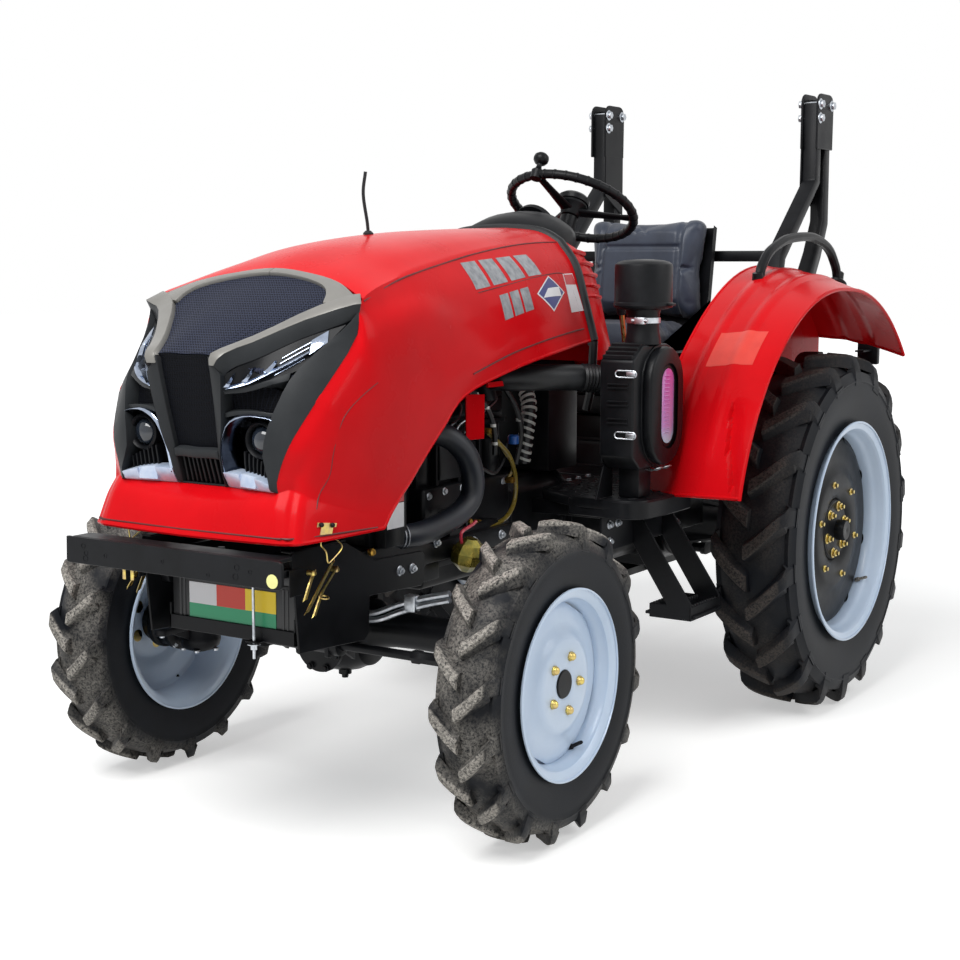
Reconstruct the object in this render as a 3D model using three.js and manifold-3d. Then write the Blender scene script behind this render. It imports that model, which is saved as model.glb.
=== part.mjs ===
// Compact four-wheel-drive farm tractor with an open operator's platform.
// Millimetres, +Z up. The tractor's nose points along -Y and its left side along +X.
// The origin lies on the ground, at the middle of the overall length and width.
// The pieces are drawn with the rear axle at y = 0, and the whole group is then moved to centre it.
import * as THREE from 'three';
import { mergeVertices } from 'three/addons/utils/BufferGeometryUtils.js';
import Module from 'manifold-3d';

const wasm = await Module();
wasm.setup();

// ---------------------------------------------------------------- driving dimensions

const SEAT_GAP = 0.3; // between pieces that rest on each other
const RUN_GAP = 0.5; // between pieces that turn on each other

const WHEELBASE = 1525;
const BUMPER_AHEAD = 605; // bumper face ahead of the front axle
const LINK_REACH = 850; // lower link eyes behind the rear axle

const FRONT_TYRE = { diameter: 738, width: 160, bead: 204, rim: 222, track: 1150, hub: 35, discAt: 54 };
const REAR_TYRE = { diameter: 1053, width: 239, bead: 306, rim: 326, track: 1258, hub: 31, discAt: 78 };

const KINGPIN_X = 460; // from the centre plane to each steering pivot
const AXLE_TUBE_RADIUS = 42;
const KNUCKLE_RADIUS = 54;
const STEER_ARM_AHEAD = 160; // ball joint ahead of the kingpin
const STEER_ARM_INSET = 15; // ball joint inboard of the kingpin
const STEER_ROD_Z = 425;
const STEER_ROD_RADIUS = 11;

const FRAME_HALF_WIDTH = 215; // outside of the front frame rails
const RAIL_THICKNESS = 25;
const RAIL_BOTTOM = 580;
const RAIL_TOP = 660;

const ENGINE_HALF_WIDTH = 150;
const ENGINE_FRONT_BACK = 145; // engine face behind the front axle
const ENGINE_REAR_Y = -960;
const GEARBOX_HALF_WIDTH = 150;
const CLUTCH_TOP = 740;

const HOOD_REAR_Y = -795;
const HOOD_NOSE_AHEAD = 555; // grille fold ahead of the front axle
const HOOD_SKIN = 5;
const HOOD_HALF_WIDTH = 332;
const HINGE_Y = -847;
const HINGE_Z = 1384;

const COWL_FRONT_Y = -782;
const COWL_REAR_Y = -585;
const COWL_BOTTOM = 1050;

const PLATFORM_TOP = 705;
const PLATFORM_THICKNESS = 28;
const FENDER_INNER_X = 416;
const FENDER_OUTER_X = 722;
const FENDER_SKIN = 5;
const FENDER_CLEARANCE = 173; // from the rear tyre to the arch, where it is closest
const FENDER_FLARE = 75; // how much further the arch stands off where it is widest
const FOOT_ROOM = 113.5; // from the rear tyre's front to the platform's outer corner
const PLATFORM_AHEAD = 290; // from that corner to the platform's front edge

const WHEEL_TILT = THREE.MathUtils.degToRad(29);
const STEERING_WHEEL = { y: -380, z: 1477, radius: 185, grip: 12.5 };

const SEAT_HALF_WIDTH = 225;
const SEAT_TOP = 1120;
const SEAT_BOTTOM = 1020;

const POST_X = 385;
const POST_WIDTH = 48;
const POST_TOP = 1857;

const HITCH = { liftY: 130, liftZ: 872, linkY: 120, linkZ: 410, tilt: 2, arm: 260, armTilt: 10, armX: 190 };

// ---------------------------------------------------------------- derived places

const FRONT_Y = -WHEELBASE;
const FRONT_AXLE_Z = FRONT_TYRE.diameter / 2;
const REAR_AXLE_Z = REAR_TYRE.diameter / 2;
const REAR_TYRE_FRONT_Y = -REAR_TYRE.diameter / 2;
const FENDER_CENTRE = [-20, REAR_AXLE_Z + 13]; // y and z of the arch's centre
const FENDER_NEAR = REAR_TYRE.diameter / 2 + FENDER_CLEARANCE;
const FENDER_FAR = FENDER_NEAR + FENDER_FLARE;
const BUMPER_Y = FRONT_Y - BUMPER_AHEAD;
const NOSE_Y = FRONT_Y - HOOD_NOSE_AHEAD;
const HOOD_LENGTH = HOOD_REAR_Y - NOSE_Y;
const ENGINE_FRONT_Y = FRONT_Y + ENGINE_FRONT_BACK;

// ---------------------------------------------------------------- materials

const paint = (color, roughness = 0.5, metalness = 0) =>
  () => new THREE.MeshStandardMaterial({ color, roughness, metalness });
const redPaint = paint(0xc8101a, 0.25);
const blackPaint = paint(0x1b1d20, 0.45);
const castIron = paint(0x24272b, 0.7, 0.3);
const rimPaint = paint(0xcfdcea, 0.4);
const rubber = paint(0x26272a, 0.9);
const darkPlastic = paint(0x2c2f33, 0.5);
const mesh = paint(0x0e0f11, 0.7);
const lamp = paint(0xb9c2cc, 0.1, 0.3);
const chrome = paint(0xd6d9dc, 0.1, 1);
const vinyl = paint(0x2c3446, 0.6);
const batteryCase = paint(0x17181a, 0.5);

// ---------------------------------------------------------------- solids

function facingOut(geometry) {
  const at = geometry.attributes.position;
  const index = geometry.index.array;
  const [a, b, c] = [new THREE.Vector3(), new THREE.Vector3(), new THREE.Vector3()];
  let volume = 0;
  for (let i = 0; i < index.length; i += 3) {
    a.fromBufferAttribute(at, index[i]);
    b.fromBufferAttribute(at, index[i + 1]);
    c.fromBufferAttribute(at, index[i + 2]);
    volume += a.dot(b.cross(c));
  }
  if (volume < 0) {
    for (let i = 0; i < index.length; i += 3) {
      [index[i], index[i + 1]] = [index[i + 1], index[i]];
    }
  }
  return geometry;
}

function solidOf(geometry) {
  const bare = geometry.clone();
  bare.deleteAttribute('normal');
  bare.deleteAttribute('uv');
  const welded = facingOut(mergeVertices(bare, 1e-3));
  return new wasm.Manifold(new wasm.Mesh({
    numProp: 3,
    vertProperties: Float32Array.from(welded.attributes.position.array),
    triVerts: Uint32Array.from(welded.index.array),
  }));
}

function geometryOf(solid) {
  const result = solid.getMesh();
  const geometry = new THREE.BufferGeometry();
  geometry.setAttribute('position', new THREE.BufferAttribute(result.vertProperties, 3));
  geometry.setIndex(new THREE.BufferAttribute(result.triVerts, 1));
  return geometry;
}

const join = (first, ...rest) => rest.reduce((sum, solid) => sum.add(solid), first);
const cut = (first, ...rest) => rest.reduce((left, solid) => left.subtract(solid), first);
const mirrored = (solid) => solidOf(geometryOf(solid).scale(-1, 1, 1));
const bothSides = (solid) => join(solid, mirrored(solid));

function box([x0, x1], [y0, y1], [z0, z1]) {
  const geometry = new THREE.BoxGeometry(x1 - x0, y1 - y0, z1 - z0);
  return solidOf(geometry.translate((x0 + x1) / 2, (y0 + y1) / 2, (z0 + z1) / 2));
}

function outline(points) {
  return new THREE.Shape(points.map(([a, b]) => new THREE.Vector2(a, b)));
}

// An outline of [y, z] points, drawn out from x0 to x1.
function plateX(points, x0, x1) {
  const geometry = new THREE.ExtrudeGeometry(outline(points), { depth: x1 - x0, bevelEnabled: false });
  const turn = new THREE.Matrix4().makeBasis(
    new THREE.Vector3(0, 1, 0), new THREE.Vector3(0, 0, 1), new THREE.Vector3(1, 0, 0));
  return solidOf(geometry.applyMatrix4(turn).translate(x0, 0, 0));
}

// An outline of [x, z] points, drawn out from y0 to y1.
function plateY(points, y0, y1) {
  const geometry = new THREE.ExtrudeGeometry(outline(points), { depth: y1 - y0, bevelEnabled: false });
  const turn = new THREE.Matrix4().makeBasis(
    new THREE.Vector3(1, 0, 0), new THREE.Vector3(0, 0, 1), new THREE.Vector3(0, -1, 0));
  return solidOf(geometry.applyMatrix4(turn).translate(0, y1, 0));
}

// An outline of [x, y] points, drawn out from z0 to z1.
function plateZ(points, z0, z1) {
  const geometry = new THREE.ExtrudeGeometry(outline(points), { depth: z1 - z0, bevelEnabled: false });
  return solidOf(geometry.translate(0, 0, z0));
}

function rod(from, to, radius, sides = 12, endRadius = radius) {
  const start = new THREE.Vector3(...from);
  const end = new THREE.Vector3(...to);
  const axis = end.clone().sub(start);
  const geometry = new THREE.CylinderGeometry(endRadius, radius, axis.length(), sides);
  const turn = new THREE.Quaternion().setFromUnitVectors(new THREE.Vector3(0, 1, 0), axis.normalize());
  geometry.applyQuaternion(turn);
  const middle = start.add(end).multiplyScalar(0.5);
  return solidOf(geometry.translate(middle.x, middle.y, middle.z));
}

// A round bar or hose along a smooth curve through the points.
function bar(points, radius, steps = 16, halfSides = 5) {
  const circle = new THREE.Shape();
  circle.absarc(0, 0, radius, 0, Math.PI * 2);
  const path = new THREE.CatmullRomCurve3(points.map((p) => new THREE.Vector3(...p)), false, 'centripetal');
  return solidOf(new THREE.ExtrudeGeometry(circle, {
    steps, extrudePath: path, curveSegments: halfSides, bevelEnabled: false,
  }));
}

// A closed profile of [radius, x] points turned about the x axis, then placed.
function turned(profile, [x, y, z], segments = 28) {
  const closed = [...profile, profile[0]].map(([r, at]) => new THREE.Vector2(r, at));
  const geometry = new THREE.LatheGeometry(closed, segments);
  const turn = new THREE.Matrix4().makeBasis(
    new THREE.Vector3(0, 0, 1), new THREE.Vector3(1, 0, 0), new THREE.Vector3(0, 1, 0));
  return solidOf(geometry.applyMatrix4(turn).translate(x, y, z));
}

// A pressed sheet: the cells of a grid of points that keep() picks, given a thickness inwards.
// Its edge is drawn in by inset, so that it drops into its opening.
function sheet(grid, thickness, keep = () => true, sunk = 0, inset = 0) {
  const last = [grid.length - 1, grid[0].length - 1];
  const inside = (i, j) => i >= 0 && j >= 0 && i < last[0] && j < last[1] && keep(i, j);
  const rows = grid.map((row, i) => row.map((point, j) => {
    const around = [[i - 1, j - 1], [i - 1, j], [i, j - 1], [i, j]].filter(([a, b]) => inside(a, b));
    if (inset === 0 || around.length === 0 || around.length === 4) return point;
    const middle = new THREE.Vector3();
    for (const [a, b] of around) {
      for (const corner of [grid[a][b], grid[a + 1][b], grid[a][b + 1], grid[a + 1][b + 1]]) {
        middle.addScaledVector(corner, 1 / (4 * around.length));
      }
    }
    return point.clone().addScaledVector(middle.sub(point).normalize(), inset);
  }));
  const at = (i, j) => rows[THREE.MathUtils.clamp(i, 0, last[0])][THREE.MathUtils.clamp(j, 0, last[1])];
  const normal = (i, j) => {
    const along = at(i + 1, j).clone().sub(at(i - 1, j));
    const across = at(i, j + 1).clone().sub(at(i, j - 1));
    return along.cross(across).normalize();
  };
  const width = last[1] + 1;
  const corners = [];
  for (const depth of [sunk, sunk + thickness]) {
    rows.forEach((row, i) => row.forEach((point, j) => {
      const place = point.clone().addScaledVector(normal(i, j), -depth);
      corners.push(place.x, place.y, place.z);
    }));
  }
  const under = rows.length * width;
  const id = (i, j) => i * width + j;
  const faces = [];
  const wall = (a, b) => faces.push(a, b, b + under, a, b + under, a + under);
  for (let i = 0; i < last[0]; i += 1) {
    for (let j = 0; j < last[1]; j += 1) {
      if (!inside(i, j)) continue;
      const [a, b, c, d] = [id(i, j), id(i + 1, j), id(i + 1, j + 1), id(i, j + 1)];
      faces.push(a, b, c, a, c, d);
      faces.push(a + under, c + under, b + under, a + under, d + under, c + under);
      if (!inside(i, j - 1)) wall(b, a);
      if (!inside(i + 1, j)) wall(c, b);
      if (!inside(i, j + 1)) wall(d, c);
      if (!inside(i - 1, j)) wall(a, d);
    }
  }
  const geometry = new THREE.BufferGeometry();
  geometry.setAttribute('position', new THREE.Float32BufferAttribute(corners, 3));
  geometry.setIndex(faces);
  return solidOf(geometry);
}

const tractor = new THREE.Group();

function piece(name, solid, material) {
  const body = new THREE.Mesh(geometryOf(solid), material());
  body.name = name;
  tractor.add(body);
}

function leftAndRight(name, solid, material) {
  piece(`${name}_left`, solid, material);
  piece(`${name}_right`, mirrored(solid), material);
}

// ---------------------------------------------------------------- wheels

function tyreProfile({ diameter, width, bead }) {
  const outer = diameter / 2;
  const half = width / 2;
  const wall = outer - bead;
  return [
    [bead, -half * 0.8],
    [bead + wall * 0.22, -half * 0.93],
    [bead + wall * 0.55, -half],
    [bead + wall * 0.82, -half * 0.95],
    [bead + wall * 0.96, -half * 0.66],
    [outer, -half * 0.2],
    [outer, half * 0.2],
    [bead + wall * 0.96, half * 0.66],
    [bead + wall * 0.82, half * 0.95],
    [bead + wall * 0.55, half],
    [bead + wall * 0.22, half * 0.93],
    [bead, half * 0.8],
  ];
}

// A rim barrel with a flange at each edge and a disc that bolts to the hub.
function rimProfile({ width, bead, rim, hub, discAt }) {
  const edge = width / 2;
  const barrel = bead - 2 * SEAT_GAP;
  const well = barrel - 9;
  return [
    [rim, edge], [rim, edge * 0.93], [barrel, edge * 0.85], [barrel, -edge * 0.85],
    [rim, -edge * 0.93], [rim, -edge], [well, -edge * 0.8], [well, discAt - 16],
    [hub * 2.6, discAt - 4], [hub, discAt - 6], [hub, discAt], [hub * 2.6, discAt + 2],
    [well, discAt - 8], [well, edge * 0.8],
  ];
}

for (const [place, tyre, y, z] of [
  ['front', FRONT_TYRE, FRONT_Y, FRONT_AXLE_Z],
  ['rear', REAR_TYRE, 0, REAR_AXLE_Z],
]) {
  const centre = [tyre.track / 2, y, z];
  leftAndRight(`tyre_${place}`, turned(tyreProfile(tyre), centre), rubber);
  leftAndRight(`rim_${place}`, turned(rimProfile(tyre), centre), rimPaint);
}

// ---------------------------------------------------------------- front axle and steering

const DIFF = { halfWidth: 105, halfDepth: 88, bottom: 318, top: 478 };
const PIVOT = { z: 440, pin: 24, outer: 46, lugDepth: 32 };
const AXLE_TUBE_Z = 440;
const CASE_TOP = 488;
const CASE_BOTTOM = 396;
const CYLINDER = { radius: 27, halfLength: 130, bore: STEER_ROD_RADIUS + RUN_GAP };
const rodY = FRONT_Y - STEER_ARM_AHEAD;

const axleTube = rod([0, FRONT_Y, AXLE_TUBE_Z], [KINGPIN_X - 20, FRONT_Y, AXLE_TUBE_Z], AXLE_TUBE_RADIUS);
const axleCase = rod([KINGPIN_X, FRONT_Y, CASE_BOTTOM], [KINGPIN_X, FRONT_Y, CASE_TOP], KNUCKLE_RADIUS, 16);
const cylinderBracket = box([95, 107], [rodY - CYLINDER.radius, FRONT_Y - DIFF.halfDepth + 5],
  [STEER_ROD_Z - 30, STEER_ROD_Z + 30]);
piece('front_axle', cut(
  join(
    box([-DIFF.halfWidth, DIFF.halfWidth], [FRONT_Y - DIFF.halfDepth, FRONT_Y + DIFF.halfDepth],
      [DIFF.bottom, DIFF.top]),
    rod([0, FRONT_Y - DIFF.halfDepth - PIVOT.lugDepth, PIVOT.z],
      [0, FRONT_Y + DIFF.halfDepth + PIVOT.lugDepth, PIVOT.z], PIVOT.pin, 16),
    bothSides(join(axleTube, axleCase, cylinderBracket)),
  ),
  rod([-200, rodY, STEER_ROD_Z], [200, rodY, STEER_ROD_Z], CYLINDER.radius + SEAT_GAP, 16),
), castIron);

piece('steering_cylinder', cut(
  rod([-CYLINDER.halfLength, rodY, STEER_ROD_Z], [CYLINDER.halfLength, rodY, STEER_ROD_Z],
    CYLINDER.radius, 16),
  rod([-CYLINDER.halfLength - 5, rodY, STEER_ROD_Z], [CYLINDER.halfLength + 5, rodY, STEER_ROD_Z],
    CYLINDER.bore, 12),
), blackPaint);

const ballX = KINGPIN_X - STEER_ARM_INSET;
piece('steering_rod', join(
  rod([-ballX + 12, rodY, STEER_ROD_Z], [ballX - 12, rodY, STEER_ROD_Z], STEER_ROD_RADIUS, 12),
  bothSides(rod([ballX, rodY, STEER_ROD_Z - 25], [ballX, rodY, STEER_ROD_Z + 22], 20, 12)),
), chrome);

const hubEnd = FRONT_TYRE.track / 2 + FRONT_TYRE.discAt;
const armTop = STEER_ROD_Z - 25 - 6;
leftAndRight('knuckle', join(
  rod([KINGPIN_X, FRONT_Y, FRONT_AXLE_Z - 62], [KINGPIN_X, FRONT_Y, CASE_BOTTOM - RUN_GAP],
    KNUCKLE_RADIUS, 16),
  rod([KINGPIN_X, FRONT_Y, FRONT_AXLE_Z], [hubEnd - 42, FRONT_Y, FRONT_AXLE_Z], 25, 8),
  rod([KINGPIN_X + KNUCKLE_RADIUS + 6, FRONT_Y, FRONT_AXLE_Z], [hubEnd - 42, FRONT_Y, FRONT_AXLE_Z], 66, 16),
  rod([hubEnd - 50, FRONT_Y, FRONT_AXLE_Z], [hubEnd - 12, FRONT_Y, FRONT_AXLE_Z], 52, 16),
  rod([hubEnd - 60, FRONT_Y, FRONT_AXLE_Z], [hubEnd + 8, FRONT_Y, FRONT_AXLE_Z],
    FRONT_TYRE.hub - RUN_GAP, 20),
  plateZ([
    [KINGPIN_X + 30, FRONT_Y], [KINGPIN_X - 40, FRONT_Y],
    [ballX - 22, rodY - 20], [ballX + 22, rodY - 20],
  ], armTop - 16, armTop),
), castIron);

// ---------------------------------------------------------------- front frame, bumper and battery

const railX = [FRAME_HALF_WIDTH - RAIL_THICKNESS, FRAME_HALF_WIDTH];
const railEndY = ENGINE_FRONT_Y + 330;
const lug = (y0, y1) => plateY([
  [-PIVOT.outer, RAIL_BOTTOM], [-PIVOT.outer, PIVOT.z], [-PIVOT.outer * 0.6, PIVOT.z - PIVOT.outer],
  [PIVOT.outer * 0.6, PIVOT.z - PIVOT.outer], [PIVOT.outer, PIVOT.z], [PIVOT.outer, RAIL_BOTTOM],
], y0, y1);
const lugInner = DIFF.halfDepth + 6;
const lugOuter = DIFF.halfDepth + PIVOT.lugDepth;
const BUMPER = { halfWidth: 310, bottom: 645, top: 707, plate: 9, flange: 62 };
piece('front_frame', cut(
  join(
    bothSides(box(railX, [BUMPER_Y + BUMPER.plate + SEAT_GAP, railEndY], [RAIL_BOTTOM, RAIL_TOP])),
    box([-railX[1], railX[1]], [FRONT_Y - lugOuter, FRONT_Y + lugOuter],
      [RAIL_BOTTOM - 30, RAIL_BOTTOM + 12]),
    box([-railX[1], railX[1]], [FRONT_Y - 190, FRONT_Y - 60], [RAIL_TOP - 12, RAIL_TOP]),
    box([-railX[1], railX[1]], [BUMPER_Y + BUMPER.plate + 45, BUMPER_Y + BUMPER.plate + 57],
      [RAIL_BOTTOM, RAIL_TOP]),
    lug(FRONT_Y - lugOuter, FRONT_Y - lugInner),
    lug(FRONT_Y + lugInner, FRONT_Y + lugOuter),
  ),
  rod([0, FRONT_Y - 200, PIVOT.z], [0, FRONT_Y + 200, PIVOT.z], PIVOT.pin + SEAT_GAP, 16),
), blackPaint);

piece('bumper', plateX([
  [BUMPER_Y, BUMPER.bottom], [BUMPER_Y + BUMPER.plate, BUMPER.bottom],
  [BUMPER_Y + BUMPER.plate, BUMPER.top - BUMPER.plate], [BUMPER_Y + BUMPER.flange, BUMPER.top - BUMPER.plate],
  [BUMPER_Y + BUMPER.flange, BUMPER.top], [BUMPER_Y, BUMPER.top],
], -BUMPER.halfWidth, BUMPER.halfWidth), blackPaint);

const TRAY = { halfWidth: 186, ahead: 407, behind: 245, bottom: 475, wall: 5, lip: 535 };
const trayY = [FRONT_Y - TRAY.ahead, FRONT_Y - TRAY.behind];
const batteryX = TRAY.halfWidth - TRAY.wall - SEAT_GAP;
piece('battery_tray', cut(
  join(
    box([-TRAY.halfWidth, TRAY.halfWidth], trayY, [TRAY.bottom, TRAY.lip]),
    bothSides(box([TRAY.halfWidth - TRAY.wall, railX[0] - SEAT_GAP], [trayY[0] + 30, trayY[1] - 30],
      [TRAY.lip - 40, RAIL_TOP - 20])),
  ),
  box([-TRAY.halfWidth + TRAY.wall, TRAY.halfWidth - TRAY.wall],
    [trayY[0] + TRAY.wall, trayY[1] - TRAY.wall], [TRAY.bottom + TRAY.wall, RAIL_TOP]),
), blackPaint);
piece('battery', box([-batteryX, batteryX],
  [trayY[0] + TRAY.wall + SEAT_GAP, trayY[1] - TRAY.wall - SEAT_GAP],
  [TRAY.bottom + TRAY.wall + SEAT_GAP, 632]), batteryCase);

// ---------------------------------------------------------------- radiator, engine and transmission

const RADIATOR = { halfWidth: 200, front: FRONT_Y - 150, back: FRONT_Y - 75, top: 1175 };
piece('radiator', join(
  box([-RADIATOR.halfWidth, RADIATOR.halfWidth], [RADIATOR.front, RADIATOR.back],
    [RAIL_TOP + SEAT_GAP, RADIATOR.top]),
  box([-RADIATOR.halfWidth - 35, RADIATOR.halfWidth + 35], [RADIATOR.back - 20, RADIATOR.back + 30],
    [RAIL_TOP + 30, RADIATOR.top - 180]),
), blackPaint);

piece('radiator_hose', bar([
  [178, RADIATOR.back + 30 + SEAT_GAP, 900], [178, RADIATOR.back + 60, 900],
  [205, ENGINE_FRONT_Y + 20, 880], [225, ENGINE_FRONT_Y + 120, 810],
  [215, ENGINE_FRONT_Y + 210, 745], [185, ENGINE_FRONT_Y + 225, 735],
  [ENGINE_HALF_WIDTH + SEAT_GAP, ENGINE_FRONT_Y + 225, 735],
], 27, 12, 4), rubber);

piece('engine', join(
  box([-ENGINE_HALF_WIDTH, ENGINE_HALF_WIDTH], [ENGINE_FRONT_Y, ENGINE_REAR_Y], [500, 1070]),
  box([-110, 110], [ENGINE_FRONT_Y - 60, ENGINE_FRONT_Y + 5], [720, 1000]),
  bothSides(box([ENGINE_HALF_WIDTH - 5, railX[0] - SEAT_GAP], [ENGINE_FRONT_Y + 60, railEndY - 40],
    [RAIL_BOTTOM + 5, RAIL_TOP - 5])),
), castIron);

const LIFT_COVER_TOP = 850;
const LINK_HALF_THICKNESS = 9;
const LIFT_ROD_EYE = 13;
const rodX = HITCH.armX + 12 + RUN_GAP + LIFT_ROD_EYE;
const ROCKSHAFT_RADIUS = 19;
const REAR_HOUSING = { halfWidth: 180, front: -150, back: 170, bottom: 385, top: 760 };
const liftBearing = cut(
  box([115, 140], [HITCH.liftY - 35, HITCH.liftY + 35], [840, HITCH.liftZ + 34]),
  rod([100, HITCH.liftY, HITCH.liftZ], [160, HITCH.liftY, HITCH.liftZ], ROCKSHAFT_RADIUS + RUN_GAP, 16),
);
const linkPin = rod([REAR_HOUSING.halfWidth - 5, HITCH.linkY, HITCH.linkZ],
  [rodX - LINK_HALF_THICKNESS - RUN_GAP, HITCH.linkY, HITCH.linkZ], 16, 16);
piece('transmission', join(
  box([-140, 140], [ENGINE_REAR_Y + SEAT_GAP, -650], [450, CLUTCH_TOP]),
  box([-GEARBOX_HALF_WIDTH, GEARBOX_HALF_WIDTH], [-655, REAR_HOUSING.front + 5], [420, 690]),
  box([-REAR_HOUSING.halfWidth, REAR_HOUSING.halfWidth], [REAR_HOUSING.front, REAR_HOUSING.back],
    [REAR_HOUSING.bottom, REAR_HOUSING.top]),
  box([-140, 140], [REAR_HOUSING.front + 20, HITCH.liftY - 30], [REAR_HOUSING.top - 5, LIFT_COVER_TOP]),
  box([-140, 140], [HITCH.liftY - 35, HITCH.liftY + 35], [REAR_HOUSING.top - 5, 845]),
  bothSides(join(liftBearing, linkPin)),
  rod([0, REAR_HOUSING.back - 5, 560], [0, REAR_HOUSING.back + 70, 560], 18, 16),
), castIron);

const rearHubEnd = REAR_TYRE.track / 2 + REAR_TYRE.discAt;
const rearAxleTube = (spare) => rod([REAR_HOUSING.halfWidth + 20, 0, REAR_AXLE_Z],
  [rearHubEnd - 120, 0, REAR_AXLE_Z], 74 + spare, 16, 62 + spare);
leftAndRight('rear_axle', join(
  rod([REAR_HOUSING.halfWidth + SEAT_GAP, 0, REAR_AXLE_Z],
    [REAR_HOUSING.halfWidth + 30, 0, REAR_AXLE_Z], 120, 20),
  rearAxleTube(0),
  rod([rearHubEnd - 125, 0, REAR_AXLE_Z], [rearHubEnd - 12, 0, REAR_AXLE_Z], 80, 16),
  rod([rearHubEnd - 20, 0, REAR_AXLE_Z], [rearHubEnd + 22, 0, REAR_AXLE_Z], REAR_TYRE.hub - RUN_GAP, 20),
), castIron);

// ---------------------------------------------------------------- hood and nose

// Each rail runs from the hood's rear edge over the nose to the chin, as [share of length, x, z].
const HOOD_RAILS = [
  [[0, 0, 1410], [0.16, 0, 1404], [0.362, 0, 1392], [0.549, 0, 1370], [0.658, 0, 1345], [0.751, 0, 1302],
    [0.883, 0, 1214], [1, 0, 1122], [0.984, 0, 1020], [0.966, 0, 912], [0.947, 0, 832], [0.984, 0, 800],
    [1.008, 0, 733]],
  [[0, 100, 1404], [0.16, 100, 1399], [0.362, 102, 1387], [0.549, 104, 1363], [0.658, 104, 1336],
    [0.758, 104, 1292], [0.883, 92, 1206], [0.998, 79, 1120], [0.982, 72, 1020], [0.964, 62, 912],
    [0.947, 62, 832], [0.984, 64, 800], [1.006, 70, 733]],
  [[0, 150, 1392], [0.16, 155, 1386], [0.362, 168, 1372], [0.549, 185, 1345], [0.658, 190, 1318],
    [0.775, 205, 1272], [0.87, 190, 1190], [0.955, 180, 1075], [0.965, 165, 985], [0.965, 150, 895],
    [0.957, 145, 832], [0.982, 150, 800], [1.002, 156, 733]],
  [[0, 190, 1370], [0.16, 200, 1366], [0.362, 225, 1345], [0.549, 252, 1312], [0.658, 270, 1287],
    [0.805, 300, 1238], [0.83, 302, 1155], [0.918, 286, 1030], [0.961, 254, 936], [0.969, 228, 862],
    [0.965, 226, 832], [0.98, 236, 800], [0.996, 246, 733]],
  [[0, 235, 1310], [0.16, 250, 1305], [0.362, 275, 1270], [0.549, 300, 1235], [0.658, 312, 1205],
    [0.795, 322, 1150], [0.835, 319, 1085], [0.9, 308, 1000], [0.938, 284, 925], [0.952, 258, 868],
    [0.951, 252, 838], [0.968, 260, 800], [0.987, 270, 733]],
  [[0, 262, 1225], [0.16, 285, 1215], [0.362, 305, 1180], [0.549, 318, 1130], [0.658, 325, 1090],
    [0.76, 330, 1030], [0.82, 327, 960], [0.87, 316, 905], [0.9, 302, 866], [0.915, 292, 838],
    [0.922, 290, 815], [0.938, 294, 785], [0.955, 300, 733]],
  [[0, 295, 1110], [0.16, 312, 1090], [0.362, 325, 1055], [0.525, 330, 1010], [0.6, 332, 940],
    [0.665, 332, 870], [0.7, 332, 830], [0.73, 332, 800], [0.748, 332, 780], [0.76, 332, 766],
    [0.768, 332, 755], [0.774, 332, 745], [0.78, 332, 737]],
];
// The nose takes in the rails out from the centre to `rail`, and the stations along them from `from` to `to`.
const NOSE = { rail: 3, from: 5, to: 10, behind: 0.7, inset: 1.2 };
const FINE = 1; // facets between control points

function smoothRow(points) {
  const curve = new THREE.CatmullRomCurve3(points, false, 'centripetal');
  return Array.from({ length: (points.length - 1) * FINE + 1 }, (_, k) =>
    curve.getPoint(k / ((points.length - 1) * FINE)));
}

function hoodGrid() {
  const wide = HOOD_HALF_WIDTH / 332;
  const half = HOOD_RAILS.map((rail) => rail.map(([share, x, z]) =>
    new THREE.Vector3(x * wide, HOOD_REAR_Y - share * HOOD_LENGTH, z)));
  const flipped = half.slice(1).reverse().map((rail) => rail.map((p) => new THREE.Vector3(-p.x, p.y, p.z)));
  const rails = [...flipped, ...half].map(smoothRow);
  const across = rails[0].map((_, j) => smoothRow(rails.map((rail) => rail[j])));
  return across; // one row for each station, from side to side
}

const hoodRows = hoodGrid();
const centreCell = (HOOD_RAILS.length - 1) * FINE;
const fromCentre = (j) => (j < centreCell ? centreCell - 1 - j : j - centreCell);
const inNose = (i, j) => i >= NOSE.from * FINE && i < NOSE.to * FINE && fromCentre(j) < NOSE.rail * FINE;

const HINGE = { halfLength: 100, radius: 9 };
const hingeTube = join(
  rod([-HINGE.halfLength, HINGE_Y, HINGE_Z], [HINGE.halfLength, HINGE_Y, HINGE_Z], HINGE.radius, 16),
  box([-HINGE.halfLength + 10, HINGE.halfLength - 10], [HINGE_Y - 6, HINGE_Y + 6], [HINGE_Z, 1400]),
);
piece('hood', join(sheet(hoodRows, HOOD_SKIN, (i, j) => !inNose(i, j)), hingeTube), redPaint);

const inGrille = (i, j) => {
  const k = Math.floor(i / FINE);
  const side = fromCentre(j);
  return inNose(i, j) && k < 9 && side < (k < 7 ? 2 : 1) * FINE;
};
const inLamp = (i, j) => {
  const k = Math.floor(i / FINE);
  const side = fromCentre(j);
  return j >= centreCell && k >= 7 && k < 10 && side >= FINE && side < NOSE.rail * FINE;
};
const insert = (keep, spare, seam = NOSE.inset) => sheet(hoodRows, HOOD_SKIN + spare, keep, 0, seam);
const grille = insert(inGrille, 0);
const leftLamp = cut(insert(inLamp, 0), insert(inGrille, NOSE.behind, NOSE.inset - SEAT_GAP));
const lampRoom = insert(inLamp, NOSE.behind + SEAT_GAP);
piece('nose_panel', cut(
  sheet(hoodRows, HOOD_SKIN, inNose, HOOD_SKIN + NOSE.behind),
  insert(inGrille, NOSE.behind + SEAT_GAP), grille,
  lampRoom, leftLamp, mirrored(lampRoom), mirrored(leftLamp),
), darkPlastic);
piece('grille', grille, mesh);
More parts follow.
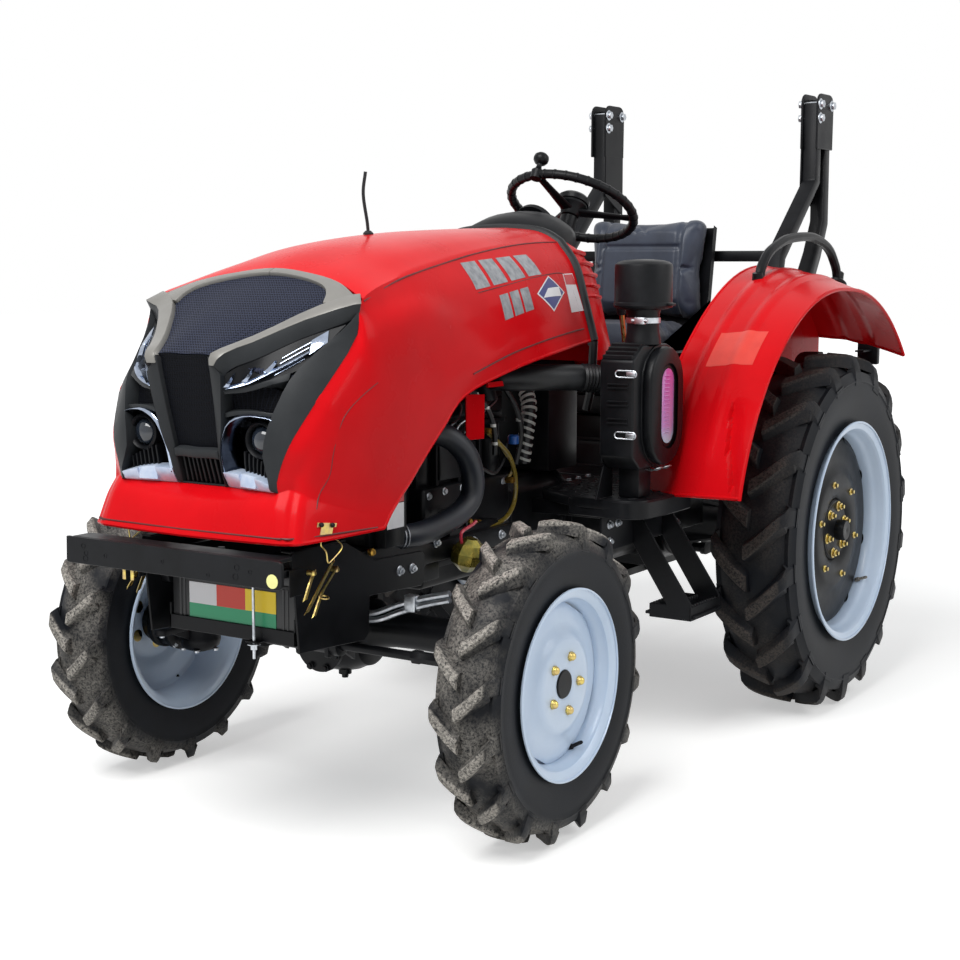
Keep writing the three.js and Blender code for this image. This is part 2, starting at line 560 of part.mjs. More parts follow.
leftAndRight('headlamp', leftLamp, lamp);

// ---------------------------------------------------------------- cowl, steering and levers

const rearSection = hoodRows[0].map((p) => [p.x, p.z]);
const tilt = [0, Math.sin(WHEEL_TILT), Math.cos(WHEEL_TILT)];
const alongColumn = (distance) => [
  0,
  STEERING_WHEEL.y + tilt[1] * distance,
  STEERING_WHEEL.z + tilt[2] * distance,
];
const cowlOutline = [
  ...rearSection.map(([x, z]) => [x * 0.97, z * 0.985 + 15]),
  [rearSection.at(-1)[0] * 0.97, COWL_BOTTOM], [rearSection[0][0] * 0.97, COWL_BOTTOM],
];
const hingeArm = plateX([
  [HINGE_Y - 10, HINGE_Z + 2], [HINGE_Y + 4, HINGE_Z + 2], [HINGE_Y + 10, HINGE_Z - 14],
  [HINGE_Y + 51, HINGE_Z - 42], [COWL_FRONT_Y + 5, HINGE_Z - 42], [COWL_FRONT_Y + 5, HINGE_Z - 62],
  [HINGE_Y + 40, HINGE_Z - 62], [HINGE_Y - 10, HINGE_Z - 20],
], HINGE.halfLength + RUN_GAP, HINGE.halfLength + 12);
piece('cowl', cut(
  join(
    plateY(cowlOutline, COWL_FRONT_Y, COWL_REAR_Y),
    plateX([
      [COWL_FRONT_Y + 20, 1395], [COWL_FRONT_Y + 45, 1452], [COWL_FRONT_Y + 120, 1462], [COWL_REAR_Y, 1400],
      [COWL_REAR_Y, 1390],
    ], -150, 150),
    bothSides(hingeArm),
  ),
  rod(alongColumn(-500), alongColumn(-20), 34, 16),
), redPaint);

piece('steering_console', join(
  box([-150, 150], [COWL_FRONT_Y + 20, COWL_REAR_Y - 15], [CLUTCH_TOP + SEAT_GAP, COWL_BOTTOM - SEAT_GAP]),
  rod(alongColumn(-500), alongColumn(-32), 32, 16),
), blackPaint);

const wheelSpoke = (angle) => {
  const away = new THREE.Vector3(Math.sin(angle), -Math.cos(angle) * Math.cos(WHEEL_TILT),
    Math.cos(angle) * Math.sin(WHEEL_TILT));
  const start = alongColumn(-5);
  const end = away.multiplyScalar(STEERING_WHEEL.radius).toArray().map((v, k) => v + alongColumn(0)[k]);
  return rod(start, end, 7, 8);
};
const wheelRing = new THREE.TorusGeometry(STEERING_WHEEL.radius, STEERING_WHEEL.grip, 6, 24)
  .rotateX(-WHEEL_TILT).translate(0, STEERING_WHEEL.y, STEERING_WHEEL.z);
const knobAt = [0, STEERING_WHEEL.y - STEERING_WHEEL.radius * Math.cos(WHEEL_TILT),
  STEERING_WHEEL.z + STEERING_WHEEL.radius * Math.sin(WHEEL_TILT)];
piece('steering_wheel', join(
  solidOf(wheelRing),
  rod(alongColumn(-32 + RUN_GAP), alongColumn(22), 36, 16, 30),
  ...[Math.PI, Math.PI / 3, -Math.PI / 3].map(wheelSpoke),
  rod(knobAt, [0, knobAt[1] + 18, knobAt[2] + 34], 22, 14),
), rubber);

// ---------------------------------------------------------------- seat

piece('seat_base', join(
  box([-150, 150], [-190, 30], [LIFT_COVER_TOP + SEAT_GAP, 900]),
  plateX([[-200, 1000], [-170, 895], [20, 895], [50, 1000], [50, SEAT_BOTTOM - SEAT_GAP],
    [-200, SEAT_BOTTOM - SEAT_GAP]], -170, 170),
), blackPaint);

piece('seat_cushion', plateX([
  [-310, SEAT_BOTTOM + 30], [-290, SEAT_BOTTOM], [60, SEAT_BOTTOM], [75, SEAT_BOTTOM + 20],
  [75, SEAT_TOP - 20], [50, SEAT_TOP], [-270, SEAT_TOP], [-305, SEAT_TOP - 22],
], -SEAT_HALF_WIDTH, SEAT_HALF_WIDTH), vinyl);

piece('seat_back', plateX([
  [45, SEAT_TOP + SEAT_GAP], [118, SEAT_TOP + SEAT_GAP], [160, 1400], [155, 1455],
  [130, 1470], [95, 1460], [80, 1400],
], -SEAT_HALF_WIDTH + 10, SEAT_HALF_WIDTH - 10), vinyl);

// ---------------------------------------------------------------- platform, steps and fenders

const STEP = {
  inner: 455, outer: 578, front: REAR_TYRE_FRONT_Y - 219, back: REAR_TYRE_FRONT_Y - 34,
  top: 405, thickness: 22,
};
const cornerY = REAR_TYRE_FRONT_Y - FOOT_ROOM;
const platformFrontY = cornerY - PLATFORM_AHEAD;
const platformUnder = PLATFORM_TOP - PLATFORM_THICKNESS;
const bracket = (y0, y1) => plateY([
  [250, platformUnder + 2], [STEP.inner - 60, platformUnder + 2], [STEP.outer, STEP.top],
  [STEP.outer, STEP.top - 40], [STEP.inner, STEP.top - 40],
], y0, y1);
leftAndRight('platform', join(
  plateZ([
    [GEARBOX_HALF_WIDTH + SEAT_GAP, platformFrontY + 130], [360, platformFrontY], [485, platformFrontY],
    [520, cornerY], [FENDER_INNER_X - 5, cornerY + 40],
    [FENDER_INNER_X - 5, -215], [GEARBOX_HALF_WIDTH + SEAT_GAP, -215],
  ], platformUnder, PLATFORM_TOP),
  bracket(STEP.front, STEP.front + 8),
  bracket(STEP.back - 8, STEP.back),
  box([STEP.inner, STEP.outer], [STEP.front, STEP.back], [STEP.top - STEP.thickness, STEP.top]),
), blackPaint);

// The arch is struck from its centre by angle, from the platform over the wheel to the rear edge.
const archAngles = Array.from({ length: 13 }, (_, k) => k / 12);
const archPoint = (share, radiusAt, x) => {
  const start = Math.asin((PLATFORM_TOP + SEAT_GAP - FENDER_CENTRE[1]) / radiusAt(0));
  const angle = THREE.MathUtils.lerp(start, THREE.MathUtils.degToRad(136), share);
  const radius = radiusAt(share);
  return new THREE.Vector3(
    x, FENDER_CENTRE[0] - radius * Math.cos(angle), FENDER_CENTRE[1] + radius * Math.sin(angle));
};
const outerRadius = (share) => THREE.MathUtils.lerp(FENDER_FAR, FENDER_NEAR, Math.min(1, share * 1.6));
const innerRadius = (share) => 
  THREE.MathUtils.lerp(FENDER_NEAR, FENDER_FAR, THREE.MathUtils.smoothstep(share, 0.3, 0.75));
const fenderRows = archAngles.map((share) => [1, 0.93, 0.7, 0.35, 0].map((across) => {
  const inner = archPoint(share, innerRadius, FENDER_INNER_X);
  const outer = archPoint(share, outerRadius, FENDER_OUTER_X);
  const crown = Math.sin(across * Math.PI) * 14;
  const place = inner.lerp(outer, across);
  const away = new THREE.Vector3(0, place.y - FENDER_CENTRE[0], place.z - FENDER_CENTRE[1]).normalize();
  return place.addScaledVector(away, crown);
}));
const innerEdge = fenderRows.map((_, k) => {
  const edge = archPoint(archAngles[k], (share) => innerRadius(share) - FENDER_SKIN / 2, 0);
  return [edge.y, edge.z];
});
const fenderWall = plateX([
  ...innerEdge, [innerEdge.at(-1)[0], 900], [330, 720], [-200, PLATFORM_TOP + SEAT_GAP],
], FENDER_INNER_X - 1.5, FENDER_INNER_X + 3.5);
const belowPlatformTop = box([0, 900], [-1000, 0], [0, PLATFORM_TOP + SEAT_GAP]);
leftAndRight('fender', cut(join(sheet(fenderRows, FENDER_SKIN), fenderWall), belowPlatformTop), redPaint);

const HANDLE = { x: 500, front: -150, back: 460, radius: 15, foot: FENDER_CENTRE[1] + FENDER_NEAR + 16 };
const handleBar = bar([
  [HANDLE.front - 12, 0], [HANDLE.front, 37], [HANDLE.front + 60, 90], [60, 131],
  [250, 137], [HANDLE.back - 60, 95], [HANDLE.back, 35], [HANDLE.back + 10, 7],
].map(([y, above]) => [HANDLE.x, y, HANDLE.foot + above]), HANDLE.radius, 12, 4);
leftAndRight('grab_handle', cut(handleBar, sheet(fenderRows, 90, () => true, -SEAT_GAP)), rubber);

// ---------------------------------------------------------------- roll bar

const postX = [POST_X - POST_WIDTH / 2, POST_X + POST_WIDTH / 2];
const POST_FOOT_Z = REAR_AXLE_Z + 90;
const frontLeg = plateX([
  [60, POST_FOOT_Z], [100, POST_FOOT_Z], [262, 1325], [536, 1570], [536, POST_TOP - 30], [496, POST_TOP - 30],
  [496, 1580], [222, 1345],
], ...postX);
const rearLeg = plateX([
  [-40, POST_FOOT_Z], [70, POST_FOOT_Z], [560, 1330], [616, 1440], [612, POST_TOP - 30], [570, POST_TOP - 30],
  [572, 1450], [520, 1350],
], ...postX);
const clevis = plateX([
  [486, 1680], [620, 1680], [620, 1822], [575, POST_TOP], [510, POST_TOP], [486, 1828],
], POST_X - 29, POST_X + 29);
const crossbar = box([-postX[0] - 4, postX[0] + 4], [226, 262], [1318, 1352]);
const postFoot = cut(
  box([postX[0] - 10, postX[1] + 5], [-70, 130], [REAR_AXLE_Z + 40, POST_FOOT_Z + 4]),
  rearAxleTube(SEAT_GAP),
);
piece('roll_bar', join(bothSides(join(frontLeg, rearLeg, clevis, postFoot)), crossbar), blackPaint);

// ---------------------------------------------------------------- air cleaner

const CLEANER_SIZE = { x: [405, 530], z: [785, 1105], depth: 238, behind: 7 };
const cleanerAcross = (CLEANER_SIZE.x[1] - FENDER_INNER_X) / (FENDER_OUTER_X - FENDER_INNER_X);
const fenderFaceY = FENDER_CENTRE[0] - Math.sqrt(
  (FENDER_NEAR + FENDER_FLARE * cleanerAcross) ** 2
  - Math.max(0, CLEANER_SIZE.z[0] - FENDER_CENTRE[1]) ** 2);
const cleanerBack = fenderFaceY - CLEANER_SIZE.behind;
const CLEANER = { x: CLEANER_SIZE.x, y: [cleanerBack - CLEANER_SIZE.depth, cleanerBack], z: CLEANER_SIZE.z };
const cleanerY = (CLEANER.y[0] + CLEANER.y[1]) / 2;
const cleanerX = (CLEANER.x[0] + CLEANER.x[1]) / 2;
const chamfer = 45;
piece('air_cleaner', join(
  plateX([
    [CLEANER.y[0] + chamfer, CLEANER.z[0]], [CLEANER.y[1] - chamfer, CLEANER.z[0]],
    [CLEANER.y[1], CLEANER.z[0] + chamfer], [CLEANER.y[1], CLEANER.z[1] - chamfer],
    [CLEANER.y[1] - chamfer, CLEANER.z[1]], [CLEANER.y[0] + chamfer, CLEANER.z[1]],
    [CLEANER.y[0], CLEANER.z[1] - chamfer], [CLEANER.y[0], CLEANER.z[0] + chamfer],
  ], ...CLEANER.x),
  box([CLEANER.x[0] + 20, CLEANER.x[1] - 45], [cleanerY - 45, cleanerY + 25],
    [PLATFORM_TOP + SEAT_GAP, CLEANER.z[0] + 5]),
), darkPlastic);
piece('pre_cleaner', join(
  rod([cleanerX, cleanerY, CLEANER.z[1] + SEAT_GAP], [cleanerX, cleanerY, 1200], 40, 16),
  rod([cleanerX, cleanerY, 1190], [cleanerX, cleanerY, 1320], 75, 24),
), darkPlastic);
piece('intake_hose', bar([
  [CLEANER.x[0] - SEAT_GAP, cleanerY - 20, 1010], [CLEANER.x[0] - 30, cleanerY - 20, 1010],
  [315, -930, 1018], [235, -1030, 1020], [185, -1060, 1020], [ENGINE_HALF_WIDTH + SEAT_GAP, -1060, 1020],
], 34, 10, 4), rubber);

piece('gear_lever', join(
  rod([250, -420, PLATFORM_TOP + SEAT_GAP], [250, -420, PLATFORM_TOP + 60], 30, 12, 18),
  rod([250, -420, PLATFORM_TOP + 50], [262, -560, 1180], 8, 10),
  rod([262, -559, 1170], [263, -570, 1230], 18, 12),
), blackPaint);

// ---------------------------------------------------------------- hitch

const armTurn = THREE.MathUtils.degToRad(HITCH.armTilt);
const tipY = HITCH.liftY + HITCH.arm * Math.cos(armTurn);
const tipZ = HITCH.liftZ + HITCH.arm * Math.sin(armTurn);
piece('lift_arms', join(
  rod([-HITCH.armX - 14, HITCH.liftY, HITCH.liftZ], [HITCH.armX + 14, HITCH.liftY, HITCH.liftZ],
    ROCKSHAFT_RADIUS, 16),
  bothSides(plateX([
    [HITCH.liftY - 30, HITCH.liftZ - 28], [HITCH.liftY + 20, HITCH.liftZ - 32], [tipY + 14, tipZ - 20],
    [tipY + 18, tipZ + 16], [HITCH.liftY + 20, HITCH.liftZ + 34], [HITCH.liftY - 26, HITCH.liftZ + 28],
  ], HITCH.armX - 12, HITCH.armX + 12)),
), castIron);

const linkTilt = THREE.MathUtils.degToRad(HITCH.tilt);
const onLink = (distance) => [
  HITCH.linkY + distance * Math.cos(linkTilt), HITCH.linkZ + distance * Math.sin(linkTilt)];
const linkLength = (LINK_REACH - 24 - HITCH.linkY) / Math.cos(linkTilt);
const [rodFootY, rodFootZ] = onLink(430);
const rodLean = Math.atan2(tipY - rodFootY, tipZ - rodFootZ);
const onRod = (up, side) => [
  rodFootY + up * Math.sin(rodLean) + side * Math.cos(rodLean),
  rodFootZ + up * Math.cos(rodLean) - side * Math.sin(rodLean)];
const forkSlot = LINK_HALF_THICKNESS + RUN_GAP;
leftAndRight('lift_rod', join(
  rod([rodX, tipY, tipZ], [rodX, ...onRod(60, 0)], 12, 12),
  rod([rodX - LIFT_ROD_EYE, tipY, tipZ], [rodX + LIFT_ROD_EYE, tipY, tipZ], 24, 12),
  cut(
    plateX([onRod(-20, -18), onRod(-20, 18), onRod(75, 18), onRod(75, -18)], rodX - 20, rodX + 20),
    plateX([onRod(-60, -60), onRod(-60, 60), onRod(52, 60), onRod(52, -60)],
      rodX - forkSlot, rodX + forkSlot),
  ),
), castIron);

const [eyeY, eyeZ] = onLink(linkLength);
leftAndRight('lower_link', join(
  plateX([
    [HITCH.linkY - 22, HITCH.linkZ - 22], [eyeY - 5, eyeZ - 24], [eyeY - 5, eyeZ + 24],
    [HITCH.linkY - 22, HITCH.linkZ + 24],
  ], rodX - LINK_HALF_THICKNESS, rodX + LINK_HALF_THICKNESS),
  rod([rodX - 18, eyeY, eyeZ], [rodX + 18, eyeY, eyeZ], 24, 14),
), castIron);

piece('drawbar', join(
  box([-45, 45], [-120, 420], [330, 352]),
  box([-60, 60], [60, 130], [350, REAR_HOUSING.bottom - SEAT_GAP]),
), blackPaint);

tractor.position.y = (WHEELBASE + BUMPER_AHEAD - LINK_REACH) / 2;

export default tractor;
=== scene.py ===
from math import cos, pi, radians, sin

import bmesh
import bpy
from mathutils import Matrix, Vector


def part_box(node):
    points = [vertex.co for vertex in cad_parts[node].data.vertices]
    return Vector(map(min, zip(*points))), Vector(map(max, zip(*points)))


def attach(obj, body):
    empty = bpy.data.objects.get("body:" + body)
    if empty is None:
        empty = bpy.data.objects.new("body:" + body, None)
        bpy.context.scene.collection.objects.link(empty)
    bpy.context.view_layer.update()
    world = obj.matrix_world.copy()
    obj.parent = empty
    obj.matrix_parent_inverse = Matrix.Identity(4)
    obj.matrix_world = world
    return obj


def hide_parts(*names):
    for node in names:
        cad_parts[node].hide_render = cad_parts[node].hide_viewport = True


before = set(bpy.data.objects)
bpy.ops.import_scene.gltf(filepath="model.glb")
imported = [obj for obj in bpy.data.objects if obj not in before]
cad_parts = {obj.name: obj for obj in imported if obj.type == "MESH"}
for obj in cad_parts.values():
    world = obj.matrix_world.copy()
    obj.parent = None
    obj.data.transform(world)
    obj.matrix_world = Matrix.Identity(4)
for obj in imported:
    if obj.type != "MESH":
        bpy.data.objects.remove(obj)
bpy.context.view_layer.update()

# ------------------------------------------------------------------ camera, floor and light
# The tractor stands on a plain pale floor in soft, even daylight.
# The camera is low, ahead of the left front wheel, as tall as a person's chest.

scene = bpy.context.scene
scene.view_settings.view_transform = "Standard"


def linear(hex_colour):
    """An sRGB colour written in hex, as the linear numbers that a shader works in."""
    parts = [int(hex_colour[i:i + 2], 16) / 255 for i in (1, 3, 5)]
    return (*(c / 12.92 if c <= 0.04045 else ((c + 0.055) / 1.055) ** 2.4 for c in parts), 1.0)


def add(tree, kind, links=(), **settings):
    """Adds one node; a setting is the node's own or a socket's, and a link is (socket, its source)."""
    node = tree.nodes.new("ShaderNode" + kind)
    for key, value in settings.items():
        if hasattr(node, key):
            setattr(node, key, value)
        else:
            node.inputs[key.replace("_", " ")].default_value = value
    for socket, source in links:
        tree.links.new(source, node.inputs[socket])
    return node


EYE, SIGHT = Vector((2.470, -4.137, 1.317)), Vector((-0.5499, 0.8257, -0.1260))
bpy.ops.object.camera_add(location=EYE, rotation=SIGHT.to_track_quat("-Z", "Y").to_euler())
camera = bpy.context.object
camera.data.lens, camera.data.shift_x, camera.data.shift_y = 63.2, 0.0388, -0.0042
scene.camera = camera

bpy.ops.mesh.primitive_plane_add(size=60)
floor = bpy.context.object
floor.name = "floor"
pale_floor = bpy.data.materials.new("pale painted floor")
pale_floor.use_nodes = True
tree = pale_floor.node_tree
tree.nodes.clear()
diffuse = add(tree, "BsdfDiffuse", Color=linear("#E9E9E7"))
place = add(tree, "TexCoord")
distance = add(tree, "VectorMath", [(0, place.outputs["Object"])], operation="LENGTH")
fade = add(tree, "MapRange", [("Value", distance.outputs["Value"])], From_Min=2.2, From_Max=6.0, To_Min=0.45)
glow = add(tree, "Emission", [("Strength", fade.outputs[0])], Color=linear("#FFFFFF"))
ray = add(tree, "LightPath")
seen = add(tree, "Math", [(0, ray.outputs["Is Camera Ray"]), (1, ray.outputs["Is Glossy Ray"])],
           operation="MAXIMUM")
none = add(tree, "Emission", Strength=0.0)
shown = add(tree, "MixShader", [(0, seen.outputs[0]), (1, none.outputs[0]), (2, glow.outputs[0])])
both = add(tree, "AddShader", [(0, diffuse.outputs[0]), (1, shown.outputs[0])])
add(tree, "OutputMaterial", [("Surface", both.outputs[0])])
floor.data.materials.append(pale_floor)

sky = bpy.data.worlds.new("even daylight")
scene.world = sky
sky.use_nodes = True
tree = sky.node_tree
tree.nodes.clear()
lighting = add(tree, "Background", Color=linear("#F4F7FB"), Strength=0.34)
white = add(tree, "Background", Color=linear("#FFFFFF"), Strength=1.0)
ray = add(tree, "LightPath")
seen = add(tree, "Math", [(0, ray.outputs["Is Camera Ray"]), (1, ray.outputs["Is Glossy Ray"])],
           operation="MAXIMUM")
seen = add(tree, "Math", [(0, seen.outputs[0]), (1, ray.outputs["Is Transmission Ray"])],
           operation="MAXIMUM")
mixed = add(tree, "MixShader", [(0, seen.outputs[0]), (1, lighting.outputs[0]), (2, white.outputs[0])])
add(tree, "OutputWorld", [("Surface", mixed.outputs[0])])

for at, towards, size, power in [
    ((0.2, -3.6, 4.6), (0, -0.2, 0.8), 3.2, 290),
    ((4.4, 0.8, 3.4), (0, 0.2, 0.7), 3.0, 70),
]:
    bpy.ops.object.light_add(type="AREA", location=at)
    lamp = bpy.context.object
    lamp.rotation_euler = (Vector(towards) - Vector(at)).to_track_quat("-Z", "Y").to_euler()
    lamp.data.size, lamp.data.energy = size, power

# ------------------------------------------------------------------ tyres
# Bias-ply farm tyres of black rubber, moulded with bar lugs that alternate from side to side.
# The lugs run from the middle of the tread over the shoulder; the front pair is dusty from standing.

AXLE_Y = sum(corner.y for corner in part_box("tyre_rear_left")) / 2  # lengths below are from the rear axle


def only(piece):
    """Makes a piece the only one selected, and active."""
    bpy.ops.object.select_all(action="DESELECT")
    bpy.context.view_layer.objects.active = piece
    piece.select_set(True)


def start(name, primitive, **size):
    """Adds a primitive with nothing else selected, and names it."""
    bpy.ops.object.select_all(action="DESELECT")
    primitive(**size)
    piece = bpy.context.object
    piece.name = piece.data.name = name
    return piece


def in_edit(piece, *steps, select=None, of="FACE"):
    """Runs edit-mode steps on what passes select(centre, normal), or on everything."""
    only(piece)
    bpy.ops.object.mode_set(mode="EDIT")
    bpy.ops.mesh.select_mode(type=of)
    bpy.ops.mesh.select_all(action="SELECT" if select is None else "DESELECT")
    if select is not None:
        form = bmesh.from_edit_mesh(piece.data)
        for part in {"VERT": form.verts, "EDGE": form.edges, "FACE": form.faces}[of]:
            if of == "VERT":
                centre, normal = part.co, part.normal
            else:
                centre = sum((v.co for v in part.verts), Vector()) / len(part.verts)
                normal = part.normal if of == "FACE" else None
            part.select_set(bool(select(centre, normal)))
        form.select_flush_mode()
        bmesh.update_edit_mesh(piece.data)
    for operator, settings in steps:
        operator(**settings)
    bpy.ops.object.mode_set(mode="OBJECT")
    return piece


WELD = (bpy.ops.mesh.remove_doubles, {"threshold": 1e-5})
OUTWARD = (bpy.ops.mesh.normals_make_consistent, {"inside": False})


def apply_modifier(piece, kind, **settings):
    """Adds a modifier of a kind with these settings and applies it at once."""
    only(piece)
    modifier = piece.modifiers.new(kind.lower(), kind)
    for key, value in settings.items():
        setattr(modifier, key, value)
    bpy.ops.object.modifier_apply(modifier=modifier.name)
    return piece


def lay(piece, points):
    """Moves a mesh's points to the places given, in order."""
    piece.data.vertices.foreach_set("co", [c for point in points for c in point])
    piece.data.update()
    return piece


def lofted(name, rings, closed=True, wall=0.0):
    """A grid laid through rings of points; closed rings are welded round and their two ends filled."""
    rows = [[*ring, ring[0]] if closed else ring for ring in rings]
    piece = start(name, bpy.ops.mesh.primitive_grid_add, x_subdivisions=len(rows[0]) - 1,
                  y_subdivisions=len(rows) - 1)
    lay(piece, [point for row in rows for point in row])
    ends = [(bpy.ops.mesh.fill_holes, {"sides": 0})] if closed else []
    in_edit(piece, WELD, *ends, OUTWARD)
    if wall:
        apply_modifier(piece, "SOLIDIFY", thickness=wall, offset=-1)
    return piece


def about(axis, centre, turn, r, along):
    """A point at radius r and turn about an axis, and along it, from a centre."""
    a, b = r * cos(turn), r * sin(turn)
    return Vector(centre) + Vector({"X": (along, -a, b), "Y": (a, along, b), "Z": (a, b, along)}[axis])


def turned(name, profile, centre, axis="X", steps=64, wall=0.0, closed=False):
    """A profile of (radius, along) points spun about an axis through the centre, as on a lathe."""
    piece = start(name, bpy.ops.mesh.primitive_circle_add, vertices=len(profile))
    lay(piece, [about(axis, centre, 0, r, along) for r, along in profile])
    if not closed:
        form = bmesh.new()
        form.from_mesh(piece.data)
        form.edges.ensure_lookup_table()
        ends = {0, len(profile) - 1}
        for edge in [e for e in form.edges if {v.index for v in e.verts} == ends]:
            form.edges.remove(edge)
        form.to_mesh(piece.data)
        form.free()
    direction = {"X": (1, 0, 0), "Y": (0, 1, 0), "Z": (0, 0, 1)}[axis]
    in_edit(piece, (bpy.ops.mesh.spin, {"steps": steps, "angle": 2 * pi, "center": centre,
                                        "axis": direction}), WELD, OUTWARD, of="VERT")
    if wall:
        apply_modifier(piece, "SOLIDIFY", thickness=wall, offset=-1)
    return piece


def smooth(points, steps=6):
    """A smooth line through the points."""
    points = [Vector(p) for p in points]
    ends = [2 * points[0] - points[1], *points, 2 * points[-1] - points[-2]]
    line = []
    for a, b, c, d in zip(ends, ends[1:], ends[2:], ends[3:]):
        for k in range(steps):
            t = k / steps
            line.append(0.5 * (2 * b + (c - a) * t + (2 * a - 5 * b + 4 * c - d) * t * t
                               + (3 * b - a - 3 * c + d) * t ** 3))
    return [*line, points[-1]]


def joined(name, parts):
    """Several meshes made into one."""
    bpy.ops.object.select_all(action="DESELECT")
    for part in parts:
        part.select_set(True)
    bpy.context.view_layer.objects.active = parts[0]
    if len(parts) > 1:
        bpy.ops.object.join()
    piece = bpy.context.object
    piece.name = piece.data.name = name
    return piece


def copied(piece, *moves):
    """Copies of a piece, each with its own mesh, moved by matrices."""
    copies = []
    for move in moves:
        copy = piece.copy()
        copy.data = piece.data.copy()
        copy.data.transform(move)
        if move.determinant() < 0:
            copy.data.flip_normals()
        scene.collection.objects.link(copy)
        copies.append(copy)
    return copies


def spun(angle, axis, centre):
    """A turn about an axis through a point, as a matrix."""
    return Matrix.Translation(centre) @ Matrix.Rotation(angle, 4, axis) @ Matrix.Translation(-Vector(centre))


MIRROR = Matrix.Scale(-1, 4, (1, 0, 0))


def both_sides(parts):
    """Left-hand parts and a mirror image of each."""
    return [*parts, *(copied(part, MIRROR)[0] for part in parts)]


def fitted(piece, body, material, slot, *nodes, smooth_to=35):
    """Puts a finished piece on its body, with its finish, its shading and the CAD nodes it stands for."""
    only(piece)
    piece.location.y += AXLE_Y
    bpy.ops.object.transform_apply(location=True, rotation=True, scale=True)
    bpy.ops.object.shade_smooth_by_angle(angle=radians(smooth_to))
    piece.data.materials.clear()
    piece.data.materials.append(material)
    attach(piece, body)
    if nodes:
        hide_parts(*nodes)
    return piece


def paired(name, piece, body, material, slot, node=None):
    """Fits a left-hand piece and its mirror image; bodies and nodes with hands are named without them."""
    piece.name = piece.data.name = f"{name}_left"
    other = copied(piece, MIRROR)[0]
    other.name = other.data.name = f"{name}_right"
    for part, hand in ((piece, "left"), (other, "right")):
        on = body if body in ("chassis", "hood") else f"{body}_{hand}"
        fitted(part, on, material, slot, *([f"{node}_{hand}"] if node else []))


def new_material(name, **surface):
    """A material with one glossy or matt shader, and its Object coordinates ready to read."""
    material = bpy.data.materials.new(name)
    material.use_nodes = True
    tree = material.node_tree
    tree.nodes.clear()
    place = add(tree, "TexCoord").outputs["Object"]
    shader = add(tree, "BsdfPrincipled", **surface)
    add(tree, "OutputMaterial", [("Surface", shader.outputs[0])])
    return material, tree, place, shader


def moulded_rubber(name, hub_z, hub_y, radius, dust, most):
    """Vulcanised rubber: matt black with a painted bluish sheen in patches, and dust caught on the lugs."""
    material, tree, place, shader = new_material(name, Roughness=0.62, Specular_IOR_Level=0.12)
    from_hub = add(tree, "VectorMath", [(0, place)], operation="SUBTRACT")
    from_hub.inputs[1].default_value = (0, hub_y, hub_z)
    flat = add(tree, "VectorMath", [(0, from_hub.outputs[0])], operation="MULTIPLY")
    flat.inputs[1].default_value = (0, 1, 1)
    reach = add(tree, "VectorMath", [(0, flat.outputs[0])], operation="LENGTH")
    on_lugs = add(tree, "MapRange", [("Value", reach.outputs["Value"])], interpolation_type="SMOOTHSTEP",
                  From_Min=radius - 0.014, From_Max=radius - 0.004)
    speckle = add(tree, "TexNoise", [("Vector", place)], Scale=1 / 0.006, Detail=4.0, Roughness=0.75)
    patches = add(tree, "TexNoise", [("Vector", place)], Scale=1 / 0.12, Detail=3.0)
    much = add(tree, "MapRange", [("Value", patches.outputs["Fac"])], From_Min=0.38, From_Max=0.62)
    fine = add(tree, "MapRange", [("Value", speckle.outputs["Fac"])], From_Min=0.36, From_Max=0.60)
    tops = add(tree, "Math", [(0, on_lugs.outputs[0]), (1, fine.outputs[0])], operation="MULTIPLY")
    caught = add(tree, "Math", [(0, much.outputs[0]), (1, fine.outputs[0])], operation="MULTIPLY")
    tread = add(tree, "MapRange", [("Value", reach.outputs["Value"])], interpolation_type="SMOOTHSTEP",
                From_Min=radius - 0.075, From_Max=radius - 0.03, To_Max=0.55)
    caught = add(tree, "Math", [(0, caught.outputs[0]), (1, tread.outputs[0])], operation="MULTIPLY")
    cover = add(tree, "Math", [(0, tops.outputs[0]), (1, caught.outputs[0])], operation="MAXIMUM")
    cover = add(tree, "Math", [(0, cover.outputs[0])], operation="MULTIPLY")
    cover.inputs[1].default_value = most
    # The bluish patches mixed into the black are a painted sheen, not a tint of the rubber itself.
    sheen = add(tree, "TexNoise", [("Vector", place)], Scale=1 / 0.09, Detail=2.0)
    black = add(tree, "Mix", [(0, sheen.outputs["Fac"])], data_type="RGBA")
    black.inputs[6].default_value, black.inputs[7].default_value = linear("#0E0F11"), linear("#171A20")
    colour = add(tree, "Mix", [(0, cover.outputs[0]), (6, black.outputs[2])], data_type="RGBA")
    colour.inputs[7].default_value = linear(dust)
    tree.links.new(colour.outputs[2], shader.inputs["Base Color"])
    rough = add(tree, "MapRange", [("Value", cover.outputs[0])], To_Min=0.5, To_Max=0.9)
    tree.links.new(rough.outputs[0], shader.inputs["Roughness"])
    grain = add(tree, "TexNoise", [("Vector", place)], Scale=1 / 0.0035, Detail=3.0)
    relief = add(tree, "Bump", [("Height", grain.outputs["Fac"])], Strength=0.35, Distance=0.0008)
    tree.links.new(relief.outputs[0], shader.inputs["Normal"])
    return material


